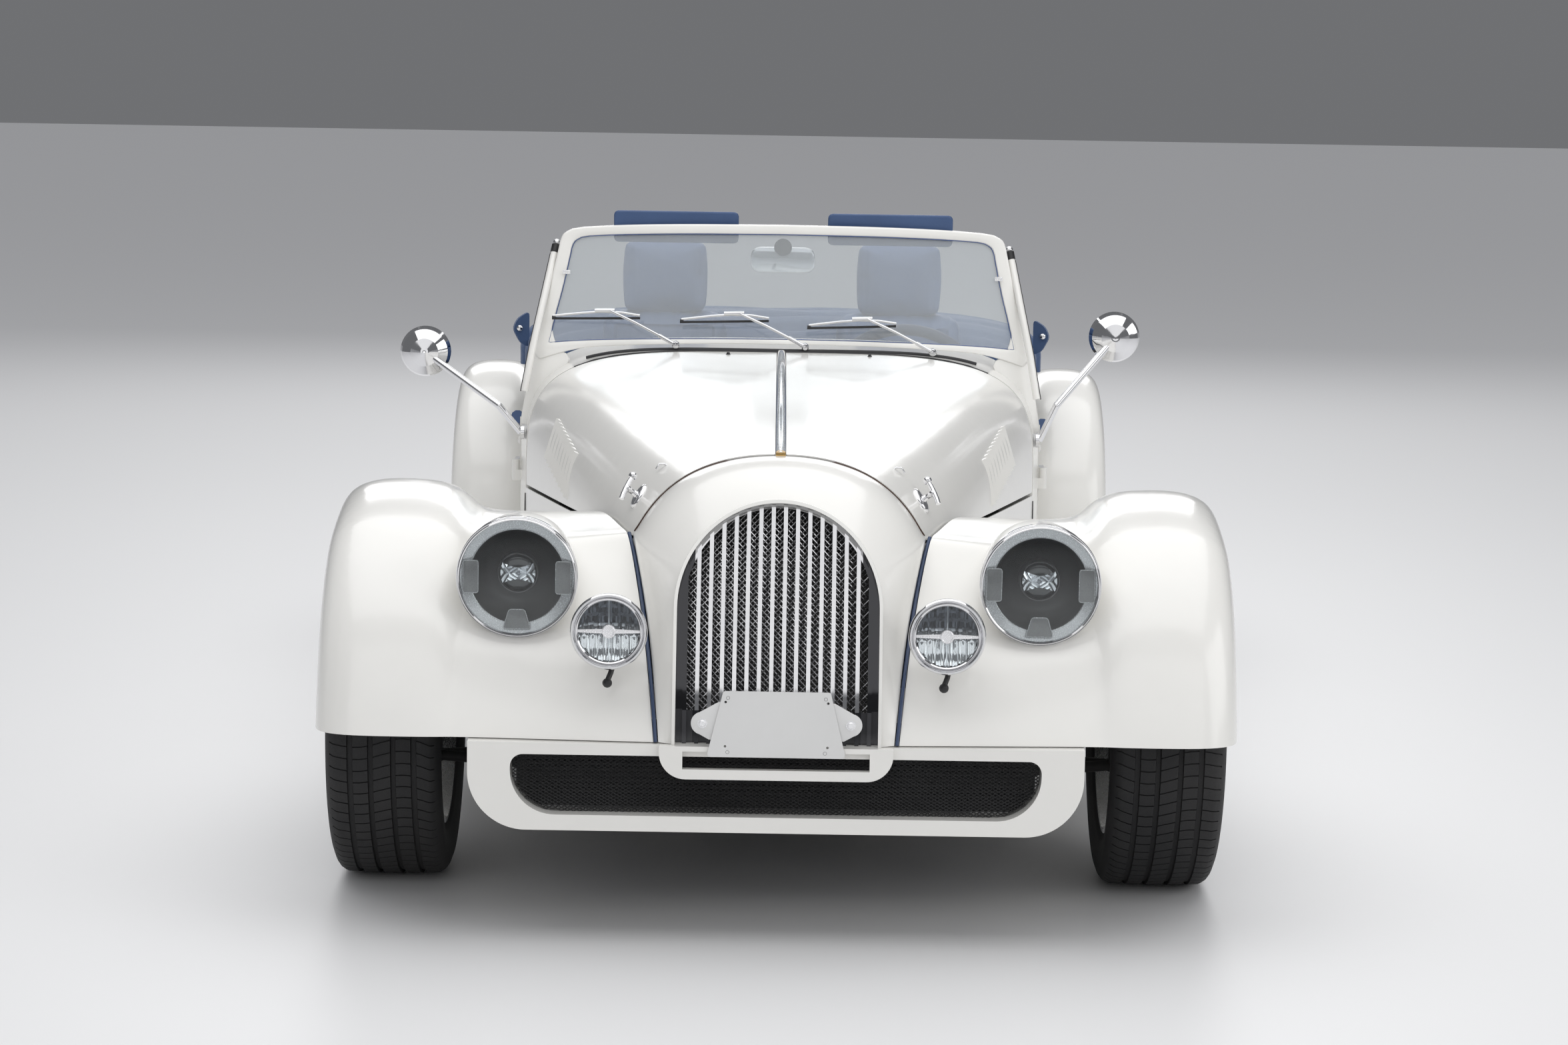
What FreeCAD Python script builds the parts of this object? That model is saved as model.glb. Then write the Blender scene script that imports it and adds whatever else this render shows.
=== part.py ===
"""Open roadster with separate wings, a long centre-hinged bonnet and two seats.

Millimetres. X points to the car's left, Y to its tail, Z up from the ground, and the
origin is on the ground below the middle of the car's length.
"""
import FreeCAD, Part
import math
import os

# Driving dimensions
LENGTH = 3890
WIDTH = 1756
WHEELBASE = 2520
FRONT_OVERHANG = 600
FRONT_TRACK = 1530
REAR_TRACK = 1466
TYRE_RADIUS = 330
TYRE_WIDTH = 225
ARCH_RADIUS = 350
COWL_TOP = 899
BONNET_LENGTH = 1340
BONNET_RISE = 56
COWL_REACH = 325
BODY_HALF = 614
FLOOR_HEIGHT = 262
SHEET = 3
WALL = 50
SHUT_GAP = 6
SEAT_GAP = 0.3
OVERRUN = 60

NOSE_Y = -LENGTH / 2
TAIL_Y = LENGTH / 2
FRONT_AXLE_Y = NOSE_Y + FRONT_OVERHANG
REAR_AXLE_Y = FRONT_AXLE_Y + WHEELBASE
HALF_WIDTH = WIDTH / 2
FRONT_WHEEL_X = FRONT_TRACK / 2
REAR_WHEEL_X = REAR_TRACK / 2


def vec(x, y, z):
    return FreeCAD.Vector(x, y, z)


def block(across, along, up):
    """A box between two places on each of the three axes."""
    corner = vec(across[0], along[0], up[0])
    return Part.makeBox(across[1] - across[0], along[1] - along[0], up[1] - up[0], corner)


def rod(start, end, radius):
    """A round bar from one point to another."""
    line = end - start
    return Part.makeCylinder(radius, line.Length, start, line)


def chain(points, radius):
    """Round bars from point to point, joined by balls."""
    bars = [rod(start, end, radius) for start, end in zip(points, points[1:])]
    balls = [Part.makeSphere(radius, point) for point in points[1:-1]]
    return bars[0].fuse(bars[1:] + balls)


def mirrored(shape):
    return shape.mirror(vec(0, 0, 0), vec(1, 0, 0))


def pair(shape):
    """The piece and its copy on the other side of the car."""
    return [shape, mirrored(shape)]


def rounded(corners, radii):
    """A closed wire through the corners, with each one rounded by its radius."""
    arcs = []
    for i, here in enumerate(corners):
        if radii[i] == 0:
            arcs.append((here, None, here))
            continue
        back = (corners[i - 1] - here).normalize()
        ahead = (corners[(i + 1) % len(corners)] - here).normalize()
        half = back.getAngle(ahead) / 2
        reach = radii[i] / math.tan(half)
        middle = (back + ahead).normalize() * (radii[i] / math.sin(half) - radii[i])
        arcs.append((here + back * reach, here + middle, here + ahead * reach))
    edges = []
    for i, (start, middle, end) in enumerate(arcs):
        if middle is not None:
            edges.append(Part.Arc(start, middle, end).toShape())
        edges.append(Part.makeLine(end, arcs[(i + 1) % len(arcs)][0]))
    return Part.Wire(edges)


def prism(wire, direction):
    return Part.Face(wire).extrude(direction)


def curve(points):
    spline = Part.BSplineCurve()
    spline.interpolate(points)
    return spline.toShape()


def net_surface(rows):
    """A smooth surface that rows of points pull into shape, fixed at its four corners."""
    surface = Part.BSplineSurface()
    knots, counts = [], []
    for size in (len(rows), len(rows[0])):
        spans = size - 3
        knots.append([i / spans for i in range(spans + 1)])
        counts.append([4] + [1] * (spans - 1) + [4])
    surface.buildFromPolesMultsKnots(rows, counts[0], counts[1], knots[0], knots[1],
                                     False, False, 3, 3)
    return surface


def through_surface(rows):
    """A surface that passes through every one of the rows' points."""
    surface = Part.BSplineSurface()
    surface.interpolate(rows)
    return surface


def panel(rows, thickness, surface=through_surface):
    """A closed sheet: the surface made from rows of points, and its copy along the normals."""
    last, end = len(rows) - 1, len(rows[0]) - 1
    moved = []
    for i, row in enumerate(rows):
        line = []
        for j, here in enumerate(row):
            along = rows[min(i + 1, last)][j] - rows[max(i - 1, 0)][j]
            across = row[min(j + 1, end)] - row[max(j - 1, 0)]
            line.append(here + along.cross(across).normalize() * thickness)
        moved.append(line)
    outer, inner = surface(rows), surface(moved)
    faces = [outer.toShape(), inner.toShape()]
    u_first, u_last, v_first, v_last = outer.bounds()
    u_start, u_end, v_start, v_end = inner.bounds()
    for first, second in ((outer.uIso(u_first), inner.uIso(u_start)),
                          (outer.uIso(u_last), inner.uIso(u_end)),
                          (outer.vIso(v_first), inner.vIso(v_start)),
                          (outer.vIso(v_last), inner.vIso(v_end))):
        faces.append(Part.makeRuledSurface(first.toShape(), second.toShape()))
    shell = Part.makeCompound(faces)
    shell.sewShape()
    solid = Part.makeSolid(shell.Shells[0] if shell.Shells else shell)
    if solid.Volume < 0:
        solid.reverse()
    return solid


def revolved(profile, centre, axis):
    """A solid turned from a closed outline of points about an axis."""
    face = Part.Face(Part.makePolygon(profile + [profile[0]]))
    return face.revolve(centre, axis, 360)


def save(name, solids):
    solids = solids if isinstance(solids, list) else [solids]
    shape = Part.makeCompound(solids) if len(solids) > 1 else solids[0]
    shape.exportStep("parts/" + name + ".step")


# The line of the bonnet: a hinge line that rises to the rear, and rounded cross-sections
# square to it, each a superellipse below its top
RISE_SHARE = BONNET_RISE / BONNET_LENGTH
HINGE_LINE = vec(0, math.sqrt(1 - RISE_SHARE ** 2), RISE_SHARE)
HINGE_UP = vec(0, -RISE_SHARE, math.sqrt(1 - RISE_SHARE ** 2))
COWL_BACK_Y = NOSE_Y + COWL_REACH
HINGE_START = vec(0, COWL_BACK_Y, COWL_TOP)
BONNET_HALVES = (305, 582)
BONNET_DEPTHS = (299, 335)
BONNET_ROUND_SHARES = (2.3, 4.2)
SHUT_DEPTHS = (164, 315)
SCUTTLE_Y = (HINGE_START + HINGE_LINE * BONNET_LENGTH).y


def between(ends, share):
    return ends[0] + (ends[1] - ends[0]) * share


def section_point(station, angle_share, inset=0):
    """A point of the bonnet's outer surface, from its top at 0 to its base at 1."""
    share = station / BONNET_LENGTH
    half = between(BONNET_HALVES, share) - inset
    depth = between(BONNET_DEPTHS, share) - inset
    power = 2 / between(BONNET_ROUND_SHARES, share)
    angle = angle_share * math.pi / 2
    x = half * math.sin(angle) ** power
    drop = depth * (1 - max(math.cos(angle), 0) ** power) + inset
    return HINGE_START + HINGE_LINE * station + vec(x, 0, 0) - HINGE_UP * drop


def shut_share(station):
    """Where the bonnet's lower edge cuts its section, as a share of the quarter turn."""
    share = station / BONNET_LENGTH
    depth = between(BONNET_DEPTHS, share)
    left = 1 - between(SHUT_DEPTHS, share) / depth
    return math.acos(left ** (between(BONNET_ROUND_SHARES, share) / 2)) / (math.pi / 2)


def side_at(y):
    """The point of the body's side below the bonnet's lower edge at a place along the car."""
    station = (y - COWL_BACK_Y) / HINGE_LINE.y
    if station >= BONNET_LENGTH:
        edge = section_point(BONNET_LENGTH, shut_share(BONNET_LENGTH))
        share = min((y - SCUTTLE_Y) / (DOOR_START_Y - SCUTTLE_Y), 1)
        return vec(between((edge.x, BODY_HALF), share), y, edge.z)
    edge = section_point(station, shut_share(station))
    return vec(edge.x, y, edge.z)


# Doors fill the side between the scuttle and the rear body
DOOR_START_Y = -20
DOOR_LENGTH = 634
DOOR_END_Y = DOOR_START_Y + DOOR_LENGTH
DOOR_TOP = 765
DOOR_DIP = 70
DOOR_BOTTOM = 330
DOOR_CORNER = 60
HINGE_RADIUS = 9
HINGE_PIN_X = BODY_HALF + HINGE_RADIUS + SEAT_GAP
HINGE_HEIGHTS = (420, 640)
HINGE_HEIGHT = 50
HANDLE_BALL = 16
HANDLE_STEM = 7
HANDLE_REACH = 26
HANDLE_Z = 640
HANDLE_BACK = 90
DIP_SHARES = ((0.2, 0.55), (0.45, 1.0), (0.75, 0.8), (0.93, 0.12))


def door():
    """One door: a thick panel with a dipped top, two hinge barrels and a ball handle."""
    start, end = DOOR_START_Y + SHUT_GAP, DOOR_END_Y - SHUT_GAP
    inner_x = BODY_HALF - WALL
    top = [vec(inner_x, start, DOOR_TOP)]
    for along, dip in DIP_SHARES:
        top.append(vec(inner_x, between((start, end), along), DOOR_TOP - DOOR_DIP * dip))
    top.append(vec(inner_x, end, DOOR_TOP))
    low = DOOR_BOTTOM + SHUT_GAP
    edges = [curve(top),
             Part.makeLine(top[-1], vec(inner_x, end, low + DOOR_CORNER)),
             Part.Arc(vec(inner_x, end, low + DOOR_CORNER),
                      vec(inner_x, end - DOOR_CORNER * (1 - math.sqrt(0.5)),
                          low + DOOR_CORNER * (1 - math.sqrt(0.5))),
                      vec(inner_x, end - DOOR_CORNER, low)).toShape(),
             Part.makeLine(vec(inner_x, end - DOOR_CORNER, low), vec(inner_x, start, low)),
             Part.makeLine(vec(inner_x, start, low), top[0])]
    shape = prism(Part.Wire(edges), vec(WALL, 0, 0))
    for z in HINGE_HEIGHTS:
        shape = shape.fuse(hinge_leaf(z, start + HINGE_RADIUS * 4))
        shape = shape.fuse(rod(vec(HINGE_PIN_X, DOOR_START_Y, z),
                               vec(HINGE_PIN_X, DOOR_START_Y, z + HINGE_HEIGHT / 2 - SEAT_GAP),
                               HINGE_RADIUS))
    handle_y = end - HANDLE_BACK
    foot = vec(BODY_HALF - HANDLE_STEM, handle_y, HANDLE_Z)
    tip = vec(BODY_HALF + HANDLE_REACH, handle_y, HANDLE_Z)
    shape = shape.fuse(rod(foot, tip, HANDLE_STEM)).fuse(Part.makeSphere(HANDLE_BALL, tip))
    return shape.removeSplitter()


def hinge_leaf(z, end_y):
    """The strap that joins a hinge's upper barrel to the door's outer face."""
    return block((BODY_HALF - HINGE_RADIUS / 3, HINGE_PIN_X + HINGE_RADIUS / 3),
                 (DOOR_START_Y, end_y), (z, z + HINGE_HEIGHT / 2 - SEAT_GAP))


# Bonnet: two sheet halves on a centre hinge, each down to the body's side
STRIP_HALF = 10
HINGE_GAP = 0.8
BONNET_ROWS = 9
BONNET_POINTS = 13


def bonnet_half():
    """The left half, between the cowl and the scuttle, with its bank of louvres."""
    rows = []
    for i in range(BONNET_ROWS):
        station = between((SHUT_GAP, BONNET_LENGTH - SHUT_GAP), i / (BONNET_ROWS - 1))
        share = station / BONNET_LENGTH
        power = between(BONNET_ROUND_SHARES, share) / 2
        x_share = (STRIP_HALF + HINGE_GAP) / between(BONNET_HALVES, share)
        first = math.asin(x_share ** power) / (math.pi / 2)
        rows.append([section_point(station, between((first, shut_share(station)),
                                                    j / (BONNET_POINTS - 1)))
                     for j in range(BONNET_POINTS)])
    numbers = range(LOUVRE_COUNT)
    hoods = [louvre(number, LOUVRE_HOOD_SHARES, 0) for number in numbers]
    mouths = [louvre(number, LOUVRE_MOUTH_SHARES, LOUVRE_CHEEK) for number in numbers]
    return panel(rows, SHEET).fuse(hoods).cut(mouths)


# Louvres: pressed hoods in a bank on the bonnet's side, each open to the rear
LOUVRE_COUNT = 9
LOUVRE_PITCH = 37
LOUVRE_FIRST = 718
LOUVRE_LENGTH = 22
LOUVRE_HEIGHT = 8
LOUVRE_CHEEK = 4
LOUVRE_SHARES = (0.73, 0.925)
LOUVRE_RISE_SHARE = 0.004
LOUVRE_HOOD_SHARES = ((-0.09, 0.03), (1, 1), (1, -0.75), (-0.09, -0.75))
LOUVRE_MOUTH_SHARES = ((0.36, -1), (0.36, 0.15), (1.05, 0.78), (1.05, -1))


def louvre(number, outline_shares, inset):
    """A prism down the bonnet's side, its outline in shares of the louvre's own size."""
    station = LOUVRE_FIRST + LOUVRE_PITCH * number
    rise = LOUVRE_RISE_SHARE * number
    high, low = [section_point(station, share - rise) for share in LOUVRE_SHARES]
    behind = section_point(station + LOUVRE_LENGTH, LOUVRE_SHARES[0] - rise)
    run = low - high
    along = (behind - high).normalize()
    out = run.cross(along).normalize()
    start = high + run * (inset / run.Length)
    corners = [start + along * (LOUVRE_LENGTH * back) + out * (LOUVRE_HEIGHT * up)
               for back, up in outline_shares]
    return prism(Part.makePolygon(corners + [corners[0]]), run * (1 - inset * 2 / run.Length))


STRIP_HEIGHT = 6
STRIP_DROP = 8


def bonnet_strip():
    """The round-topped strip over the hinge, from the cowl to the scuttle."""
    start = HINGE_START
    end = HINGE_START + HINGE_LINE * (BONNET_LENGTH - SEAT_GAP * 2)
    low, high = HINGE_UP * -STRIP_DROP, HINGE_UP * (STRIP_HEIGHT / 3)
    side = vec(STRIP_HALF, 0, 0)
    crown = start + HINGE_UP * STRIP_HEIGHT
    outline = Part.Wire([Part.makeLine(start - side + high, start - side + low),
                         Part.makeLine(start - side + low, start + side + low),
                         Part.makeLine(start + side + low, start + side + high),
                         Part.Arc(start + side + high, crown, start - side + high).toShape()])
    return prism(outline, end - start)


# Radiator cowl: a rounded shell between the grille's arch and the bonnet and wings
ARCH_HALF = 190
ARCH_CENTRE_Z = 641
GRILLE_FOOT_Z = 390
GRILLE_FRONT_Y = NOSE_Y + 25
GRILLE_LEAN = 130
LEAN_SHARE = 1.5
COWL_LIP = 40
COWL_ROLL = 8
COWL_BULGE_SHARE = 0.15
COWL_BACK_SHARES = (0.97, 0.85, 0.7, 0.55, 0.4, 0.2, 0)
PIPING_RADIUS = 3.5
SEAM_XS = (226, 241, 260, 281, 291)
SEAM_YS = (NOSE_Y + 30, NOSE_Y + 100, NOSE_Y + 200, NOSE_Y + 295, NOSE_Y + 325)
SEAM_ZS = (392, 523, 630, 712, 742)
SEAM_BEADS = 11
SEAM_FIT_SHARE = 1.5
SEAM = [vec(x, y, z) for x, y, z in zip(SEAM_XS, SEAM_YS, SEAM_ZS)]


def grille_y(z):
    """How far back the grille's face lies at a height: it leans, and more so at its top."""
    rise = max(z - GRILLE_FOOT_Z, 0) / (ARCH_CENTRE_Z + ARCH_HALF - GRILLE_FOOT_Z)
    return GRILLE_FRONT_Y + GRILLE_LEAN * rise ** LEAN_SHARE


def arch_wire(half, y):
    """The grille's outline: straight sides and a half-round top."""
    left, right = vec(half, y, GRILLE_FOOT_Z), vec(-half, y, GRILLE_FOOT_Z)
    high_left, high_right = vec(half, y, ARCH_CENTRE_Z), vec(-half, y, ARCH_CENTRE_Z)
    top = vec(0, y, ARCH_CENTRE_Z + half)
    return Part.Wire([Part.makeLine(right, left), Part.makeLine(left, high_left),
                      Part.Arc(high_left, top, high_right).toShape(),
                      Part.makeLine(high_right, right)])


def cowl():
    """The shell, from a rolled lip round the grille back to its seams."""
    side = ARCH_CENTRE_Z - GRILLE_FOOT_Z
    arch = math.pi / 2 * ARCH_HALF
    seam = curve([p - vec(PIPING_RADIUS * SEAM_FIT_SHARE, 0, 0) for p in SEAM])
    edges = seam.discretize(SEAM_BEADS)
    edges += [section_point(0, shut_share(0) * share) for share in COWL_BACK_SHARES]
    lengths = [0]
    for start, end in zip(edges, edges[1:]):
        lengths.append(lengths[-1] + (end - start).Length)
    rows = []
    for edge, length in zip(edges, lengths):
        run = (side + arch) * length / lengths[-1]
        angle = max(run - side, 0) / ARCH_HALF
        out = vec(math.cos(angle), 0, math.sin(angle))
        rim = out * ARCH_HALF + vec(0, 0, min(GRILLE_FOOT_Z + run, ARCH_CENTRE_Z))
        rim.y = grille_y(rim.z)
        bulge = out * ((edge - rim).Length * COWL_BULGE_SHARE)
        rows.append([rim + out * SHEET, between((rim, edge), 0.3) + bulge,
                     between((rim, edge), 0.65) + bulge * 0.9, edge])
    whole = rows + [[vec(-p.x, p.y, p.z) for p in row] for row in reversed(rows[:-1])]
    shell = panel(whole, SHEET, net_surface)
    lip = arch_prism(ARCH_HALF + SHEET * 2).cut(arch_prism(ARCH_HALF))
    lip = lip.common(leaning_slab(-COWL_ROLL, COWL_LIP, ARCH_HALF * 2))
    foot = block((-ARCH_HALF, ARCH_HALF), (NOSE_Y - OVERRUN, COWL_BACK_Y),
                 (GRILLE_FOOT_Z, GRILLE_FOOT_Z + SHEET))
    return shell.fuse(lip.cut(foot)).removeSplitter()


# Grille: upright bars with a band behind them, and a wire mesh further back
BAR_COUNT = 16
BAR_PITCH = 23.1
BAR_WIDTH = 7.6
BAR_SET_BACK = 8
BAR_DEPTH = 14
BAND_WIDTH = 13
BAND_DEPTH = 5
FOOT_PANEL_HEIGHT = 60
MESH_SET_BACK = 34
MESH_THICKNESS = 2.5
LEAN_POINTS = 7


def leaning_slab(front, back, half):
    """A slab that follows the grille's lean, between two depths behind its face."""
    top = ARCH_CENTRE_Z + ARCH_HALF + OVERRUN
    heights = [between((GRILLE_FOOT_Z, top), i / (LEAN_POINTS - 1)) for i in range(LEAN_POINTS)]
    near = [vec(-half, grille_y(z) + front, z) for z in heights]
    far = [vec(-half, grille_y(z) + back, z) for z in heights]
    outline = Part.Wire([curve(near), Part.makeLine(near[-1], far[-1]),
                         curve(list(reversed(far))), Part.makeLine(far[0], near[0])])
    return prism(outline, vec(half * 2, 0, 0))


def arch_prism(half):
    start = NOSE_Y - OVERRUN
    return prism(arch_wire(half, start), vec(0, COWL_BACK_Y - start, 0))


def grille_bars():
    """The upright bars, the band behind their ends and the panel at their foot."""
    inside = arch_prism(ARCH_HALF - SEAT_GAP)
    upright = []
    for i in range(BAR_COUNT):
        x = (i - (BAR_COUNT - 1) / 2) * BAR_PITCH
        upright.append(block((x - BAR_WIDTH / 2, x + BAR_WIDTH / 2),
                             (NOSE_Y - OVERRUN, COWL_BACK_Y),
                             (GRILLE_FOOT_Z, ARCH_CENTRE_Z + ARCH_HALF)))
    bars = Part.makeCompound(upright).common(leaning_slab(BAR_SET_BACK, BAR_SET_BACK + BAR_DEPTH,
                                                          ARCH_HALF)).common(inside)
    band_front = BAR_SET_BACK + BAR_DEPTH - BAND_DEPTH / 2
    band = inside.cut(arch_prism(ARCH_HALF - BAND_WIDTH))
    foot = inside.common(block((-ARCH_HALF, ARCH_HALF), (NOSE_Y - OVERRUN, COWL_BACK_Y),
                               (GRILLE_FOOT_Z, GRILLE_FOOT_Z + FOOT_PANEL_HEIGHT)))
    band = band.fuse(foot).common(leaning_slab(band_front, band_front + BAND_DEPTH, ARCH_HALF))
    return band.fuse(bars.Solids).removeSplitter()


MESH_PITCH = 60
MESH_WIRE = 9


def diamonds(half, low, high, start, depth):
    """Rows of diamond-shaped prisms that cut a mesh's openings, set out in a brick pattern."""
    reach = (MESH_PITCH - MESH_WIRE * math.sqrt(2)) / 2
    across = int(half * 2 / MESH_PITCH) + 1
    up = int((high - low) / MESH_PITCH * 2) + 1
    holes = []
    for row in range(up):
        for column in range(-across, across + 1):
            if (row + column) % 2:
                continue
            x, z = column * MESH_PITCH / 2, low + row * MESH_PITCH / 2
            corners = [vec(x - reach, start, z), vec(x, start, z - reach),
                       vec(x + reach, start, z), vec(x, start, z + reach)]
            holes.append(prism(Part.makePolygon(corners + [corners[0]]), vec(0, depth, 0)))
    return Part.makeCompound(holes)


def grille_mesh():
    """The mesh behind the bars, leaning as they do."""
    inside = arch_prism(ARCH_HALF - SEAT_GAP)
    slab = leaning_slab(MESH_SET_BACK, MESH_SET_BACK + MESH_THICKNESS, ARCH_HALF).common(inside)
    border = arch_prism(ARCH_HALF - MESH_WIRE)
    holes = diamonds(ARCH_HALF, GRILLE_FOOT_Z, ARCH_CENTRE_Z + ARCH_HALF, NOSE_Y, COWL_REACH)
    return slab.cut(holes.common(border))


# Front wings: one pressed sheet a side, from the seam with the cowl over the wheel and
# down in a long tail to the running board, with the headlamp's pod drawn into it
SEAM_ANGLES = (6, 21.1, 36.9, 51.4, 56.3)
CREST_SHARES = (1.6, 1.605, 1.595, 1.525, 1.495, 1.443, 1.375, 1.352, 1.345, 1.37, 1.46, 1.57)
FAN_ANGLES = SEAM_ANGLES + (65, 80, 90, 100, 115, 130, 145)
VALLEY_SHARES = (0.57, 0.55, 0.52, 0.49, 0.48, 0.47, 0.46, 0.45, 0.43, 0.41, 0.38, 0.34)
VALLEY_DEPTHS = (8, 25, 50, 60, 62, 66, 66, 66, 66, 64, 62, 58)
INNER_DEPTHS = (0, 0, 0, 0, 0, 56, 60, 62, 62, 60, 56, 50)
ARCH_INNER_SHARE = 0.955
CREST_X = 742
CREST_DEPTH = 50
TAIL_OUTER = 800
TAIL_LIP_Z = 250
TAIL_END_Y = -40
BOARD_Z = 275
TAIL_CREST_SHARES = ((0.44, 0.62), (0.52, 0.47), (0.62, 0.33), (0.74, 0.19), (0.84, 0.1),
                     (0.93, 0.04), (1.0, 0.0))
TAIL_BASE_SHARES = (0.3, 0.33, 0.36, 0.52, 0.73, 0.9, 1.0)
INNER_SHOULDER_SHARES = ((0.16, 0.7), (0.42, 0.1))
OUTER_SHOULDER_SHARES = ((0.5, 0.05), (0.86, 0.48), (1.0, 1.45))
WING_SHEET = 4
WING_SEAT = 3


def wing_row(crest, base, inner, valley_depth, valley_share, outer):
    """One cross-section of a wing, from its inner edge over the crest to its lower edge."""
    length = (base - crest).Length
    toward = (base - crest).normalize()
    half_span = outer - inner.x
    valley_x = inner.x + half_span * valley_share
    crest_x = max(min(CREST_X, outer - half_span * 0.25), valley_x + half_span * 0.2)
    roll = min(CREST_DEPTH, length * 0.3)

    def at(x, depth):
        place = crest + toward * depth
        return vec(x, place.y, place.z)

    valley = at(valley_x, valley_depth)
    middle = (inner + valley) * 0.5
    row = [inner, middle, valley]
    for across, down in INNER_SHOULDER_SHARES:
        row.append(at(between((valley_x, crest_x), across), valley_depth * down))
    row.append(at(crest_x, 0))
    for across, down in OUTER_SHOULDER_SHARES:
        row.append(at(between((crest_x, outer), across), roll * down))
    row.append(at(outer, between((roll * OUTER_SHOULDER_SHARES[-1][1], length), 0.5)))
    row.append(at(outer, length))
    return row


def around(axle_y, radius, degrees):
    """A point at a radius from an axle, its angle measured up from straight ahead."""
    angle = math.radians(degrees)
    return vec(0, axle_y - radius * math.cos(angle), TYRE_RADIUS + radius * math.sin(angle))


def front_wing_rows():
    rows = []
    for i, degrees in enumerate(FAN_ANGLES):
        crest = around(FRONT_AXLE_Y, ARCH_RADIUS * CREST_SHARES[i], degrees)
        base = around(FRONT_AXLE_Y, ARCH_RADIUS * ARCH_INNER_SHARE, degrees)
        if i < len(SEAM_ANGLES):
            inner = SEAM[i] + vec(PIPING_RADIUS + SEAT_GAP * 3, 0, 0)
        else:
            place = crest + (base - crest).normalize() * INNER_DEPTHS[i]
            inner = vec(side_at(place.y).x + WING_SEAT, place.y, place.z)
        if i == 0:
            crest.z, base.z = inner.z, inner.z
        rows.append(wing_row(crest, base, inner, VALLEY_DEPTHS[i], VALLEY_SHARES[i], HALF_WIDTH))
    edge = [row[0] for row in rows]
    for i in range(1, len(SEAM_ANGLES)):
        rows[i][0] = edge[i] - (edge[i - 1] - edge[i] * 2 + edge[i + 1]) / 6
    top = TYRE_RADIUS + ARCH_RADIUS * CREST_SHARES[FAN_ANGLES.index(90)]
    for i, (along, up) in enumerate(TAIL_CREST_SHARES):
        y = between((FRONT_AXLE_Y, TAIL_END_Y), along)
        crest = vec(0, y, between((BOARD_Z, top), up))
        base = vec(0, between((FRONT_AXLE_Y, TAIL_END_Y), TAIL_BASE_SHARES[i]), TAIL_LIP_Z)
        if i == 0:
            base.z += ARCH_RADIUS / 3
        fade = 1 - (i + 1) / len(TAIL_CREST_SHARES)
        place = crest + (base - crest).normalize() * (INNER_DEPTHS[-1] * fade)
        inner = vec(side_at(place.y).x + WING_SEAT, place.y, place.z)
        valley_share = VALLEY_SHARES[-1] * (1 - 0.4 * along)
        rows.append(wing_row(crest, base, inner, VALLEY_DEPTHS[-1] * fade, valley_share,
                             between((TAIL_OUTER, HALF_WIDTH), fade)))
    return rows


LAMP_X = 494
LAMP_Z = 684
LAMP_RADIUS = 116
LAMP_FRONT_Y = NOSE_Y + 145
POD_LENGTH = 330
POD_WALL = 4
POD_STEPS = 8
LAMP_DEPTH = 95


def pod():
    """The headlamp's pod: a pointed bowl that runs back into the wing."""
    radius = LAMP_RADIUS - POD_WALL
    outer = []
    for i in range(POD_STEPS):
        share = i / POD_STEPS
        swell = math.sqrt(1 - share ** 2)
        outer.append(vec(LAMP_X + radius * swell, LAMP_FRONT_Y + POD_LENGTH * share, LAMP_Z))
    tip = vec(LAMP_X, LAMP_FRONT_Y + POD_LENGTH, LAMP_Z)
    front = vec(LAMP_X, LAMP_FRONT_Y, LAMP_Z)
    face = Part.Face(Part.Wire([curve(outer + [tip]), Part.makeLine(tip, front),
                                Part.makeLine(front, outer[0])]))
    return face.revolve(vec(LAMP_X, 0, LAMP_Z), vec(0, 1, 0), 360)


def lamp_bore():
    """The bore in the pod that holds the headlamp's bowl."""
    start = vec(LAMP_X, LAMP_FRONT_Y - POD_WALL, LAMP_Z)
    return rod(start, start + vec(0, LAMP_DEPTH + POD_WALL * 2, 0), LAMP_RADIUS - POD_WALL * 4)


def wheel_hole(axle_y, inner_x, radius):
    return rod(vec(inner_x, axle_y, TYRE_RADIUS), vec(HALF_WIDTH + OVERRUN, axle_y, TYRE_RADIUS),
               radius)


def front_wing():
    shell = panel(front_wing_rows(), WING_SHEET, net_surface)
    shell = shell.cut(wheel_hole(FRONT_AXLE_Y, CREST_X, ARCH_RADIUS))
    front = vec(LAMP_X, LAMP_FRONT_Y, LAMP_Z)
    shell = shell.cut(rod(front - vec(0, OVERRUN, 0), front, LAMP_RADIUS + SEAT_GAP))
    return shell.fuse(pod()).cut(lamp_bore()).removeSplitter()


# Rear wings: rounder sheets over the rear wheels
REAR_CREST_SHARES = (1.2, 1.22, 1.27, 1.3, 1.285, 1.268, 1.28, 1.33, 1.37, 1.365, 1.34)
REAR_FAN_ANGLES = (-9, 12, 32, 52, 72, 90, 108, 128, 148, 168, 188)
REAR_INNER_DEPTHS = (4, 18, 30, 40, 46, 50, 50, 46, 40, 30, 16)
REAR_OUTER = 852
REAR_VALLEY_SHARE = 0.22


def rear_wing():
    rows = []
    for i, degrees in enumerate(REAR_FAN_ANGLES):
        crest = around(REAR_AXLE_Y, ARCH_RADIUS * REAR_CREST_SHARES[i], degrees)
        base = around(REAR_AXLE_Y, ARCH_RADIUS * ARCH_INNER_SHARE, degrees)
        depth = REAR_INNER_DEPTHS[i]
        place = crest + (base - crest).normalize() * depth
        inner = vec(rear_half(place.y) - WING_SHEET * 2, place.y, place.z)
        rows.append(wing_row(crest, base, inner, depth, REAR_VALLEY_SHARE, REAR_OUTER))
    shell = panel(rows, WING_SHEET, net_surface)
    return shell.cut(wheel_hole(REAR_AXLE_Y, CREST_X, ARCH_RADIUS)).cut(rear_solid(-SEAT_GAP))


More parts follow.
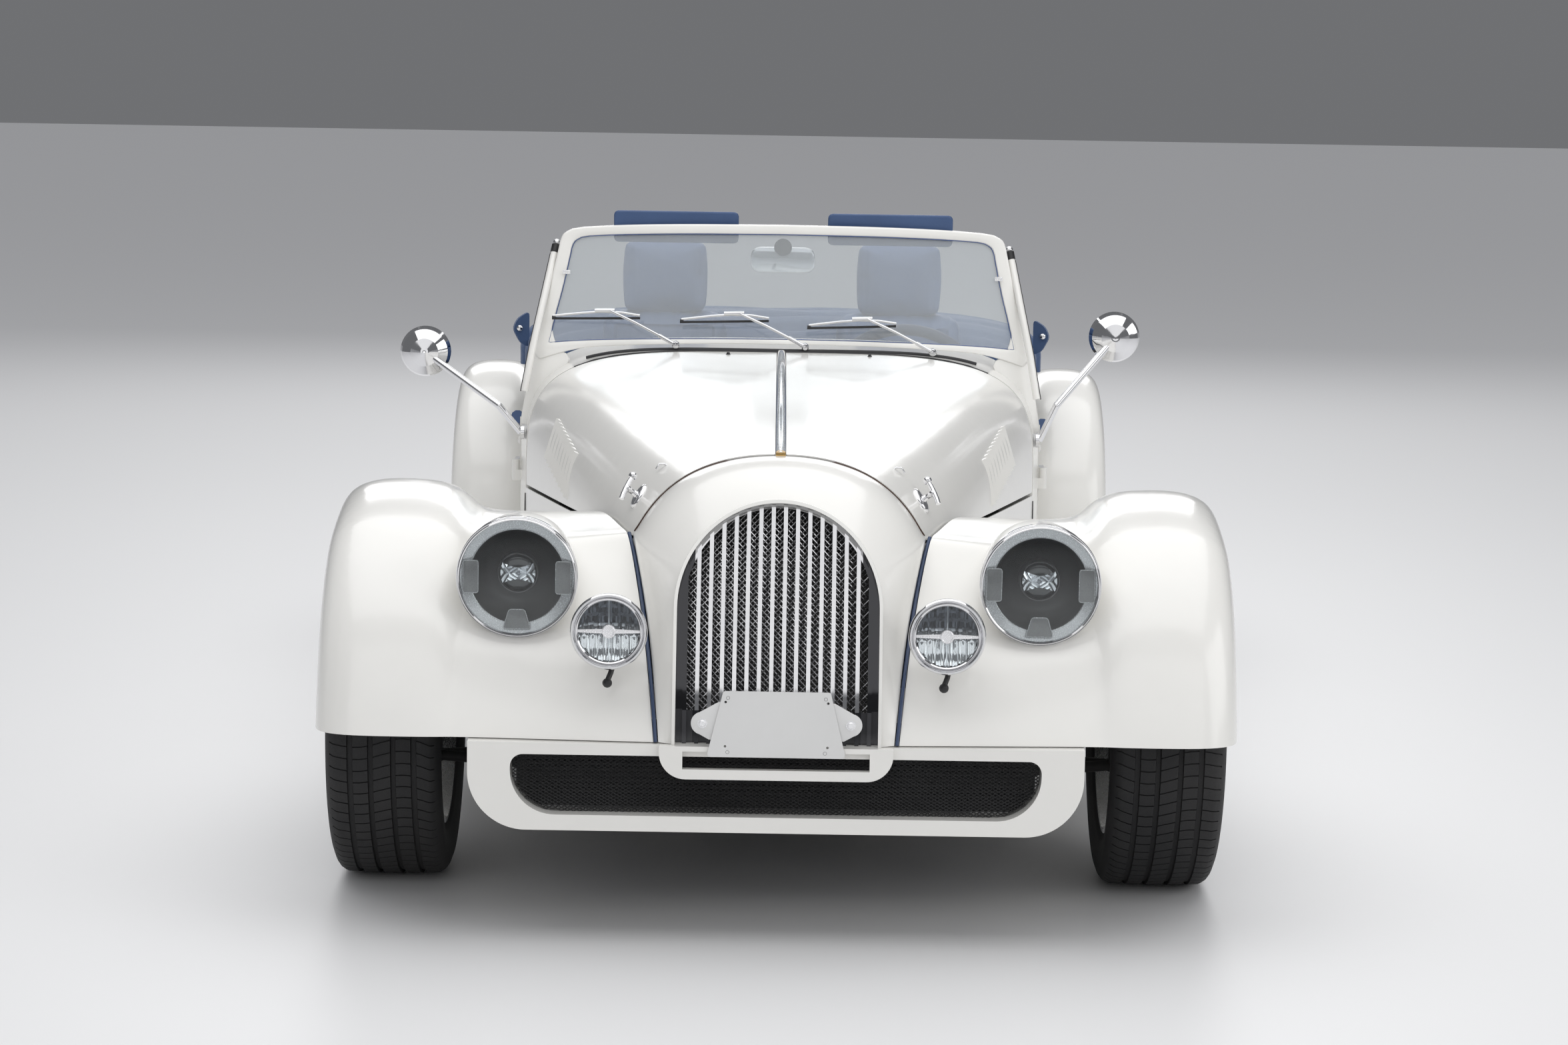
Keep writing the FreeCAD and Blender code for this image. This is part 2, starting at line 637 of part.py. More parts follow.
# Rear body: thick side walls, a deck behind the cockpit and a rounded tail
REAR_STATION_REACH = 275
TAIL_STATION_INSETS = (245, 85)
REAR_STATION_YS = (DOOR_END_Y, REAR_AXLE_Y - REAR_STATION_REACH, REAR_AXLE_Y,
                   REAR_AXLE_Y + REAR_STATION_REACH, TAIL_Y - TAIL_STATION_INSETS[0],
                   TAIL_Y - TAIL_STATION_INSETS[1], TAIL_Y)
REAR_TAPERS = (0, 4, 18, 52, 109, 174, 242)
REAR_HALVES = tuple(BODY_HALF - taper for taper in REAR_TAPERS)
REAR_TOPS = (812, 842, 832, 782, 700, 620, 520)
REAR_BOTTOMS = (FLOOR_HEIGHT, FLOOR_HEIGHT + 18, 330, 335, 345, 360, 410)
REAR_ROUND_SHARES = (5.0, 4.6, 4.0, 3.4, 2.9, 2.6, 2.4)
REAR_POINTS = 15
COCKPIT_SETBACK = 165
COCKPIT_END_Y = REAR_AXLE_Y - COCKPIT_SETBACK
COCKPIT_CORNER = 90
SHELF_Z = 560
AXLE_TUNNEL_HALF_Y = 130
AXLE_TUNNEL_TOP = 455
LOAD_FLOOR_Z = 400


def rear_half(y):
    """The rear body's half width at a place along the car."""
    for i in range(len(REAR_STATION_YS) - 1):
        if y <= REAR_STATION_YS[i + 1] or i == len(REAR_STATION_YS) - 2:
            share = (y - REAR_STATION_YS[i]) / (REAR_STATION_YS[i + 1] - REAR_STATION_YS[i])
            return between((REAR_HALVES[i], REAR_HALVES[i + 1]), max(share, 0))


def hoop(y, half, top, bottom, round_share, inset=0):
    """A closed cross-section: flat below, and a superellipse over the top."""
    half, top = half - inset, top - inset
    middle = between((bottom, top), 0.4)
    power = 2 / round_share
    right = []
    for i in range(REAR_POINTS):
        angle = math.pi / 2 * i / (REAR_POINTS - 1)
        right.append(vec(half * max(math.cos(angle), 0) ** power, y,
                         middle + (top - middle) * math.sin(angle) ** power))
    right[-1].x = 0
    over = right + [vec(-p.x, y, p.z) for p in reversed(right[:-1])]
    low_left, low_right = vec(half, y, bottom), vec(-half, y, bottom)
    return Part.Wire([curve(over), Part.makeLine(over[-1], low_right),
                      Part.makeLine(low_right, low_left), Part.makeLine(low_left, over[0])])


def rear_solid(inset=0):
    """The rear body's outside as one solid."""
    hoops = [hoop(REAR_STATION_YS[i], REAR_HALVES[i], REAR_TOPS[i], REAR_BOTTOMS[i],
                  REAR_ROUND_SHARES[i], inset) for i in range(len(REAR_STATION_YS))]
    return Part.makeLoft(hoops, True, False)


def rear_body():
    body = rear_solid()
    inner = BODY_HALF - WALL
    start = DOOR_END_Y - OVERRUN
    top = COWL_TOP + OVERRUN
    outline = rounded([vec(inner, start, LOAD_FLOOR_Z), vec(inner, COCKPIT_END_Y, LOAD_FLOOR_Z),
                       vec(-inner, COCKPIT_END_Y, LOAD_FLOOR_Z), vec(-inner, start, LOAD_FLOOR_Z)],
                      [0, COCKPIT_CORNER, COCKPIT_CORNER, 0])
    body = body.cut(prism(outline, vec(0, 0, top - LOAD_FLOOR_Z)))
    body = body.cut(block((-inner, inner), (start, REAR_AXLE_Y - AXLE_TUNNEL_HALF_Y - WALL),
                          (FLOOR_HEIGHT - OVERRUN, LOAD_FLOOR_Z + OVERRUN)))
    tunnel = block((-HALF_WIDTH, HALF_WIDTH),
                   (REAR_AXLE_Y - AXLE_TUNNEL_HALF_Y, REAR_AXLE_Y + AXLE_TUNNEL_HALF_Y),
                   (FLOOR_HEIGHT - OVERRUN, AXLE_TUNNEL_TOP))
    body = body.cut(rod(vec(0, start, TYRE_RADIUS), vec(0, REAR_AXLE_Y, TYRE_RADIUS),
                        PROP_RADIUS + SHUT_GAP * 2))
    return body.cut(tunnel).removeSplitter()


# Scuttle: the hollow shell between the bonnet and the doors, with its bulkhead
SCUTTLE_BOTTOM = FLOOR_HEIGHT
SCUTTLE_HALF = BODY_HALF - 2
SCUTTLE_WALL = 5
SCUTTLE_PILLAR = 45
SCUTTLE_TOP_RISE = 6
FOOTWELL_XS = (105, 500)
FOOTWELL_ZS = (FLOOR_HEIGHT, 610)
FOOTWELL_REACH = 300


def scuttle_solid(inset, start, end, bottom):
    """The scuttle's outside as one solid, or its inside with an inset."""
    wires = []
    for share in (0, 0.5, 1):
        y = between((start, end), share)
        along = (y - SCUTTLE_Y) / (DOOR_START_Y - SCUTTLE_Y)
        half = between((BONNET_HALVES[1], SCUTTLE_HALF), along) - inset
        top = HINGE_START.z + BONNET_RISE + SCUTTLE_TOP_RISE * along - inset
        depth = BONNET_DEPTHS[1] - inset
        power = 2 / BONNET_ROUND_SHARES[1]
        right = []
        for i in range(REAR_POINTS):
            angle = math.pi / 2 * i / (REAR_POINTS - 1)
            right.append(vec(half * max(math.cos(angle), 0) ** power, y,
                             top - depth + depth * math.sin(angle) ** power))
        right[-1].x = 0
        over = right + [vec(-p.x, y, p.z) for p in reversed(right[:-1])]
        low_left, low_right = vec(half, y, bottom), vec(-half, y, bottom)
        wires.append(Part.Wire([curve(over), Part.makeLine(over[-1], low_right),
                                Part.makeLine(low_right, low_left),
                                Part.makeLine(low_left, over[0])]))
    return Part.makeLoft(wires, True, False)


def bonnet_end_wedge():
    """What lies ahead of the bonnet's slanting rear end, down to just below its edge."""
    end = HINGE_START + HINGE_LINE * BONNET_LENGTH
    high = end + HINGE_UP * OVERRUN
    low = end - HINGE_UP * (SHUT_DEPTHS[1] + SHUT_GAP)
    ahead = vec(0, -OVERRUN, 0)
    across = vec(-HALF_WIDTH, 0, 0)
    corners = [point + across for point in (high, low, low + ahead, high + ahead)]
    return prism(Part.makePolygon(corners + [corners[0]]), vec(WIDTH, 0, 0))


def scuttle():
    outside = scuttle_solid(0, SCUTTLE_Y, DOOR_START_Y, SCUTTLE_BOTTOM).cut(bonnet_end_wedge())
    lean = SHUT_DEPTHS[1] * RISE_SHARE
    inside = scuttle_solid(SCUTTLE_WALL, SCUTTLE_Y + lean + SCUTTLE_WALL, DOOR_START_Y + OVERRUN,
                           SCUTTLE_BOTTOM - OVERRUN)
    shell = outside.cut(inside)
    pillar_x = BODY_HALF - WALL
    pillars = pair(block((pillar_x, HALF_WIDTH), (DOOR_START_Y - SCUTTLE_PILLAR, DOOR_START_Y),
                         (SCUTTLE_BOTTOM, DOOR_TOP)))
    for side in (1, -1):
        hole = sorted((FOOTWELL_XS[0] * side, FOOTWELL_XS[1] * side))
        shell = shell.cut(block(hole, (SCUTTLE_Y - OVERRUN, SCUTTLE_Y + OVERRUN / 2),
                                (FOOTWELL_ZS[0] - OVERRUN, FOOTWELL_ZS[1])))
    tunnel_x = TUNNEL_HALF + SEAT_GAP
    shell = shell.cut(block((-tunnel_x, tunnel_x), (SCUTTLE_Y - OVERRUN, SCUTTLE_Y + OVERRUN / 2),
                            (SCUTTLE_BOTTOM - OVERRUN, TUNNEL_TOP + SEAT_GAP)))
    for pillar in pillars:
        shell = shell.fuse(pillar.common(outside))
    barrels = []
    for z in HINGE_HEIGHTS:
        low = z - HINGE_HEIGHT / 2
        barrel = rod(vec(HINGE_PIN_X, DOOR_START_Y, low), vec(HINGE_PIN_X, DOOR_START_Y, z),
                     HINGE_RADIUS)
        leaf = block((pillar_x + HINGE_RADIUS, HINGE_PIN_X),
                     (DOOR_START_Y - HINGE_RADIUS, DOOR_START_Y - SEAT_GAP), (low, z))
        barrels += pair(barrel.fuse(leaf))
    return shell.fuse(barrels).removeSplitter()


# Engine-bay sides: upright sheets under the bonnet's edges
SIDE_FOOT_Z = 285
SIDE_STATIONS = 8
SIDE_WINDOW = 40
SIDE_CLEARANCE = 4
SIDE_FRONT_Y = COWL_BACK_Y + SIDE_CLEARANCE


def side_panel():
    near, far = [], []
    low, high = [], []
    for i in range(SIDE_STATIONS):
        y = between((SIDE_FRONT_Y, SCUTTLE_Y - SHEET / 3), i / (SIDE_STATIONS - 1))
        edge = side_at(y)
        low.append(vec(edge.x, y, SIDE_FOOT_Z))
        high.append(vec(edge.x, y, edge.z - SHUT_GAP))
    rows = [[between((low[i], high[i]), share) for share in (0, 0.33, 0.67, 1)]
            for i in range(SIDE_STATIONS)]
    window_ys = (FRONT_AXLE_Y - RACK_AHEAD - SIDE_WINDOW, FRONT_AXLE_Y + TOWER_HALF + SIDE_WINDOW)
    window = block((0, HALF_WIDTH), window_ys, (0, TOWER_TOP + SIDE_WINDOW / 2))
    return panel(rows, -SHEET).cut(window)


# Floor: two pans with their sills, a tunnel between them, and the foot boxes ahead
FLOOR_SHEET = 6
TUNNEL_HALF = 88
TUNNEL_TOP = 470
SILL_HEIGHT = 62
FLOOR_END_Y = REAR_AXLE_Y - AXLE_TUNNEL_HALF_Y - WALL
FLOOR_LOW = FLOOR_HEIGHT - FLOOR_SHEET


def floor_pan():
    """The flat pan beside the tunnel, with the sill below the door."""
    sill_x = BODY_HALF - WALL
    pan = block((TUNNEL_HALF + SEAT_GAP, sill_x), (SCUTTLE_Y, FLOOR_END_Y),
                (FLOOR_LOW, FLOOR_HEIGHT - SEAT_GAP))
    sill = block((sill_x, BODY_HALF - SEAT_GAP), (DOOR_START_Y + SEAT_GAP, DOOR_END_Y - SEAT_GAP),
                 (FLOOR_LOW, FLOOR_LOW + SILL_HEIGHT))
    return pan.fuse(sill).removeSplitter()


def tunnel():
    """The channel over the gearbox and the propeller shaft, open below."""
    start = SCUTTLE_Y - FOOTWELL_REACH
    outer = block((-TUNNEL_HALF, TUNNEL_HALF), (start, FLOOR_END_Y), (FLOOR_LOW, TUNNEL_TOP))
    return outer.cut(block((-TUNNEL_HALF + SHEET, TUNNEL_HALF - SHEET),
                           (start - OVERRUN, FLOOR_END_Y + OVERRUN),
                           (FLOOR_LOW - OVERRUN, TUNNEL_TOP - SHEET)))


def foot_box():
    """The box ahead of the bulkhead that takes one person's feet."""
    start, end = SCUTTLE_Y - FOOTWELL_REACH, SCUTTLE_Y - SEAT_GAP
    outer = block(FOOTWELL_XS, (start, end), (FLOOR_LOW, FOOTWELL_ZS[1] - SEAT_GAP))
    return outer.cut(block((FOOTWELL_XS[0] + SHEET, FOOTWELL_XS[1] - SHEET),
                           (start + SHEET, end + OVERRUN),
                           (FLOOR_HEIGHT - SEAT_GAP, FOOTWELL_ZS[1] - SHEET)))


# Running boards between the wings
BOARD_THICK = 22


def running_board():
    start = TAIL_END_Y + SEAT_GAP
    end = REAR_AXLE_Y - ARCH_RADIUS * REAR_CREST_SHARES[0] - WING_SHEET * 3
    corners = [vec(BODY_HALF + SEAT_GAP, start, BOARD_Z - BOARD_THICK),
               vec(TAIL_OUTER, start, BOARD_Z - BOARD_THICK),
               vec(TAIL_OUTER + BOARD_THICK, end, BOARD_Z - BOARD_THICK),
               vec(BODY_HALF + SEAT_GAP, end, BOARD_Z - BOARD_THICK)]
    return prism(Part.makePolygon(corners + [corners[0]]), vec(0, 0, BOARD_THICK))


def wing_piping():
    """The bead pinched between the cowl and each wing."""
    return pair(chain(curve(SEAM).discretize(SEAM_BEADS), PIPING_RADIUS))


# Front valance: a framed panel under the lip, with a mesh in its opening, and the smaller
# frame below the cowl that carries the number plate's bracket
VALANCE_HALF = 578
VALANCE_TOP = GRILLE_FOOT_Z - SEAT_GAP
VALANCE_BOTTOM = 222
VALANCE_CORNER = 110
OPENING_HALF = 498
OPENING_TOP = 367
OPENING_BOTTOM = 252
OPENING_CORNERS = (24, 84)
VALANCE_DEPTH = 60
VALANCE_FRONT_Y = NOSE_Y + 22
CHIN_HALF = 219
CHIN_TOP = VALANCE_TOP
CHIN_BOTTOM = 327
CHIN_CORNER = 50
CHIN_OPENING = (175, 346, 380)
CHIN_DEPTH = 16
STAY_HALF = 18


def upright_plate(half, top, bottom, y, corners):
    """The outline of an upright plate, with its upper and its lower corners rounded."""
    return rounded([vec(-half, y, top), vec(half, y, top), vec(half, y, bottom),
                    vec(-half, y, bottom)], [corners[0], corners[0], corners[1], corners[1]])


def front_valance():
    y = VALANCE_FRONT_Y
    outline = upright_plate(VALANCE_HALF, VALANCE_TOP, VALANCE_BOTTOM, y, (0, VALANCE_CORNER))
    hole = upright_plate(OPENING_HALF, OPENING_TOP, OPENING_BOTTOM, y, OPENING_CORNERS)
    depth = vec(0, VALANCE_DEPTH, 0)
    panel_solid = prism(outline, depth).cut(prism(hole, depth))
    front = y - SEAT_GAP
    chin = upright_plate(CHIN_HALF, CHIN_TOP, CHIN_BOTTOM, front, (0, CHIN_CORNER))
    gap = block((-CHIN_OPENING[0], CHIN_OPENING[0]), (front - CHIN_DEPTH, front),
                (CHIN_OPENING[1], CHIN_OPENING[2]))
    chin_solid = prism(chin, vec(0, -CHIN_DEPTH, 0)).cut(gap)
    return [panel_solid, chin_solid]


def valance_mesh():
    y = VALANCE_FRONT_Y + VALANCE_DEPTH / 2
    outline = upright_plate(OPENING_HALF - SEAT_GAP, OPENING_TOP - SEAT_GAP,
                            OPENING_BOTTOM + SEAT_GAP, y, OPENING_CORNERS)
    plate = prism(outline, vec(0, MESH_THICKNESS, 0))
    inner = block((-OPENING_HALF + MESH_WIRE, OPENING_HALF - MESH_WIRE),
                  (NOSE_Y, FRONT_AXLE_Y), (OPENING_BOTTOM + MESH_WIRE, OPENING_TOP - MESH_WIRE))
    holes = diamonds(OPENING_HALF, OPENING_BOTTOM, OPENING_TOP, NOSE_Y, COWL_REACH)
    corners = pair(block((OPENING_HALF - OPENING_CORNERS[1], OPENING_HALF), (NOSE_Y, FRONT_AXLE_Y),
                         (OPENING_BOTTOM, OPENING_BOTTOM + OPENING_CORNERS[1])))
    return plate.cut(holes.common(inner.cut(Part.makeCompound(corners))))


PLATE_FOOT_HALF = 130
PLATE_HEAD_HALF = 100
PLATE_FOOT_Z = 372
PLATE_HEAD_Z = 497
PLATE_THICK = 3
PLATE_HOLE = 5
PLATE_HOLE_SPACING = (191, 84)


def plate_bracket():
    """The blank number plate's panel on two stays from the chin."""
    front = NOSE_Y
    outline = rounded([vec(-PLATE_FOOT_HALF, front, PLATE_FOOT_Z),
                       vec(PLATE_FOOT_HALF, front, PLATE_FOOT_Z),
                       vec(PLATE_HEAD_HALF, front, PLATE_HEAD_Z),
                       vec(-PLATE_HEAD_HALF, front, PLATE_HEAD_Z)], [PLATE_THICK * 2] * 4)
    shape = prism(outline, vec(0, PLATE_THICK, 0))
    middle = (PLATE_FOOT_Z + PLATE_HEAD_Z) / 2
    for x in (-PLATE_HOLE_SPACING[0] / 2, PLATE_HOLE_SPACING[0] / 2):
        for z in (middle - PLATE_HOLE_SPACING[1] / 2, middle + PLATE_HOLE_SPACING[1] / 2):
            shape = shape.cut(rod(vec(x, front - PLATE_THICK, z), vec(x, front + PLATE_THICK * 2, z),
                                  PLATE_HOLE / 2))
    chin_front = VALANCE_FRONT_Y - SEAT_GAP - CHIN_DEPTH
    for side in (1, -1):
        x = sorted((side * PLATE_HEAD_HALF * 0.5, side * (PLATE_HEAD_HALF * 0.5 + STAY_HALF)))
        shape = shape.fuse(block(x, (front + PLATE_THICK, chin_front - SEAT_GAP / 3),
                                 (PLATE_FOOT_Z, CHIN_TOP)))
    return shape.removeSplitter()


# Lamps
BEZEL_WIDTH = 12
BEZEL_DEPTH = 22
BOWL_WALL = 3
BOWL_GAP = 1.3
LENS_THICK = 4
PROJECTOR_RADIUS = 24


def headlamp():
    """Chrome bezel with its bowl and the projector in its middle."""
    r, d = LAMP_RADIUS, BEZEL_DEPTH
    inner = r - BEZEL_WIDTH
    y = LAMP_FRONT_Y - SEAT_GAP
    bowl_r = r - POD_WALL * 4 - BOWL_GAP

    def at(radius, back):
        return vec(LAMP_X + radius, y - d + back, LAMP_Z)

    outline = [at(inner, 0), at(r - BEZEL_WIDTH / 3, 0), at(r, d * 0.4), at(r, d),
               at(bowl_r, d), at(bowl_r, d + LAMP_DEPTH * 0.7), at(0, d + LAMP_DEPTH),
               at(0, d * 0.5), at(PROJECTOR_RADIUS, d * 0.6),
               at(PROJECTOR_RADIUS, d + LAMP_DEPTH * 0.8),
               at(bowl_r - BOWL_WALL * 2, d + LAMP_DEPTH * 0.6),
               at(bowl_r - BOWL_WALL, d), at(inner, d * 0.6)]
    return revolved(outline, vec(LAMP_X, y, LAMP_Z), vec(0, 1, 0))


def headlamp_lens():
    r = LAMP_RADIUS - BEZEL_WIDTH - SEAT_GAP
    y = LAMP_FRONT_Y - BEZEL_DEPTH

    def at(radius, back):
        return vec(LAMP_X + radius, y + back, LAMP_Z)

    outline = [at(0, 0), at(r * 0.6, LENS_THICK * 0.4), at(r, LENS_THICK),
               at(r, LENS_THICK * 2), at(r * 0.6, LENS_THICK * 1.4), at(0, LENS_THICK)]
    return revolved(outline, vec(LAMP_X, y, LAMP_Z), vec(0, 1, 0))


FOG_X = 315
FOG_Z = 603
FOG_RADIUS = 72.5
FOG_DEPTH = 78
FOG_FRONT_Y = NOSE_Y + 12
FOG_STEM = 9


def fog_lamp():
    """A round lamp on a short stem from the apron."""
    y, r, d = FOG_FRONT_Y, FOG_RADIUS, FOG_DEPTH

    def at(radius, back):
        return vec(FOG_X + radius, y + back, FOG_Z)

    outline = [at(0, d * 0.06), at(r * 0.85, d * 0.09), at(r * 0.88, 0), at(r, d * 0.08),
               at(r, d * 0.28), at(r * 0.8, d * 0.6), at(r * 0.4, d * 0.92), at(0, d)]
    body = revolved(outline, vec(FOG_X, y, FOG_Z), vec(0, 1, 0))
    foot = apron_point(FOG_X, FOG_STEM_ANGLE)
    start = vec(FOG_X, y + FOG_DEPTH * 0.55, FOG_Z - r * 0.6)
    end = foot + (foot - start).normalize() * FOG_STEM / 4
    apron = panel(front_wing_rows(), FOG_STEM * 1.5, net_surface)
    apron.translate(vec(0, -SEAT_GAP, 0))
    lamp = body.fuse(rod(start, end, FOG_STEM)).removeSplitter().cut(apron)
    return max(lamp.Solids, key=lambda solid: solid.Volume)


FOG_STEM_ANGLE = 26


def apron_point(x, degrees):
    """A point of the apron between cowl and wing, at a place across the car."""
    rows = front_wing_rows()
    for i in range(len(SEAM_ANGLES) - 1):
        if degrees <= SEAM_ANGLES[i + 1]:
            share = (degrees - SEAM_ANGLES[i]) / (SEAM_ANGLES[i + 1] - SEAM_ANGLES[i])
            inner = between((rows[i][0], rows[i + 1][0]), share)
            valley = between((rows[i][2], rows[i + 1][2]), share)
            across = (x - inner.x) / (valley.x - inner.x)
            return between((inner, valley), across)


TAIL_LAMP_X = 300
TAIL_LAMP_Z = 560
TAIL_LAMP_RADIUS = 40
TAIL_LAMP_DEPTH = 85
TAIL_LAMP_Y = TAIL_Y - 108


def tail_lamp():
    """A round lamp whose stem stands in the tail's sloping face."""
    lamp = rod(vec(TAIL_LAMP_X, TAIL_LAMP_Y, TAIL_LAMP_Z),
               vec(TAIL_LAMP_X, TAIL_LAMP_Y + TAIL_LAMP_DEPTH, TAIL_LAMP_Z), TAIL_LAMP_RADIUS)
    return max(lamp.cut(rear_solid(-SEAT_GAP)).Solids, key=lambda solid: solid.CenterOfMass.y)


# Windscreen: a raked frame that stands on the scuttle, with its glass, wipers and visors
SCREEN_TOP_HALF = 511
SCREEN_FOOT_HALF = 566
SCREEN_TOP_Z = 1222
SCREEN_PEAK_Z = 1239
SCREEN_CORNER_Z = 1200
SCREEN_FOOT_Z = 800
SCREEN_TOP_YS = (-128, -92)
SCREEN_FOOT_YS = (-262, -196)
SCREEN_GLASS_FOOT_Z = 948
FRAME_WIDTH = 24
FRAME_THICK = 20
FRAME_CORNER = 55
GLASS_THICK = 5
GLASS_CORNER = 38
CROWN_SHARE = 105
SCREEN_ROWS = 5
SCREEN_COLUMNS = 9


def screen_sheet(back, thickness):
    """The curved, raked sheet that the frame and the glass are cut from."""
    rows = []
    for i in range(SCREEN_ROWS):
        up = i / (SCREEN_ROWS - 1)
        z = between((SCREEN_FOOT_Z - OVERRUN, SCREEN_TOP_Z + OVERRUN), up)
        share = (z - SCREEN_GLASS_FOOT_Z) / (SCREEN_TOP_Z - SCREEN_GLASS_FOOT_Z)
        row = []
        for j in range(SCREEN_COLUMNS):
            x = between((-SCREEN_FOOT_HALF - OVERRUN, SCREEN_FOOT_HALF + OVERRUN),
                        j / (SCREEN_COLUMNS - 1))
            bow = (x / SCREEN_FOOT_HALF) ** 2
            y = between((between(SCREEN_FOOT_YS, bow), between(SCREEN_TOP_YS, bow)), share)
            row.append(vec(x, y + back, z))
        rows.append(row)
    return panel(rows, thickness)


def screen_prism(inset, foot_z, corner):
    """A prism through the screen, inset from the frame's outline."""
    start = SCREEN_FOOT_YS[0] - OVERRUN * 2
    top_half, foot_half = SCREEN_TOP_HALF - inset, SCREEN_FOOT_HALF - inset
    wire = rounded([vec(-foot_half, start, foot_z), vec(foot_half, start, foot_z),
                    vec(top_half, start, SCREEN_CORNER_Z - inset),
                    vec(0, start, SCREEN_PEAK_Z - inset),
                    vec(-top_half, start, SCREEN_CORNER_Z - inset)],
                   [corner * 0.5, corner * 0.5, corner, corner * CROWN_SHARE, corner])
    return prism(wire, vec(0, -start + OVERRUN, 0))


def windscreen_frame():
    frame = screen_sheet(0, FRAME_THICK).common(screen_prism(0, SCREEN_FOOT_Z, FRAME_CORNER))
    frame = frame.cut(screen_prism(FRAME_WIDTH, SCREEN_GLASS_FOOT_Z + FRAME_WIDTH * 0.9,
                                   FRAME_CORNER - FRAME_WIDTH / 2))
    return frame.cut(scuttle_solid(-SEAT_GAP, SCUTTLE_Y - OVERRUN * 3, DOOR_START_Y + OVERRUN,
                                   SCUTTLE_BOTTOM))


def windscreen_glass():
    sheet = screen_sheet(FRAME_THICK * 0.35, GLASS_THICK)
    return sheet.common(screen_prism(FRAME_WIDTH + SEAT_GAP,
                                     SCREEN_GLASS_FOOT_Z + FRAME_WIDTH * 0.9 + SEAT_GAP,
                                     FRAME_CORNER - FRAME_WIDTH / 2))


WIPER_XS = (-242, 54, 346)
WIPER_ARM = 285
WIPER_BLADE = 205
WIPER_RADIUS = 4
WIPER_ANGLE = 10
WIPER_PIVOT_RADIUS = 8
WIPER_FOOT_DROP = 14


def screen_y(x, z):
    bow = (x / SCREEN_FOOT_HALF) ** 2
    share = (z - SCREEN_GLASS_FOOT_Z) / (SCREEN_TOP_Z - SCREEN_GLASS_FOOT_Z)
    return between((between(SCREEN_FOOT_YS, bow), between(SCREEN_TOP_YS, bow)), share)


def scuttle_top(x, y):
    """The height of the scuttle's outer surface above a place."""
    along = (y - SCUTTLE_Y) / (DOOR_START_Y - SCUTTLE_Y)
    half = between((BONNET_HALVES[1], SCUTTLE_HALF), along)
    depth = BONNET_DEPTHS[1]
    top = HINGE_START.z + BONNET_RISE + SCUTTLE_TOP_RISE * along
    power = BONNET_ROUND_SHARES[1]
    return top - depth + depth * (1 - abs(x / half) ** power) ** (1 / power)


def blade_y(place):
    """Where a blade's middle lies, just clear of the glass."""
    glass = screen_y(place.x, place.z) + FRAME_THICK * 0.35
    return glass - WIPER_RADIUS * 1.2 - SEAT_GAP * 6


def wipers():
    """Three arms on their pivots, parked to the right, each with its blade on the glass."""
    arms = []
    angle = math.radians(WIPER_ANGLE)
    for x in WIPER_XS:
        pivot_y = SCREEN_FOOT_YS[0] - WIPER_PIVOT_RADIUS * 1.3
        foot = scuttle_top(x, pivot_y)
        high = foot + WIPER_FOOT_DROP + WIPER_PIVOT_RADIUS
        pivot = rod(vec(x, pivot_y, foot - WIPER_FOOT_DROP), vec(x, pivot_y, high),
                    WIPER_PIVOT_RADIUS)
        pivot = pivot.cut(scuttle_solid(-SEAT_GAP, SCUTTLE_Y - OVERRUN, DOOR_START_Y,
                                        SCUTTLE_BOTTOM))
        ends = []
        for reach in (WIPER_ARM - WIPER_BLADE / 2, WIPER_ARM):
            ends.append(vec(x - reach * math.cos(angle), 0, high + reach * math.sin(angle)))
        tips = []
        for end in ends:
            end.y = blade_y(end)
            tips.append(end)
        arm = chain([vec(x, pivot_y, high - WIPER_RADIUS), tips[0]], WIPER_RADIUS)
        blade_end = vec(tips[0].x * 2 - tips[1].x, 0, tips[0].z * 2 - tips[1].z)
        blade_end.y = blade_y(blade_end)
        blade = chain([blade_end, tips[0], tips[1]], WIPER_RADIUS * 1.2)
        arms.append(pivot.fuse(arm).fuse(blade).removeSplitter())
    return arms


VISOR_INNER_X = 103
VISOR_WIDTH = 291
VISOR_HEIGHT = 78
VISOR_THICK = 14
VISOR_Z = 1185
VISOR_TILT = 8


def sun_visors():
    """Two padded visors behind the frame's top rail."""
    visor = block((VISOR_INNER_X, VISOR_INNER_X + VISOR_WIDTH), (0, VISOR_THICK),
                  (0, VISOR_HEIGHT))
    visor = visor.makeFillet(VISOR_THICK * 0.4, visor.Edges)
    visor.rotate(vec(0, 0, 0), vec(1, 0, 0), VISOR_TILT)
    outer_bow = ((VISOR_INNER_X + VISOR_WIDTH) / SCREEN_FOOT_HALF) ** 2
    visor.translate(vec(0, between(SCREEN_TOP_YS, outer_bow) + FRAME_THICK * 0.975, VISOR_Z))
    return pair(visor)


MIRROR_Z = 1148
MIRROR_HALF_WIDTH = 75
MIRROR_HALF_HEIGHT = 30
MIRROR_DEPTH = 26
MIRROR_STEM = 7
RAKE_SHARE = 1.13


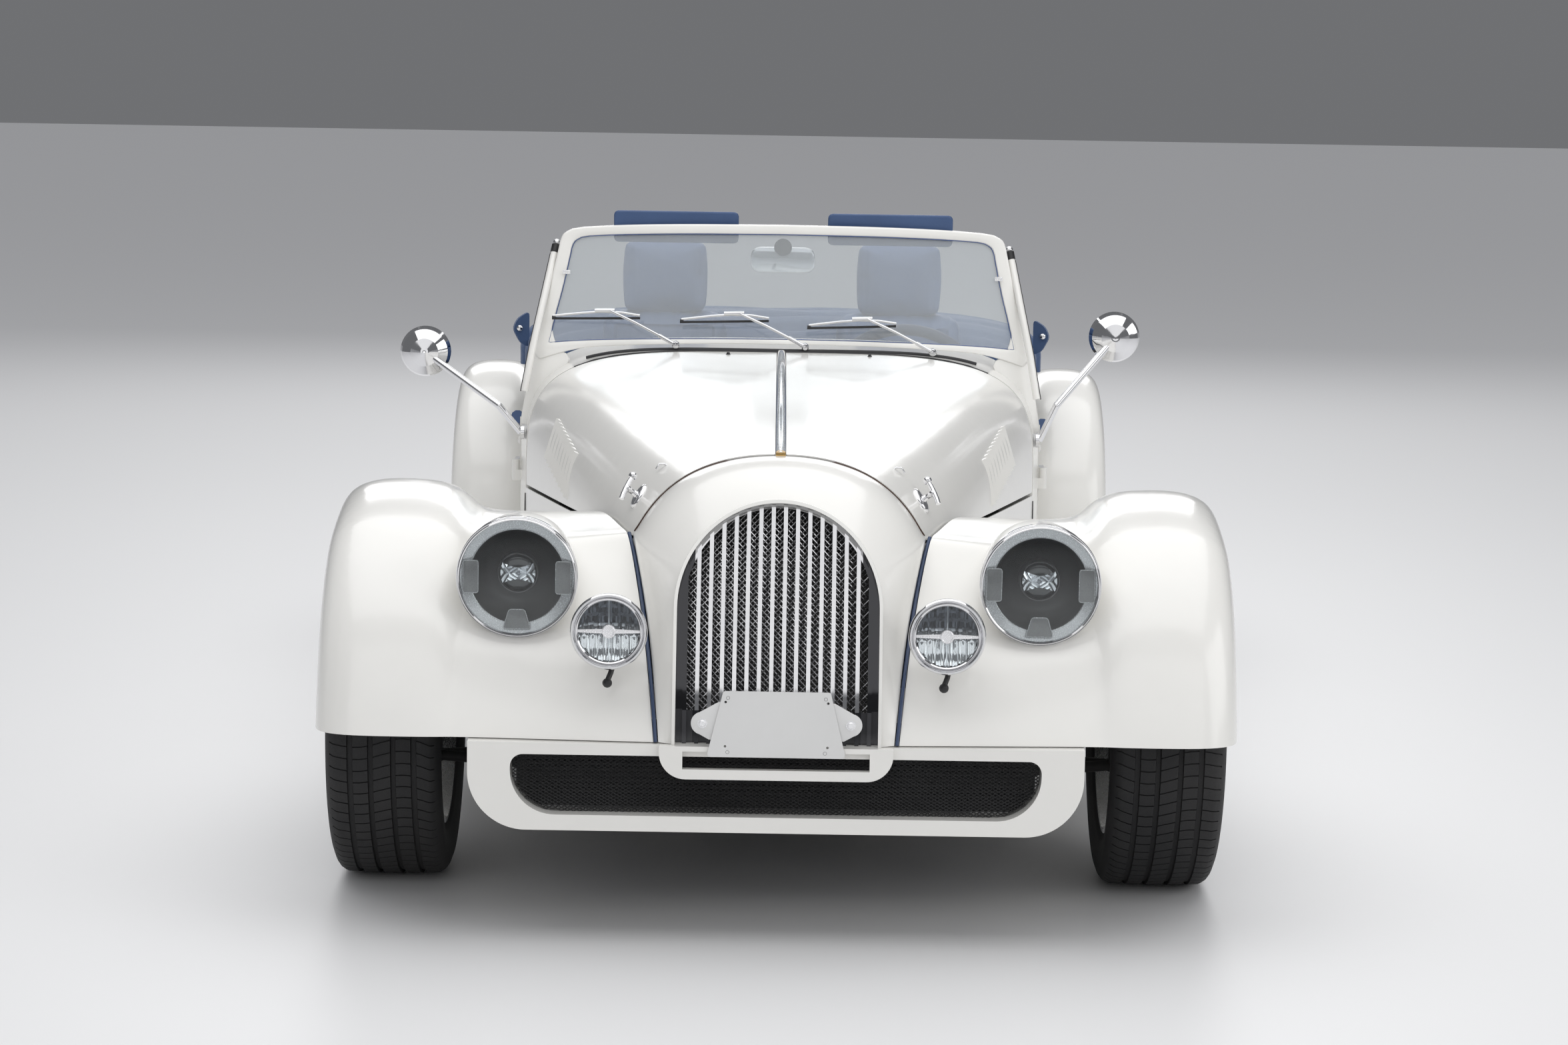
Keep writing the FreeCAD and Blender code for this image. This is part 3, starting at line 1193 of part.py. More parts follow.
def interior_mirror():
    """An oval mirror on a short stem from the windscreen's top rail."""
    y = screen_y(0, MIRROR_Z) + FRAME_THICK + MIRROR_DEPTH
    oval = Part.Ellipse(vec(0, 0, 0), MIRROR_HALF_WIDTH, MIRROR_HALF_HEIGHT).toShape()
    face = Part.Face(Part.Wire([oval]))
    shape = face.extrude(vec(0, 0, MIRROR_DEPTH))
    shape.rotate(vec(0, 0, 0), vec(1, 0, 0), 90)
    shape.translate(vec(0, y + MIRROR_DEPTH, MIRROR_Z))
    rail_z = SCREEN_TOP_Z - FRAME_WIDTH * 0.6
    rail_y = screen_y(0, rail_z + MIRROR_STEM * 1.6) + FRAME_THICK * RAKE_SHARE + SEAT_GAP
    rail = vec(0, rail_y, rail_z)
    foot = rod(rail, rail + vec(0, MIRROR_STEM, 0), MIRROR_STEM * 1.6)
    stem = rod(rail + vec(0, MIRROR_STEM, 0), vec(0, y + MIRROR_DEPTH / 2, MIRROR_Z), MIRROR_STEM)
    return shape.fuse(foot).fuse(stem).removeSplitter()


DOOR_MIRROR_RADIUS = 59
DOOR_MIRROR_DEPTH = 42
LEFT_MIRROR = (774, 986)
RIGHT_MIRROR = (828, 927)
DOOR_MIRROR_Y = -150
DOOR_MIRROR_FOOT_Y = -205
DOOR_MIRROR_FOOT_Z = 752
DOOR_MIRROR_STEM = 8
DOOR_MIRROR_SINK = 0.3


def wing_mirror(mirror_x, mirror_z):
    """A round mirror on a bent stem from the scuttle's left side, set to its driver's eye."""
    back = vec(mirror_x, DOOR_MIRROR_Y, mirror_z)
    r, d = DOOR_MIRROR_RADIUS, DOOR_MIRROR_DEPTH

    def at(radius, along):
        return back + vec(radius, along, 0)

    head = revolved([at(0, 0), at(r * 0.55, d * 0.12), at(r * 0.9, d * 0.45), at(r, d), at(0, d)],
                    back, vec(0, 1, 0))
    share = (DOOR_MIRROR_FOOT_Y - SCUTTLE_Y) / (DOOR_START_Y - SCUTTLE_Y)
    side_x = between((BONNET_HALVES[1], SCUTTLE_HALF), share)
    foot = vec(side_x, DOOR_MIRROR_FOOT_Y, DOOR_MIRROR_FOOT_Z)
    base = rod(foot - vec(DOOR_MIRROR_SINK, 0, 0), foot + vec(DOOR_MIRROR_STEM, 0, 0),
               DOOR_MIRROR_STEM * 2)
    base = base.cut(scuttle_solid(-SEAT_GAP, SCUTTLE_Y, DOOR_START_Y, SCUTTLE_BOTTOM))
    knee = vec(between((side_x, mirror_x), 0.25), DOOR_MIRROR_FOOT_Y,
               between((DOOR_MIRROR_FOOT_Z, mirror_z), 0.35))
    arm = chain([foot + vec(DOOR_MIRROR_STEM, 0, 0), knee, back + vec(0, d / 2, 0)],
                DOOR_MIRROR_STEM)
    return base.fuse(arm).fuse(head).removeSplitter()


# Cockpit
DASH_FRONT_Y = -58
DASH_BACK_Y = -26
DASH_BOTTOM = 660
WHEEL_X = 293
WHEEL_Y = 130
WHEEL_Z = 812
WHEEL_RADIUS = 182
WHEEL_GRIP = 14
WHEEL_TILT = 24
COLUMN_RADIUS = 26
SHAFT_RADIUS = 14
HUB_RADIUS = 38


def column_line():
    angle = math.radians(WHEEL_TILT)
    return vec(0, math.cos(angle), math.sin(angle))


def dashboard():
    """The panel below the scuttle's rear edge, with the steering column's housing."""
    inside = scuttle_solid(SCUTTLE_WALL + SEAT_GAP, SCUTTLE_Y + OVERRUN, DOOR_START_Y,
                           SCUTTLE_BOTTOM)
    inner_x = BODY_HALF - WALL - SEAT_GAP
    slab = block((-inner_x, inner_x), (DASH_FRONT_Y, DASH_BACK_Y),
                 (DASH_BOTTOM, COWL_TOP + BONNET_RISE * 2))
    line = column_line()
    hub = vec(WHEEL_X, WHEEL_Y, WHEEL_Z)
    reach = (WHEEL_Y - DASH_BACK_Y) / line.y
    start, end = hub - line * (reach + COLUMN_RADIUS), hub - line * (HUB_RADIUS * 1.6)
    tube = rod(start, end, COLUMN_RADIUS)
    bore = rod(start + line * COLUMN_RADIUS * 0.5, end + line * OVERRUN, SHAFT_RADIUS + SEAT_GAP * 2)
    return inside.common(slab).fuse(tube).cut(bore).removeSplitter()


def steering_wheel():
    """Rim, three spokes, hub and the shaft that runs into the column."""
    line = column_line()
    hub = vec(WHEEL_X, WHEEL_Y, WHEEL_Z)
    shape = Part.makeTorus(WHEEL_RADIUS, WHEEL_GRIP, hub, line)
    side, up = vec(1, 0, 0), line.cross(vec(1, 0, 0)).normalize()
    for angle in (0, 180, 270):
        radians = math.radians(angle)
        out = side * math.cos(radians) - up * math.sin(radians)
        shape = shape.fuse(rod(hub, hub + out * WHEEL_RADIUS, WHEEL_GRIP * 0.6))
    shape = shape.fuse(rod(hub - line * HUB_RADIUS, hub + line * (HUB_RADIUS / 4), HUB_RADIUS))
    tail = hub - line * (HUB_RADIUS * 1.6 + COLUMN_RADIUS)
    return shape.fuse(rod(hub, tail, SHAFT_RADIUS)).removeSplitter()


SEAT_X = 293
SEAT_HALF = 198
SEAT_FRONT_Y = 70
SEAT_BACK_Y = 560
SEAT_FOOT_Z = FLOOR_HEIGHT
SEAT_LIFT = 20
CUSHION_TOP = 440
CUSHION_DIP = 40
BACK_TOP_Z = 960
HEAD_TOP_Z = 1147
HEAD_HALF = 101
HEAD_DEPTHS = (-30, 45)
BACK_THICK = 110
BACK_TOP_DEPTHS = (-30, 60)
SEAT_LEAN = 14
SEAT_SOFT = 26
SEAT_ROUNDS = (30, 60, 50, 30, 30, 40)
RUNNER_INSETS = (40, 60, 90)
RUNNER_HEIGHT = 40


def seat():
    """A bucket seat: cushion, raked back and headrest on its runners."""
    back_y = SEAT_BACK_Y - BACK_THICK
    head_y = back_y + (BACK_TOP_Z - CUSHION_TOP) * math.tan(math.radians(SEAT_LEAN))
    x0, low = SEAT_X - SEAT_HALF, SEAT_FOOT_Z + SEAT_LIFT
    profile = rounded([vec(x0, SEAT_FRONT_Y, low), vec(x0, SEAT_FRONT_Y, CUSHION_TOP),
                       vec(x0, back_y - CUSHION_DIP * 1.5, CUSHION_TOP - CUSHION_DIP),
                       vec(x0, head_y + BACK_TOP_DEPTHS[0], BACK_TOP_Z),
                       vec(x0, head_y + BACK_TOP_DEPTHS[1], BACK_TOP_Z),
                       vec(x0, SEAT_BACK_Y, low)], SEAT_ROUNDS)
    shape = prism(profile, vec(SEAT_HALF * 2, 0, 0))
    head = block((SEAT_X - HEAD_HALF, SEAT_X + HEAD_HALF),
                 (head_y + HEAD_DEPTHS[0], head_y + HEAD_DEPTHS[1]),
                 (BACK_TOP_Z - SEAT_SOFT, HEAD_TOP_Z))
    head = head.makeFillet(SEAT_SOFT, [e for e in head.Edges if e.BoundBox.ZMax > BACK_TOP_Z])
    side, front, back = RUNNER_INSETS
    runners = block((x0 + side, x0 + SEAT_HALF * 2 - side),
                    (SEAT_FRONT_Y + front, SEAT_BACK_Y - back),
                    (SEAT_FOOT_Z + SEAT_GAP, SEAT_FOOT_Z + RUNNER_HEIGHT))
    return shape.fuse(head).fuse(runners).removeSplitter()


HOOD_HALF = 672
HOOD_FRONT_Y = 668
HOOD_BACK_Y = 1120
HOOD_TOP_Z = 952
HOOD_FOOT_Z = 755
HOOD_ROUND_SHARE = 3.2
HOOD_SHARES = ((0, 0.82, 0.35), (0.18, 0.97, 0.9), (0.45, 1, 1), (0.75, 0.9, 0.8), (1, 0.7, 0.3))


def folded_hood():
    """The fabric hood, folded down into a roll across the rear deck."""
    wires = []
    for along, half_share, top_share in HOOD_SHARES:
        y = between((HOOD_FRONT_Y, HOOD_BACK_Y), along)
        top = between((rear_deck(y) + SEAT_GAP, HOOD_TOP_Z), top_share)
        wires.append(hoop(y, HOOD_HALF * half_share, top, HOOD_FOOT_Z, HOOD_ROUND_SHARE))
    roll = Part.makeLoft(wires, True, False)
    return roll.cut(rear_solid(-SEAT_GAP))


def rear_deck(y):
    """The height of the rear body's top at a place along the car."""
    for i in range(len(REAR_STATION_YS) - 1):
        if y <= REAR_STATION_YS[i + 1]:
            share = (y - REAR_STATION_YS[i]) / (REAR_STATION_YS[i + 1] - REAR_STATION_YS[i])
            return between((REAR_TOPS[i], REAR_TOPS[i + 1]), share)


# Chassis and running gear
RAIL_XS = (300, 380)
RAIL_ZS = (190, FLOOR_HEIGHT - FLOOR_SHEET - SEAT_GAP)
RAIL_REACHES = (330, 380)
RAIL_FRONT_Y = FRONT_AXLE_Y - RAIL_REACHES[0]
RAIL_END_Y = REAR_AXLE_Y + RAIL_REACHES[1]
CROSS_HALF = 35
CROSS_FRONT_STEPS = (-250, 60, 1045)
CROSS_REAR_STEPS = (-755, 300)
CROSS_YS = (tuple(FRONT_AXLE_Y + step for step in CROSS_FRONT_STEPS)
            + tuple(REAR_AXLE_Y + step for step in CROSS_REAR_STEPS))
OUTRIGGER_FRONT_STEP = 1225
OUTRIGGER_REAR_STEPS = (-815, -335)
OUTRIGGER_YS = (FRONT_AXLE_Y + OUTRIGGER_FRONT_STEP, REAR_AXLE_Y + OUTRIGGER_REAR_STEPS[0],
                REAR_AXLE_Y + OUTRIGGER_REAR_STEPS[1])
TOWER_TOP = 590
TOWER_HALF = 92
REAR_TOWER = 45
RACK_AHEAD = 110
RACK_Z = 320
RACK_HOUSING_RADIUS = 20
RACK_ROD_RADIUS = 10
RACK_HOUSING_HALF = 250
RACK_CLAMP_INSETS = (50, 10)
ARM_LOW_Z = 238
ARM_HIGH_Z = 430
KINGPIN_X = 690
KINGPIN_RADIUS = 15
ARM_RADIUS = 11
BALL_RADIUS = 19
PIN_GAP = 2


def chassis():
    """Two box rails with cross members, outriggers, damper towers and the rack's housing."""
    rail = block(RAIL_XS, (RAIL_FRONT_Y, RAIL_END_Y), RAIL_ZS)
    shape = rail.fuse(mirrored(rail))
    for y in CROSS_YS:
        shape = shape.fuse(block((-RAIL_XS[0], RAIL_XS[0]), (y - CROSS_HALF, y + CROSS_HALF),
                                 RAIL_ZS))
    for y in OUTRIGGER_YS:
        shape = shape.fuse(block((-BODY_HALF + WALL, BODY_HALF - WALL),
                                 (y - CROSS_HALF / 2, y + CROSS_HALF / 2),
                                 (RAIL_ZS[0] + CROSS_HALF / 2, RAIL_ZS[1])))
    tower_xs = (RAIL_XS[0] + CROSS_HALF, RAIL_XS[1])
    towers = [block(tower_xs, (FRONT_AXLE_Y - TOWER_HALF, FRONT_AXLE_Y + TOWER_HALF),
                    (RAIL_ZS[0], TOWER_TOP))]
    for side in (1, -1):
        along = sorted((REAR_AXLE_Y + side * CROSS_HALF,
                        REAR_AXLE_Y + side * (CROSS_HALF + REAR_TOWER)))
        towers.append(block(tower_xs, along, (RAIL_ZS[0], AXLE_TUNNEL_TOP - SHEET)))
    for tower in towers:
        shape = shape.fuse(tower).fuse(mirrored(tower))
    rack_y = FRONT_AXLE_Y - RACK_AHEAD
    housing = rod(vec(-RACK_HOUSING_HALF, rack_y, RACK_Z), vec(RACK_HOUSING_HALF, rack_y, RACK_Z),
                  RACK_HOUSING_RADIUS)
    for side in (1, -1):
        clamp = [side * (RACK_HOUSING_HALF - inset) for inset in RACK_CLAMP_INSETS]
        x = sorted((clamp[0], side * RAIL_XS[0]))
        shape = shape.fuse(block(x, (rack_y - RACK_HOUSING_RADIUS, rack_y + RACK_HOUSING_RADIUS),
                                 (RAIL_ZS[0], RAIL_ZS[1])))
        shape = shape.fuse(block(sorted(clamp),
                                 (rack_y - RACK_HOUSING_RADIUS, rack_y + RACK_HOUSING_RADIUS),
                                 (RAIL_ZS[0], RACK_Z)))
    shape = shape.fuse(housing)
    bore = rod(vec(-HALF_WIDTH, rack_y, RACK_Z), vec(HALF_WIDTH, rack_y, RACK_Z),
               RACK_ROD_RADIUS + SEAT_GAP * 2)
    return shape.cut(bore).removeSplitter()


def wishbone(axle_y, z, tip_x, tip_radius, spread):
    """A V-shaped arm from the chassis to the ball joint below or above the upright."""
    tip = vec(tip_x, axle_y, z)
    root_x = RAIL_XS[1] + ARM_RADIUS / 4
    shape = rod(tip - vec(0, 0, ARM_RADIUS), tip + vec(0, 0, ARM_RADIUS), tip_radius)
    for side in (1, -1):
        root = vec(root_x + ARM_RADIUS, axle_y + side * spread, z)
        shape = shape.fuse(rod(root, tip, ARM_RADIUS))
        shape = shape.fuse(rod(root - vec(0, ARM_RADIUS * 2, 0),
                               root + vec(0, ARM_RADIUS * 2, 0),
                               ARM_RADIUS * 1.2))
    return shape.removeSplitter()


ARM_SPREAD = 105
DAMPER_RADIUS = 22
SPRING_RADIUS = 42
SPRING_FOOT_INSET = 150


def front_suspension():
    """Upper and lower arms and a spring over its damper, on each side."""
    lower = wishbone(FRONT_AXLE_Y, ARM_LOW_Z, KINGPIN_X, BALL_RADIUS, ARM_SPREAD)
    upper = wishbone(FRONT_AXLE_Y, ARM_HIGH_Z, KINGPIN_X, BALL_RADIUS, ARM_SPREAD * 0.8)
    foot = vec(KINGPIN_X - SPRING_FOOT_INSET, FRONT_AXLE_Y, ARM_LOW_Z + ARM_RADIUS)
    head = vec(RAIL_XS[1] + SPRING_RADIUS, FRONT_AXLE_Y, TOWER_TOP - CROSS_HALF)
    line = (head - foot).normalize()
    length = (head - foot).Length
    damper = rod(foot, head, DAMPER_RADIUS * 0.6)
    damper = damper.fuse(rod(foot + line * length * 0.15, foot + line * length * 0.9,
                             SPRING_RADIUS * 0.85))
    cross = rod(foot - vec(0, ARM_SPREAD * 0.62, ARM_RADIUS),
                foot + vec(0, ARM_SPREAD * 0.62, -ARM_RADIUS), ARM_RADIUS * 0.9)
    return pair(lower.fuse(cross).fuse(damper).removeSplitter()) + pair(upper)


HUB_FACE = -45
DISC_XS = (-43, -21)
DISC_RADIUS = 150
SPOKE_XS = (38, 74)
RIM_HALF = 100
BEAD_RADIUS = 228
BARREL_WALL = 8
WELL_DEPTH = 14
SPOKE_WIDTH = 18
SPOKE_COUNT = 12
HUB_OUTER = 70
STUB_RADIUS = 34
CALIPER_YS = (88, 168)
CALIPER_HALF = 48
CALIPER_WALL = 18
DISC_GAP = 5


def stub_and_caliper(wheel_x, axle_y):
    """The stub behind a wheel's hub, with the caliper that straddles the brake disc."""
    centre = vec(wheel_x, axle_y, TYRE_RADIUS)
    inner_x = KINGPIN_X - FRONT_WHEEL_X
    stub = rod(centre + vec(inner_x, 0, 0), centre + vec(HUB_FACE - SEAT_GAP, 0, 0), STUB_RADIUS)
    x0 = wheel_x + DISC_XS[0] - DISC_GAP - CALIPER_WALL
    x1 = wheel_x + DISC_XS[1] + DISC_GAP + CALIPER_WALL
    y0, y1 = axle_y + CALIPER_YS[0], axle_y + CALIPER_YS[1]
    caliper = block((x0, x1), (y0, y1), (TYRE_RADIUS - CALIPER_HALF, TYRE_RADIUS + CALIPER_HALF))
    slot = rod(vec(wheel_x + DISC_XS[0] - DISC_GAP, axle_y, TYRE_RADIUS),
               vec(wheel_x + DISC_XS[1] + DISC_GAP, axle_y, TYRE_RADIUS), DISC_RADIUS + DISC_GAP)
    bracket = block((x0 - CALIPER_WALL / 3, x0 + CALIPER_WALL / 3), (axle_y, y0 + CALIPER_WALL),
                    (TYRE_RADIUS - STUB_RADIUS / 2, TYRE_RADIUS + STUB_RADIUS / 2))
    bracket = bracket.common(block((x0 - CALIPER_WALL, wheel_x + HUB_FACE - PIN_GAP),
                                   (axle_y - OVERRUN, y1), (0, TYRE_RADIUS * 2)))
    return stub.fuse(caliper.cut(slot)).fuse(bracket)


STEER_ARM_Z = 345
STEER_ARM_INSET = 18
STEER_ARM_HALF = 9


def knuckle():
    """The steered upright: kingpin, stub, caliper and the steering arm ahead of the axle."""
    post = rod(vec(KINGPIN_X, FRONT_AXLE_Y, ARM_LOW_Z + ARM_RADIUS + SEAT_GAP),
               vec(KINGPIN_X, FRONT_AXLE_Y, ARM_HIGH_Z - ARM_RADIUS - SEAT_GAP), KINGPIN_RADIUS)
    tip = vec(KINGPIN_X - STEER_ARM_INSET, FRONT_AXLE_Y - RACK_AHEAD, STEER_ARM_Z)
    arm = rod(vec(KINGPIN_X, FRONT_AXLE_Y, STEER_ARM_Z), tip, STEER_ARM_HALF)
    eye = rod(tip - vec(0, 0, STEER_ARM_HALF), tip + vec(0, 0, STEER_ARM_HALF),
              STEER_ARM_HALF * 1.7)
    return stub_and_caliper(FRONT_WHEEL_X, FRONT_AXLE_Y).fuse(post).fuse(arm).fuse(eye)


def steering_rack():
    """The rack bar with its two tie rods, each ending in an eye under a steering arm."""
    y = FRONT_AXLE_Y - RACK_AHEAD
    reach = KINGPIN_X - STEER_ARM_INSET
    bar = rod(vec(-reach, y, RACK_Z), vec(reach, y, RACK_Z), RACK_ROD_RADIUS)
    top = STEER_ARM_Z - STEER_ARM_HALF - PIN_GAP
    for side in (1, -1):
        bar = bar.fuse(rod(vec(side * reach, y, RACK_Z - RACK_ROD_RADIUS), vec(side * reach, y, top),
                           RACK_ROD_RADIUS * 1.5))
    return bar.removeSplitter()


def tyre():
    """A tyre about the X axis, its tread face square and its shoulders stepped."""
    half = TYRE_WIDTH / 2
    r, bead = TYRE_RADIUS, BEAD_RADIUS
    side = (r + bead) / 2

    def at(x, radius):
        return vec(x, 0, radius)

    outline = [at(-half * 0.76, r), at(half * 0.76, r), at(half * 0.95, r * 0.972),
               at(half, side), at(RIM_HALF, bead + SEAT_GAP),
               at(-RIM_HALF, bead + SEAT_GAP), at(-half, side), at(-half * 0.95, r * 0.972)]
    return revolved(outline, vec(0, 0, 0), vec(1, 0, 0))


def rim():
    """A wheel about the X axis, its outer face towards +X, with hub and brake disc."""
    def at(x, radius):
        return vec(x, 0, radius)

    well = BEAD_RADIUS - WELL_DEPTH
    edge = [at(RIM_HALF, BEAD_RADIUS), at(RIM_HALF, BEAD_RADIUS - BARREL_WALL),
            at(RIM_HALF * 0.7, well - BARREL_WALL), at(-RIM_HALF * 0.7, well - BARREL_WALL),
            at(-RIM_HALF, BEAD_RADIUS - BARREL_WALL), at(-RIM_HALF, BEAD_RADIUS),
            at(-RIM_HALF * 0.8, BEAD_RADIUS), at(-RIM_HALF * 0.55, well),
            at(RIM_HALF * 0.55, well), at(RIM_HALF * 0.8, BEAD_RADIUS)]
    barrel = revolved(edge, vec(0, 0, 0), vec(1, 0, 0))
    disc = Part.makeCylinder(DISC_RADIUS, DISC_XS[1] - DISC_XS[0], vec(DISC_XS[0], 0, 0),
                             vec(1, 0, 0))
    hub = Part.makeCylinder(HUB_OUTER * 0.8, SPOKE_XS[0] - HUB_FACE + BARREL_WALL,
                            vec(HUB_FACE, 0, 0), vec(1, 0, 0))
    depth = SPOKE_XS[1] - SPOKE_XS[0]
    boss = revolved([at(SPOKE_XS[0], 0), at(SPOKE_XS[0], HUB_OUTER),
                     at(SPOKE_XS[1] - depth / 3, HUB_OUTER), at(SPOKE_XS[1], HUB_OUTER * 0.7),
                     at(SPOKE_XS[1], 0)], vec(0, 0, 0), vec(1, 0, 0))
    half, foot, reach = SPOKE_WIDTH / 2, HUB_OUTER * 0.88, well - BARREL_WALL / 2
    back, front = SPOKE_XS[0] + depth / 9, SPOKE_XS[1] - depth / 6
    corners = [vec(back, -half, foot), vec(front, -half, foot),
               vec(RIM_HALF * 0.66, -half, reach), vec(RIM_HALF * 0.4, -half, reach)]
    spoke = prism(Part.makePolygon(corners + [corners[0]]), vec(0, SPOKE_WIDTH, 0))
    spokes = []
    for i in range(SPOKE_COUNT):
        copy = spoke.copy()
        copy.rotate(vec(0, 0, 0), vec(1, 0, 0), 360 * i / SPOKE_COUNT)
        spokes.append(copy)
    return barrel.fuse(disc).fuse(hub).fuse(boss).fuse(spokes).removeSplitter()


def at_wheel(shape, x, y):
    """A wheel's piece moved to its place, turned outward on the car's right."""
    placed = shape.copy() if x > 0 else mirrored(shape)
    placed.translate(vec(x, y, TYRE_RADIUS))
    return placed


FINAL_DRIVE_HALF = 110
FINAL_DRIVE_RADIUS = 105
HALF_SHAFT_RADIUS = 16


def rear_axle():
    """Final drive, half shafts, arms and the rear stubs with their calipers."""
    centre = vec(0, REAR_AXLE_Y, TYRE_RADIUS)
    shape = rod(centre - vec(FINAL_DRIVE_HALF, 0, 0), centre + vec(FINAL_DRIVE_HALF, 0, 0),
                FINAL_DRIVE_RADIUS)
    inner_x = REAR_WHEEL_X + KINGPIN_X - FRONT_WHEEL_X
    stub = stub_and_caliper(REAR_WHEEL_X, REAR_AXLE_Y)
    shaft = rod(centre, vec(inner_x + STUB_RADIUS / 2, REAR_AXLE_Y, TYRE_RADIUS),
                HALF_SHAFT_RADIUS)
    side = stub.fuse(shaft)
    side = side.fuse(block((inner_x, inner_x + STUB_RADIUS * 0.8),
                           (REAR_AXLE_Y - STUB_RADIUS / 2, REAR_AXLE_Y + STUB_RADIUS / 2),
                           (ARM_LOW_Z, ARM_HIGH_Z - OVERRUN / 2)))
    for z in (ARM_LOW_Z, ARM_HIGH_Z - OVERRUN / 2):
        for way in (1, -1):
            root = vec(RAIL_XS[1] + ARM_RADIUS + SEAT_GAP, REAR_AXLE_Y + way * ARM_SPREAD * 0.6, z)
            side = side.fuse(Part.makeSphere(ARM_RADIUS, root))
            side = side.fuse(rod(root, vec(inner_x + STUB_RADIUS / 2, REAR_AXLE_Y, z), ARM_RADIUS))
    return shape.fuse(side).fuse(mirrored(side))


ENGINE_HALF = 225
ENGINE_YS = (FRONT_AXLE_Y + 110, FRONT_AXLE_Y + 640)
ENGINE_ZS = (RAIL_ZS[1] + SEAT_GAP, 740)
GEARBOX_HALF = 78
GEARBOX_TOP = 440
PROP_RADIUS = 32


def engine():
    return block((-ENGINE_HALF, ENGINE_HALF), ENGINE_YS, ENGINE_ZS)


def gearbox():
    """Gearbox behind the engine, and the propeller shaft in the tunnel."""
    box = block((-GEARBOX_HALF, GEARBOX_HALF), (ENGINE_YS[1] + SEAT_GAP, SCUTTLE_Y + CROSS_HALF),
                (RAIL_ZS[1] + SEAT_GAP, GEARBOX_TOP))
    end_y = REAR_AXLE_Y - FINAL_DRIVE_RADIUS - SEAT_GAP * 3
    shaft = rod(vec(0, SCUTTLE_Y, TYRE_RADIUS), vec(0, end_y, TYRE_RADIUS), PROP_RADIUS)
    return box.fuse(shaft).removeSplitter()


EXHAUST_X = 210
EXHAUST_RADIUS = 26
EXHAUST_Z = 160
SILENCER_RADIUS = 62
SILENCER_GAP = 15
SILENCER_LENGTH = 250


def exhaust():
    """Two pipes under the floor with a silencer each, out below the tail."""
    start = ENGINE_YS[0] + OVERRUN * 2
    silencer_y = RAIL_END_Y + SILENCER_GAP
    pipe = chain([vec(EXHAUST_X, start, ENGINE_ZS[0] - SEAT_GAP), vec(EXHAUST_X, start, EXHAUST_Z),
                  vec(EXHAUST_X, TAIL_Y - OVERRUN, EXHAUST_Z)], EXHAUST_RADIUS)
    silencer = rod(vec(EXHAUST_X, silencer_y, EXHAUST_Z),
                   vec(EXHAUST_X, silencer_y + SILENCER_LENGTH, EXHAUST_Z), SILENCER_RADIUS)
    return pair(pipe.fuse(silencer).removeSplitter())


RADIATOR_HALF = 230
RADIATOR_ZS = (RAIL_ZS[1] + SEAT_GAP, 700)
RADIATOR_Y = FRONT_AXLE_Y - 235
RADIATOR_THICK = 45


def radiator():
    return block((-RADIATOR_HALF, RADIATOR_HALF), (RADIATOR_Y, RADIATOR_Y + RADIATOR_THICK),
                 RADIATOR_ZS)


def main():
    os.makedirs("parts", exist_ok=True)
    save("chassis", chassis())
    save("front_suspension", front_suspension())
    save("rear_axle", rear_axle())
    save("engine", engine())
    save("gearbox", gearbox())
    save("exhaust", exhaust())
    save("radiator", radiator())
    save("radiator_cowl", cowl())
    save("grille_bars", grille_bars())
    save("grille_mesh", grille_mesh())
    save("front_wings", pair(front_wing()))
    save("wing_piping", wing_piping())
    save("rear_wings", pair(rear_wing()))
    save("running_boards", pair(running_board()))
    save("front_valance", front_valance())
    save("valance_mesh", valance_mesh())
    save("plate_bracket", plate_bracket())
    save("side_panels", pair(side_panel()))
    save("scuttle", scuttle())
    save("floor", pair(floor_pan()))
    save("tunnel", tunnel())
    save("foot_boxes", pair(foot_box()))
    save("rear_body", rear_body())
    save("bonnet_strip", bonnet_strip())
    save("windscreen_frame", windscreen_frame())
    save("windscreen_glass", windscreen_glass())
    save("wipers", wipers())
    save("sun_visors", sun_visors())
    save("interior_mirror", interior_mirror())
    save("wing_mirrors", [wing_mirror(*LEFT_MIRROR), mirrored(wing_mirror(*RIGHT_MIRROR))])
    save("headlamps", pair(headlamp()))
    save("headlamp_lenses", pair(headlamp_lens()))
    save("fog_lamps", pair(fog_lamp()))
    save("tail_lamps", pair(tail_lamp()))
    save("dashboard", dashboard())
    save("seats", pair(seat()))
    save("folded_hood", folded_hood())
    save("steering_wheel", steering_wheel())
    save("steering_rack", steering_rack())
    bonnet, side_door, upright = bonnet_half(), door(), knuckle()
    save("bonnet_left", bonnet)
    save("bonnet_right", mirrored(bonnet))
    save("door_left", side_door)
    save("door_right", mirrored(side_door))
    save("knuckle_left", upright)
    save("knuckle_right", mirrored(upright))
    tyre_shape, rim_shape = tyre(), rim()
    for name, x, y in (("front_left", FRONT_WHEEL_X, FRONT_AXLE_Y),
                       ("front_right", -FRONT_WHEEL_X, FRONT_AXLE_Y),
                       ("rear_left", REAR_WHEEL_X, REAR_AXLE_Y),
                       ("rear_right", -REAR_WHEEL_X, REAR_AXLE_Y)):
        save("tyre_" + name, at_wheel(tyre_shape, x, y))
        save("rim_" + name, at_wheel(rim_shape, x, y))


if __name__ == "__main__":
    main()
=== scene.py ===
"""Visual model of an open roadster with separate wings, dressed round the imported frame.

Metres. X points to the car's left, Y to its tail and Z up from the ground.
"""
import bpy
import math
from mathutils import Matrix, Vector
from mathutils.bvhtree import BVHTree


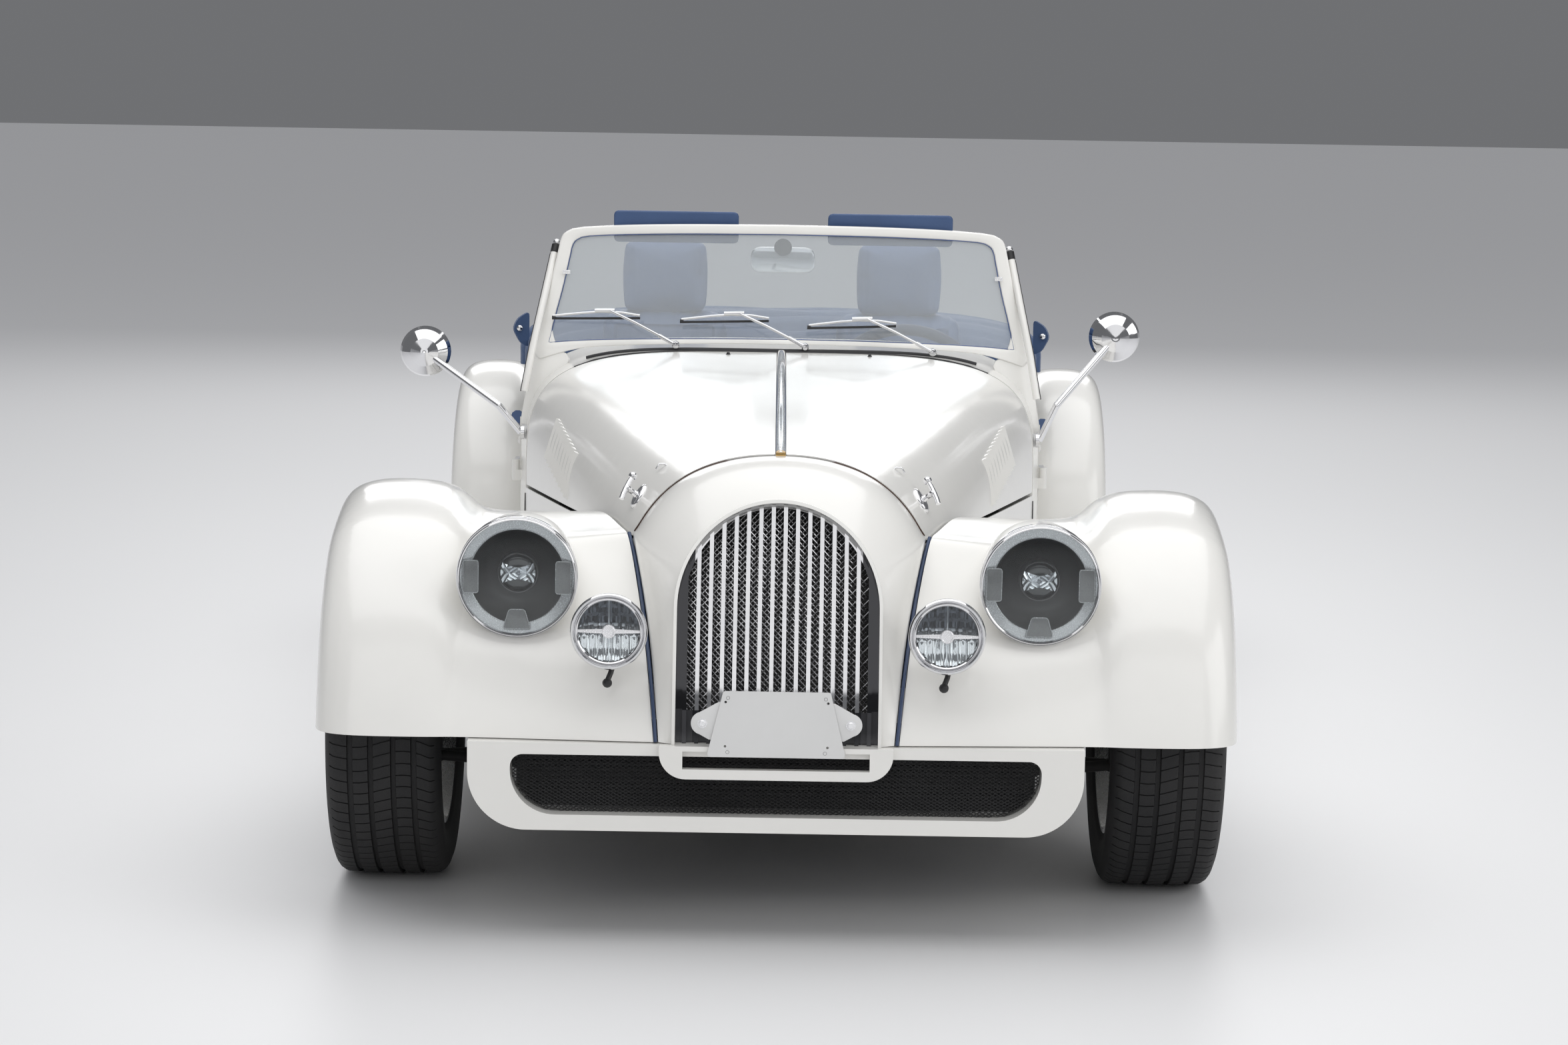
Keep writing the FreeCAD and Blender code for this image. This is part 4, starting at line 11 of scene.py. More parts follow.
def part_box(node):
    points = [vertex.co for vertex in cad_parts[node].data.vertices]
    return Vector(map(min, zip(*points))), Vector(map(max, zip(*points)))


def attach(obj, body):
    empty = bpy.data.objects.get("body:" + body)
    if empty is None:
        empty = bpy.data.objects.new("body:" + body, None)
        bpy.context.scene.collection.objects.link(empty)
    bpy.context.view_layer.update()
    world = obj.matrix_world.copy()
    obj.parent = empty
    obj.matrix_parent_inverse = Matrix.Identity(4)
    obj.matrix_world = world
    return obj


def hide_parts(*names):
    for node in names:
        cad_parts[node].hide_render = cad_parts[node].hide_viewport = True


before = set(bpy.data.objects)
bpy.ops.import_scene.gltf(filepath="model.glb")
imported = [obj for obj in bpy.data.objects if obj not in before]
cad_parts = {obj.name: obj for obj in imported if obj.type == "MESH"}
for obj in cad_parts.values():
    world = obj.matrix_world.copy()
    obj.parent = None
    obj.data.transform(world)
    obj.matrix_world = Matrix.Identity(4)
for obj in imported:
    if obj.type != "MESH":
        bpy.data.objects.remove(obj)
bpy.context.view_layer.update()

bpy.ops.object.select_all(action="DESELECT")

# Studio: a pale floor under soft overhead light, seen through a long lens from in front
# of the car and a little above its screen. Nothing here belongs to the car.
FLOOR_SIZE = 60
FLOOR_GREY = (0.76, 0.76, 0.76)
SOFT_SKY, SOFT_STRENGTH = (0.95, 0.96, 1.0, 1), 0.5
DARK_VIEW = (0.16, 0.163, 0.17, 1)
STUDIO_LAMPS = (  # name, place, aim, size and power
    ("roof_light", (0, -0.6, 5.6), (0, -0.2, 0), (8.0, 9.0), 310),
    ("front_light", (0, -10.5, 4.8), (0, -1.0, 0.6), (13.0, 5.0), 165),
    ("side_light", (6.5, -4.5, 3.4), (0, -0.5, 0.5), (5.0, 3.5), 95),
    ("tail_light", (0, 7.5, 3.8), (0, 1.0, 0.6), (6.0, 2.5), 110))
CAMERA_PLACE = Vector((-0.0122, -8.7387, 1.8529))
CAMERA_YAW = 0.0029
CAMERA_PITCH = 0.1514
CAMERA_ROLL = 0.0167
CAMERA_LENS, SENSOR_WIDTH = 85.44, 36


def add_node(tree, kind, values=(), **settings):
    """A shader node with its settings, and its sockets set to values or joined to others."""
    made = tree.nodes.new(kind)
    for key, value in settings.items():
        setattr(made, key, value)
    for key, value in dict(values).items():
        if isinstance(value, bpy.types.NodeSocket):
            tree.links.new(value, made.inputs[key])
        else:
            made.inputs[key].default_value = value
    return made


def new_finish(name, colour, roughness, **values):
    """A material whose shader has its plain numbers set on its own sockets."""
    material = bpy.data.materials.new(name)
    material.use_nodes = True
    shader = material.node_tree.nodes["Principled BSDF"]
    shader.inputs["Base Color"].default_value = (*colour, 1)
    shader.inputs["Roughness"].default_value = roughness
    for key, value in values.items():
        shader.inputs[key.replace("_", " ")].default_value = value
    return material


bpy.ops.mesh.primitive_plane_add(size=FLOOR_SIZE)
floor_sheet = bpy.context.object
floor_sheet.name = "studio_floor"
floor_sheet.data.materials.append(new_finish("studio_floor", FLOOR_GREY, 0.45))

world = bpy.data.worlds.new("studio")
world.use_nodes = True
bpy.context.scene.world = world
sky = world.node_tree
sky.nodes.clear()
seen = add_node(sky, "ShaderNodeLightPath")
through_glass = add_node(sky, "ShaderNodeMath", {0: seen.outputs["Is Camera Ray"],
                                                 1: seen.outputs["Is Transmission Ray"]},
                         operation="MAXIMUM")
straight_view = add_node(sky, "ShaderNodeMath", {0: through_glass.outputs[0],
                                                 1: seen.outputs["Is Glossy Ray"]},
                         operation="MAXIMUM")
soft = add_node(sky, "ShaderNodeBackground", {"Color": SOFT_SKY, "Strength": SOFT_STRENGTH})
dark = add_node(sky, "ShaderNodeBackground", {"Color": DARK_VIEW, "Strength": 1.0})
blended = add_node(sky, "ShaderNodeMixShader", {0: straight_view.outputs[0],
                                                1: soft.outputs[0], 2: dark.outputs[0]})
add_node(sky, "ShaderNodeOutputWorld", {0: blended.outputs[0]})

for name, place, aim, size, power in STUDIO_LAMPS:
    bpy.ops.object.light_add(type="AREA", location=place)
    lamp = bpy.context.object
    lamp.name = name
    lamp.data.shape = "RECTANGLE"
    lamp.data.size, lamp.data.size_y = size
    lamp.data.energy = power
    lamp.rotation_euler = (Vector(aim) - Vector(place)).to_track_quat("-Z", "Y").to_euler()

forward = Vector((math.sin(CAMERA_YAW) * math.cos(CAMERA_PITCH),
                  math.cos(CAMERA_YAW) * math.cos(CAMERA_PITCH), -math.sin(CAMERA_PITCH)))
right = Vector((math.cos(CAMERA_YAW), -math.sin(CAMERA_YAW), 0))
upward = right.cross(forward)
level = right * math.cos(CAMERA_ROLL) + upward * math.sin(CAMERA_ROLL)
upright = upward * math.cos(CAMERA_ROLL) - right * math.sin(CAMERA_ROLL)
bpy.ops.object.camera_add()
camera = bpy.context.object
camera.matrix_world = (Matrix.Translation(CAMERA_PLACE)
                       @ Matrix((level, upright, -forward)).transposed().to_4x4())
camera.data.sensor_width = SENSOR_WIDTH
camera.data.lens = CAMERA_LENS
bpy.context.scene.camera = camera
bpy.context.scene.view_settings.view_transform = "Standard"

# Paintwork: every outer panel is sheet aluminium in a pearl white, with clear lacquer over
# it. The colour shifts a little over the panel, and the lacquer has a faint orange peel.


def effect_group(name, inputs, outputs):
    """An empty node group with named sockets, its input and its output node."""
    group = bpy.data.node_groups.new(name, "ShaderNodeTree")
    for label, kind, start in inputs:
        made = group.interface.new_socket(label, in_out="INPUT", socket_type=kind)
        made.default_value = start
    for label, kind in outputs:
        group.interface.new_socket(label, in_out="OUTPUT", socket_type=kind)
    entry, exit_node = group.nodes.new("NodeGroupInput"), group.nodes.new("NodeGroupOutput")
    return group, entry.outputs, exit_node.inputs


COLOUR, NUMBER = "NodeSocketColor", "NodeSocketFloat"
FINISH_OUTPUTS = (("Colour", COLOUR), ("Roughness", NUMBER), ("Height", NUMBER))
mottle, given, result = effect_group(
    "mottle", (("Colour", COLOUR, (1, 1, 1, 1)), ("Second Colour", COLOUR, (0.5, 0.5, 0.5, 1)),
               ("Patch Scale", NUMBER, 3.0), ("Grain Scale", NUMBER, 400.0),
               ("Roughness Low", NUMBER, 0.2), ("Roughness High", NUMBER, 0.4)), FINISH_OUTPUTS)
place = add_node(mottle, "ShaderNodeTexCoord")
patches = add_node(mottle, "ShaderNodeTexNoise", {"Vector": place.outputs["Object"],
                                                  "Scale": given["Patch Scale"], "Detail": 5.0,
                                                  "Roughness": 0.6})
grain = add_node(mottle, "ShaderNodeTexNoise", {"Vector": place.outputs["Object"],
                                                "Scale": given["Grain Scale"], "Detail": 3.0})
spread = add_node(mottle, "ShaderNodeMapRange", {"Value": patches.outputs["Fac"],
                                                 "From Min": 0.35, "From Max": 0.7})
tint = add_node(mottle, "ShaderNodeMix", {0: spread.outputs[0], 6: given["Colour"],
                                          7: given["Second Colour"]}, data_type="RGBA")
rough = add_node(mottle, "ShaderNodeMapRange", {"Value": grain.outputs["Fac"], "From Min": 0.3,
                                                "From Max": 0.7, "To Min": given["Roughness Low"],
                                                "To Max": given["Roughness High"]})
for label, socket in (("Colour", tint.outputs[2]), ("Roughness", rough.outputs[0]),
                      ("Height", grain.outputs["Fac"])):
    mottle.links.new(socket, result[label])


def add_effect(material, group, values, bump, distance=0.001):
    """Puts an effect group on a material's colour, roughness and bump."""
    tree = material.node_tree
    shader = tree.nodes["Principled BSDF"]
    effect = add_node(tree, "ShaderNodeGroup", node_tree=group)
    for label, value in values.items():
        effect.inputs[label].default_value = value
    relief = add_node(tree, "ShaderNodeBump", {"Height": effect.outputs["Height"],
                                               "Strength": bump, "Distance": distance})
    tree.links.new(effect.outputs["Colour"], shader.inputs["Base Color"])
    tree.links.new(effect.outputs["Roughness"], shader.inputs["Roughness"])
    tree.links.new(relief.outputs["Normal"], shader.inputs["Normal"])
    return material


def mottled(name, colour, second, rough, scales=(3.0, 400.0), bump=0.05, **values):
    """A material with soft patches of a second colour, and a fine grain."""
    made = new_finish(name, colour, rough[0], **values)
    return add_effect(made, mottle, {"Colour": (*colour, 1), "Second Colour": (*second, 1),
                                     "Patch Scale": scales[0], "Grain Scale": scales[1],
                                     "Roughness Low": rough[0], "Roughness High": rough[1]}, bump)


def dress(material, *names):
    """Gives CAD nodes a material in place of their plain one."""
    for name in names:
        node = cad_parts[name]
        if not node.material_slots:
            node.data.materials.append(material)
        for place in node.material_slots:
            place.material = material


paint = mottled("pearl_white_paint", (0.80, 0.79, 0.755), (0.765, 0.755, 0.72), (0.30, 0.38),
                scales=(2.2, 260.0), bump=0.012, Coat_Weight=1.0, Coat_Roughness=0.15,
                Coat_IOR=1.5, Specular_IOR_Level=0.5)
dress(paint, "radiator_cowl", "front_wings", "rear_wings", "running_boards", "front_valance",
      "side_panels", "scuttle", "rear_body", "bonnet_left", "bonnet_right", "door_left",
      "door_right", "windscreen_frame")

# Wing piping: a bead of navy leathercloth is pinched in the seam between the cowl and each
# front wing, and runs down to the valance.
navy_piping = mottled("navy_piping", (0.022, 0.045, 0.11), (0.03, 0.055, 0.12), (0.3, 0.45),
                      scales=(9.0, 500.0), bump=0.05, Coat_Weight=0.3)
dress(navy_piping, "wing_piping")

# Running gear: black-coated steel rails, arms and uprights, a plain cast engine and gearbox,
# and bare steel pipes. It shows from below and past the wheels.
chassis_finish = mottled("black_coated_steel", (0.025, 0.025, 0.027), (0.05, 0.048, 0.045),
                         (0.38, 0.6), scales=(6.0, 700.0), bump=0.15)
dress(chassis_finish, "chassis", "front_suspension", "rear_axle", "radiator", "floor",
      "tunnel", "foot_boxes", "knuckle_left", "knuckle_right", "steering_rack")
cast_finish = mottled("cast_iron", (0.12, 0.12, 0.125), (0.2, 0.2, 0.2), (0.5, 0.75),
                      scales=(9.0, 900.0), bump=0.35, Metallic=0.7)
dress(cast_finish, "engine", "gearbox")
pipe_finish = mottled("exhaust_steel", (0.42, 0.4, 0.37), (0.3, 0.25, 0.2), (0.25, 0.45),
                      scales=(5.0, 600.0), bump=0.08, Metallic=1.0)
dress(pipe_finish, "exhaust")

# Brightwork: chromed brass and polished steel. The bezels, strip, mirrors and wiper arms all
# have this finish, with faint smears where hands have been.
chrome = mottled("chrome", (0.80, 0.80, 0.81), (0.74, 0.74, 0.76), (0.03, 0.09),
                 scales=(7.0, 60.0), bump=0.0, Metallic=1.0)
dress(chrome, "bonnet_strip", "wing_mirrors", "wipers", "headlamps", "fog_lamps")

# Rims: cast alloy wheels with fine spokes, painted silver under a thin lacquer. Each is
# bolted to its hub by the nuts in the section on wheel fittings.
wheel_finish = mottled("wheel_silver", (0.62, 0.63, 0.64), (0.56, 0.56, 0.57), (0.22, 0.32),
                       scales=(8.0, 500.0), bump=0.03, Metallic=0.9, Coat_Weight=0.6)
WHEEL_PLACES = ("front_left", "front_right", "rear_left", "rear_right")
dress(wheel_finish, *("rim_" + place for place in WHEEL_PLACES))

# Tyres: radial road tyres of 660 mm. Four grooves part the tread into ribs, slanting sipes
# cut the ribs and shoulders into blocks, and the sidewalls carry plain raised rings.
TYRE_RADIUS = 0.330
TREAD_PITCHES = 84
RIB_EDGE = 0.090
CROWN_DROP = 0.0026
GROOVE_DEPTH, GROOVE_LEAN = 0.007, 0.0012
GROOVES = ((-0.062, 0.0058), (-0.022, 0.0054), (0.022, 0.0054), (0.062, 0.0058))
SIPE_DEPTH, SIPE_SHARE, SIPED_FROM = 0.0028, 0.10, 0.3225
SLANT_WAVE, SLANT_WAVES, SLANT_SHOULDER = 0.028, 34, 0.02
SLANT_FROM, SLANT_OVER = 0.315, 0.008
# (across, radius) from one bead up the sidewall to the tread's edge
SIDEWALL = ((0.088, 0.2290), (0.0965, 0.2315), (0.1015, 0.2400), (0.1048, 0.2440),
            (0.1052, 0.2465), (0.1085, 0.2560), (0.1112, 0.2700), (0.1123, 0.2850),
            (0.1118, 0.2960), (0.1126, 0.2968), (0.1126, 0.2990), (0.1108, 0.3040),
            (0.1075, 0.3130), (0.1020, 0.3205), (0.0950, 0.3252))
rubber = mottled("tyre_rubber", (0.012, 0.012, 0.013), (0.023, 0.022, 0.022), (0.55, 0.8),
                 scales=(5.0, 800.0), bump=0.2)
dress(rubber, *("tyre_" + place for place in WHEEL_PLACES))


def tread_radius(across):
    """The crowned tread's radius at a place across the tyre."""
    return TYRE_RADIUS - CROWN_DROP * (across / RIB_EDGE) ** 2


def select_only(piece):
    """Makes one piece the active and only selected one."""
    bpy.ops.object.select_all(action="DESELECT")
    bpy.context.view_layer.objects.active = piece
    piece.select_set(True)


def mesh_piece(name, points, edges=(), faces=()):
    """A new object from a bare outline, active and selected for the modelling tools."""
    mesh = bpy.data.meshes.new(name)
    mesh.from_pydata(points, edges, faces)
    made = bpy.data.objects.new(name, mesh)
    bpy.context.collection.objects.link(made)
    select_only(made)
    return made


def finish_piece(piece, material, body, angle=35):
    """Smooths a piece, gives it its material, and fixes it to a body."""
    select_only(piece)
    bpy.ops.object.shade_smooth_by_angle(angle=math.radians(angle))
    piece.data.materials.clear()
    piece.data.materials.append(material)
    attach(piece, body)
    return piece


profile = [(-x, r) for x, r in SIDEWALL]
edges_of_ribs = [-RIB_EDGE]
for middle, half in GROOVES:
    edges_of_ribs += [middle - half, middle + half]
edges_of_ribs.append(RIB_EDGE)
for low, high in zip(edges_of_ribs[0::2], edges_of_ribs[1::2]):
    for share in (0.0, 0.5, 1.0):
        across = low + (high - low) * share
        profile.append((across, tread_radius(across)))
    if high < RIB_EDGE:
        following = edges_of_ribs[edges_of_ribs.index(high) + 1]
        profile += [(high + GROOVE_LEAN, TYRE_RADIUS - GROOVE_DEPTH),
                    (following - GROOVE_LEAN, TYRE_RADIUS - GROOVE_DEPTH)]
profile += reversed(SIDEWALL)
pitch = 2 * math.pi / TREAD_PITCHES
tyre = mesh_piece("tyre_pattern", [(x, 0, r) for x, r in profile],
                  [(i, i + 1) for i in range(len(profile) - 1)])
bpy.ops.object.mode_set(mode="EDIT")
bpy.ops.mesh.select_all(action="SELECT")
bpy.ops.mesh.spin(steps=2, angle=pitch * (1 - SIPE_SHARE), center=(0, 0, 0), axis=(1, 0, 0))
bpy.ops.mesh.spin(steps=1, angle=pitch * SIPE_SHARE, center=(0, 0, 0), axis=(1, 0, 0))
bpy.ops.object.mode_set(mode="OBJECT")
for face in tyre.data.polygons:
    x, y, z = face.center
    on_tread = math.hypot(y, z) > SIPED_FROM
    in_groove = any(abs(x - middle) < half for middle, half in GROOVES)
    last_step = abs(math.atan2(y, z)) > pitch * (1 - SIPE_SHARE)
    face.select = on_tread and not in_groove and last_step
for edge in tyre.data.edges:
    edge.select = False
bpy.ops.object.mode_set(mode="EDIT")
bpy.ops.mesh.select_mode(type="FACE")
bpy.ops.mesh.extrude_region_move()
bpy.ops.object.mode_set(mode="OBJECT")
for vertex in tyre.data.vertices:
    if vertex.select:
        radius = math.hypot(vertex.co.y, vertex.co.z)
        vertex.co.y *= 1 - SIPE_DEPTH / radius
        vertex.co.z *= 1 - SIPE_DEPTH / radius
bpy.ops.object.mode_set(mode="EDIT")
bpy.ops.mesh.select_all(action="SELECT")
bpy.ops.mesh.spin(steps=TREAD_PITCHES, dupli=True, angle=2 * math.pi, center=(0, 0, 0),
                  axis=(1, 0, 0))
bpy.ops.mesh.select_all(action="SELECT")
bpy.ops.mesh.remove_doubles(threshold=0.00005)
bpy.ops.mesh.normals_make_consistent(inside=False)
bpy.ops.object.mode_set(mode="OBJECT")
for vertex in tyre.data.vertices:
    radius = math.hypot(vertex.co.y, vertex.co.z)
    if radius > SLANT_FROM:
        x = vertex.co.x
        slant = SLANT_WAVE * math.sin(x * SLANT_WAVES) + SLANT_SHOULDER * (abs(x) / 0.1) ** 2
        slant *= min((radius - SLANT_FROM) / SLANT_OVER, 1)
        turn = math.atan2(vertex.co.y, vertex.co.z) + slant
        vertex.co.y, vertex.co.z = radius * math.sin(turn), radius * math.cos(turn)
for place in WHEEL_PLACES:
    low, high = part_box("tyre_" + place)
    middle = (low + high) / 2
    copy = bpy.data.objects.new("tread_tyre_" + place, tyre.data.copy())
    bpy.context.collection.objects.link(copy)
    if middle.x < 0:
        copy.data.transform(Matrix.Rotation(math.pi, 4, "Z"))
    copy.data.transform(Matrix.Translation(middle))
    finish_piece(copy, rubber, "wheel_" + place)
    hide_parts("tyre_" + place)
bpy.data.objects.remove(tyre)

# Grille mesh: chromed steel wires, crimped and woven on the slant, stand in a band behind
# the bars. They lean back with the grille, and their ends are cut to its arch.
ARCH_RADIUS, ARCH_CENTRE = 0.1885, 0.641
GRILLE_FOOT = 0.3915
GRILLE_FRONT = -1.920
GRILLE_LEAN, LEAN_POWER = 0.130, 1.5
LEAN_LOW, LEAN_HIGH = 0.390, 0.831
WIRE_RADIUS = 0.0011
WEAVE_PITCH, WEAVE_DEPTH, WEAVE_RISE = 0.0107, 0.0010, 0.45
MESH_BACK = 0.0355
steel_wire = mottled("woven_steel_wire", (0.74, 0.74, 0.75), (0.60, 0.60, 0.61), (0.14, 0.24),
                     scales=(30.0, 900.0), bump=0.05, Metallic=1.0)
dress(steel_wire, "grille_mesh")


def grille_front(height):
    """The place along the car of the grille's leaning front at a height."""
    rise = max(height - LEAN_LOW, 0) / (LEAN_HIGH - LEAN_LOW)
    return GRILLE_FRONT + GRILLE_LEAN * rise ** LEAN_POWER


def in_arch(x, z):
    """Whether a place lies inside the grille's arched opening."""
    if z < GRILLE_FOOT or abs(x) > ARCH_RADIUS:
        return False
    return z < ARCH_CENTRE or math.hypot(x, z - ARCH_CENTRE) < ARCH_RADIUS


def drawn_wires(name, runs, radius, sides=0):
    """A mesh of round wires along runs of points."""
    line = bpy.data.curves.new(name, "CURVE")
    line.dimensions = "3D"
    line.bevel_depth = radius
    line.bevel_resolution = sides
    line.use_fill_caps = True
    for run in runs:
        spline = line.splines.new("POLY")
        spline.points.add(len(run) - 1)
        for point, target in zip(spline.points, run):
            point.co = (*target, 1)
    made = bpy.data.objects.new(name, line)
    bpy.context.collection.objects.link(made)
    select_only(made)
    bpy.ops.object.convert(target="MESH")
    made = bpy.context.object
    made.name = name
    return made


half_step = WEAVE_PITCH / 2
across = int(ARCH_RADIUS / half_step) + 1
upward_steps = int(WEAVE_RISE / half_step) + 1
runs = []
for way in (1, -1):
    for start in range(-across - upward_steps, across + upward_steps + 1, 2):
        run = []
        for step in range(upward_steps + 1):
            column = start + way * step
            x, z = column * half_step, GRILLE_FOOT + step * half_step
            if in_arch(x, z):
                side = 1 if (column // 2 + step // 2 + (way > 0)) % 2 else -1
                run.append((x, grille_front(z) + MESH_BACK + side * WEAVE_DEPTH, z))
        if len(run) > 1:
            runs.append(run)
grille_weave = drawn_wires("grille_weave", runs, WIRE_RADIUS)
finish_piece(grille_weave, steel_wire, "body", angle=60)
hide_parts("grille_mesh")

# Grille bars: chromed half-round strips stand ahead of the mesh in a chromed band, whose
# sides carry painted shade. A dark gloss panel closes the band's foot, behind the plate's bracket.
PANEL_TOP, PANEL_BLACK = 0.452, (0.008, 0.009, 0.012, 1)
BAND_EDGE, BAND_SHADE = 0.158, (0.05, 0.05, 0.054, 1)
bars_finish = mottled("grille_chrome", (0.78, 0.78, 0.79), (0.72, 0.72, 0.74), (0.04, 0.10),
                      scales=(9.0, 80.0), bump=0.0, Metallic=1.0, Coat_Weight=0.4)
tree = bars_finish.node_tree
shader = tree.nodes["Principled BSDF"]
spot = add_node(tree, "ShaderNodeTexCoord")
split = add_node(tree, "ShaderNodeSeparateXYZ", {0: spot.outputs["Object"]})
below = add_node(tree, "ShaderNodeMath", {0: split.outputs["Z"], 1: PANEL_TOP},
                 operation="LESS_THAN")
colour_before = shader.inputs["Base Color"].links[0].from_socket
darkened = add_node(tree, "ShaderNodeMix", {0: below.outputs[0], 6: colour_before,
                                            7: PANEL_BLACK}, data_type="RGBA")
# painted shade: beyond BAND_EDGE the band's base colour turns to the dark BAND_SHADE
beside = add_node(tree, "ShaderNodeMath", {0: split.outputs["X"]}, operation="ABSOLUTE")
beyond = add_node(tree, "ShaderNodeMath", {0: beside.outputs[0], 1: BAND_EDGE},
                  operation="GREATER_THAN")
banded = add_node(tree, "ShaderNodeMix", {0: beyond.outputs[0], 6: darkened.outputs[2],
                                          7: BAND_SHADE}, data_type="RGBA")
tree.links.new(banded.outputs[2], shader.inputs["Base Color"])
plating = add_node(tree, "ShaderNodeMath", {0: 1.0, 1: below.outputs[0]}, operation="SUBTRACT")
tree.links.new(plating.outputs[0], shader.inputs["Metallic"])
dress(bars_finish, "grille_bars")

# Headlamps: a chromed bezel clamps a domed clear glass over a dark bowl. In the bowl stand
# a wide satin ring, a projector with faceted lenses, and three grey light guides with
# bright edges.
LAMP_X, LAMP_Z = 0.494, 0.684
LAMP_FRONT = -1.8003
EYE_RISE = 0.004
OPTIC_COLUMNS, OPTIC_ROWS = 12, 6
OPTIC_REACH, OPTIC_WAIST, OPTIC_FLARE = 0.0330, 0.0110, 0.0085
OPTIC_DEPTH, FACET_DEPTH, OPTIC_THICK = 0.0066, 0.0030, 0.006
SIDE_GUIDE = ((0.073, -0.031), (0.102, -0.031), (0.102, 0.031), (0.073, 0.031))
LOW_GUIDE = ((-0.0260, -0.0985), (0.0260, -0.0985), (0.0150, -0.0615), (-0.0150, -0.0615))
GUIDE_FRONT, GUIDE_DEPTH, GUIDE_ROUND = -0.0152, 0.0190, 0.0055
GUIDE_EDGE = 0.0008
glass = new_finish("lamp_glass", (0.93, 0.965, 0.975), 0.0, Transmission_Weight=1.0, IOR=1.45)
dress(glass, "headlamp_lenses")
satin_silver = mottled("satin_silver", (0.88, 0.88, 0.89), (0.82, 0.82, 0.83), (0.22, 0.30),
                       scales=(12.0, 400.0), bump=0.02, Metallic=0.35)
facet_finish = mottled("bright_facets", (0.84, 0.86, 0.88), (0.70, 0.72, 0.75), (0.04, 0.1),
                       scales=(60.0, 300.0), bump=0.0, Metallic=0.85, Coat_Weight=1.0)
eye_finish = mottled("projector_glass", (0.012, 0.013, 0.016), (0.02, 0.022, 0.026),
                     (0.04, 0.08), scales=(30.0, 300.0), bump=0.0, Coat_Weight=1.0)
guide_finish = mottled("light_guide", (0.27, 0.265, 0.265), (0.31, 0.305, 0.305), (0.25, 0.32),
                       scales=(30.0, 500.0), bump=0.02, Coat_Weight=1.0)


def painted_shade_by_height(name, low_colour, high_colour, low, high, rough, **values):
    """A finish with painted light and shade: it turns from one colour to another between two
    heights on the car.
    """
    made = new_finish(name, low_colour, rough, **values)
    tree = made.node_tree
    shader = tree.nodes["Principled BSDF"]
    spot = add_node(tree, "ShaderNodeTexCoord")
    parted = add_node(tree, "ShaderNodeSeparateXYZ", {0: spot.outputs["Object"]})
    rise = add_node(tree, "ShaderNodeMapRange", {"Value": parted.outputs["Z"], "From Min": low,
                                                 "From Max": high},
                    interpolation_type="SMOOTHSTEP")
    mixed = add_node(tree, "ShaderNodeMix", {0: rise.outputs[0], 6: (*low_colour, 1),
                                             7: (*high_colour, 1)}, data_type="RGBA")
    tree.links.new(mixed.outputs[2], shader.inputs["Base Color"])
    return made


# painted light and shade: the bowl and the projector's barrel are grey low in the bowl and near
# black at its top
bowl_painted_shade = painted_shade_by_height("lamp_bowl", (0.15, 0.145, 0.145), (0.006, 0.007, 0.009),
                               LAMP_Z - 0.070, LAMP_Z + 0.035, 0.3, Coat_Weight=0.6,
                               Coat_Roughness=0.1)


def turned(name, outline, centre, steps=72, closed=True):
    """A piece turned about the car's length from (radius, place along) points."""
    points = [(centre[0] + radius, centre[1] + along, centre[2]) for radius, along in outline]
    edges = [(i, i + 1) for i in range(len(points) - 1)]
    if closed:
        edges.append((len(points) - 1, 0))
    made = mesh_piece(name, points, edges)
    bpy.ops.object.mode_set(mode="EDIT")
    bpy.ops.mesh.select_all(action="SELECT")
    bpy.ops.mesh.spin(steps=steps, angle=2 * math.pi, center=centre, axis=(0, 1, 0))
    bpy.ops.mesh.select_all(action="SELECT")
    bpy.ops.mesh.remove_doubles(threshold=0.00001)
    bpy.ops.mesh.normals_make_consistent(inside=False)
    bpy.ops.object.mode_set(mode="OBJECT")
    return made


def net_faces(columns, rows):
    """The four-sided faces of a net of points that is given row by row."""
    return [(a, a + 1, a + columns + 2, a + columns + 1)
            for j in range(rows) for a in range(j * (columns + 1), j * (columns + 1) + columns)]


def thickened(piece, move, easing=0, segments=2):
    """Gives a flat piece its thickness along a move, with eased edges where they are wanted."""
    select_only(piece)
    bpy.ops.object.mode_set(mode="EDIT")
    bpy.ops.mesh.select_all(action="SELECT")
    bpy.ops.mesh.extrude_region_move(TRANSFORM_OT_translate={"value": move})
    bpy.ops.mesh.select_all(action="SELECT")
    bpy.ops.mesh.normals_make_consistent(inside=False)
    if easing:
        bpy.ops.mesh.bevel(offset=easing, segments=segments)
    bpy.ops.object.mode_set(mode="OBJECT")
    return piece


def eased(corners, radius, steps=5):
    """The corners of a flat outline, each rounded off with a short curve."""
    points = []
    for i, corner in enumerate(corners):
        corner = Vector(corner)
        before, after = Vector(corners[i - 1]), Vector(corners[(i + 1) % len(corners)])
        start = corner + (before - corner).normalized() * radius
        end = corner + (after - corner).normalized() * radius
        for j in range(steps + 1):
            share = j / steps
            points.append(start.lerp(corner, share).lerp(corner.lerp(end, share), share))
    return points


def rounded_plate(name, outline, depth, bevel):
    """A plate from an outline, made thicker along the car, with eased edges."""
    made = mesh_piece(name, outline, [], [tuple(range(len(outline)))])
    thickened(made, (0, depth, 0))
    if bevel:
        easing = made.modifiers.new("easing", "BEVEL")
        easing.width = bevel
        easing.segments = 2
        easing.limit_method = "ANGLE"
        bpy.ops.object.modifier_apply(modifier="easing")
    return made


def facing(centre, points, along):
    """Points of a flat outline, given across and up, at one place along the car."""
    return [(centre[0] + x, centre[1] + along, centre[2] + z) for x, z in points]


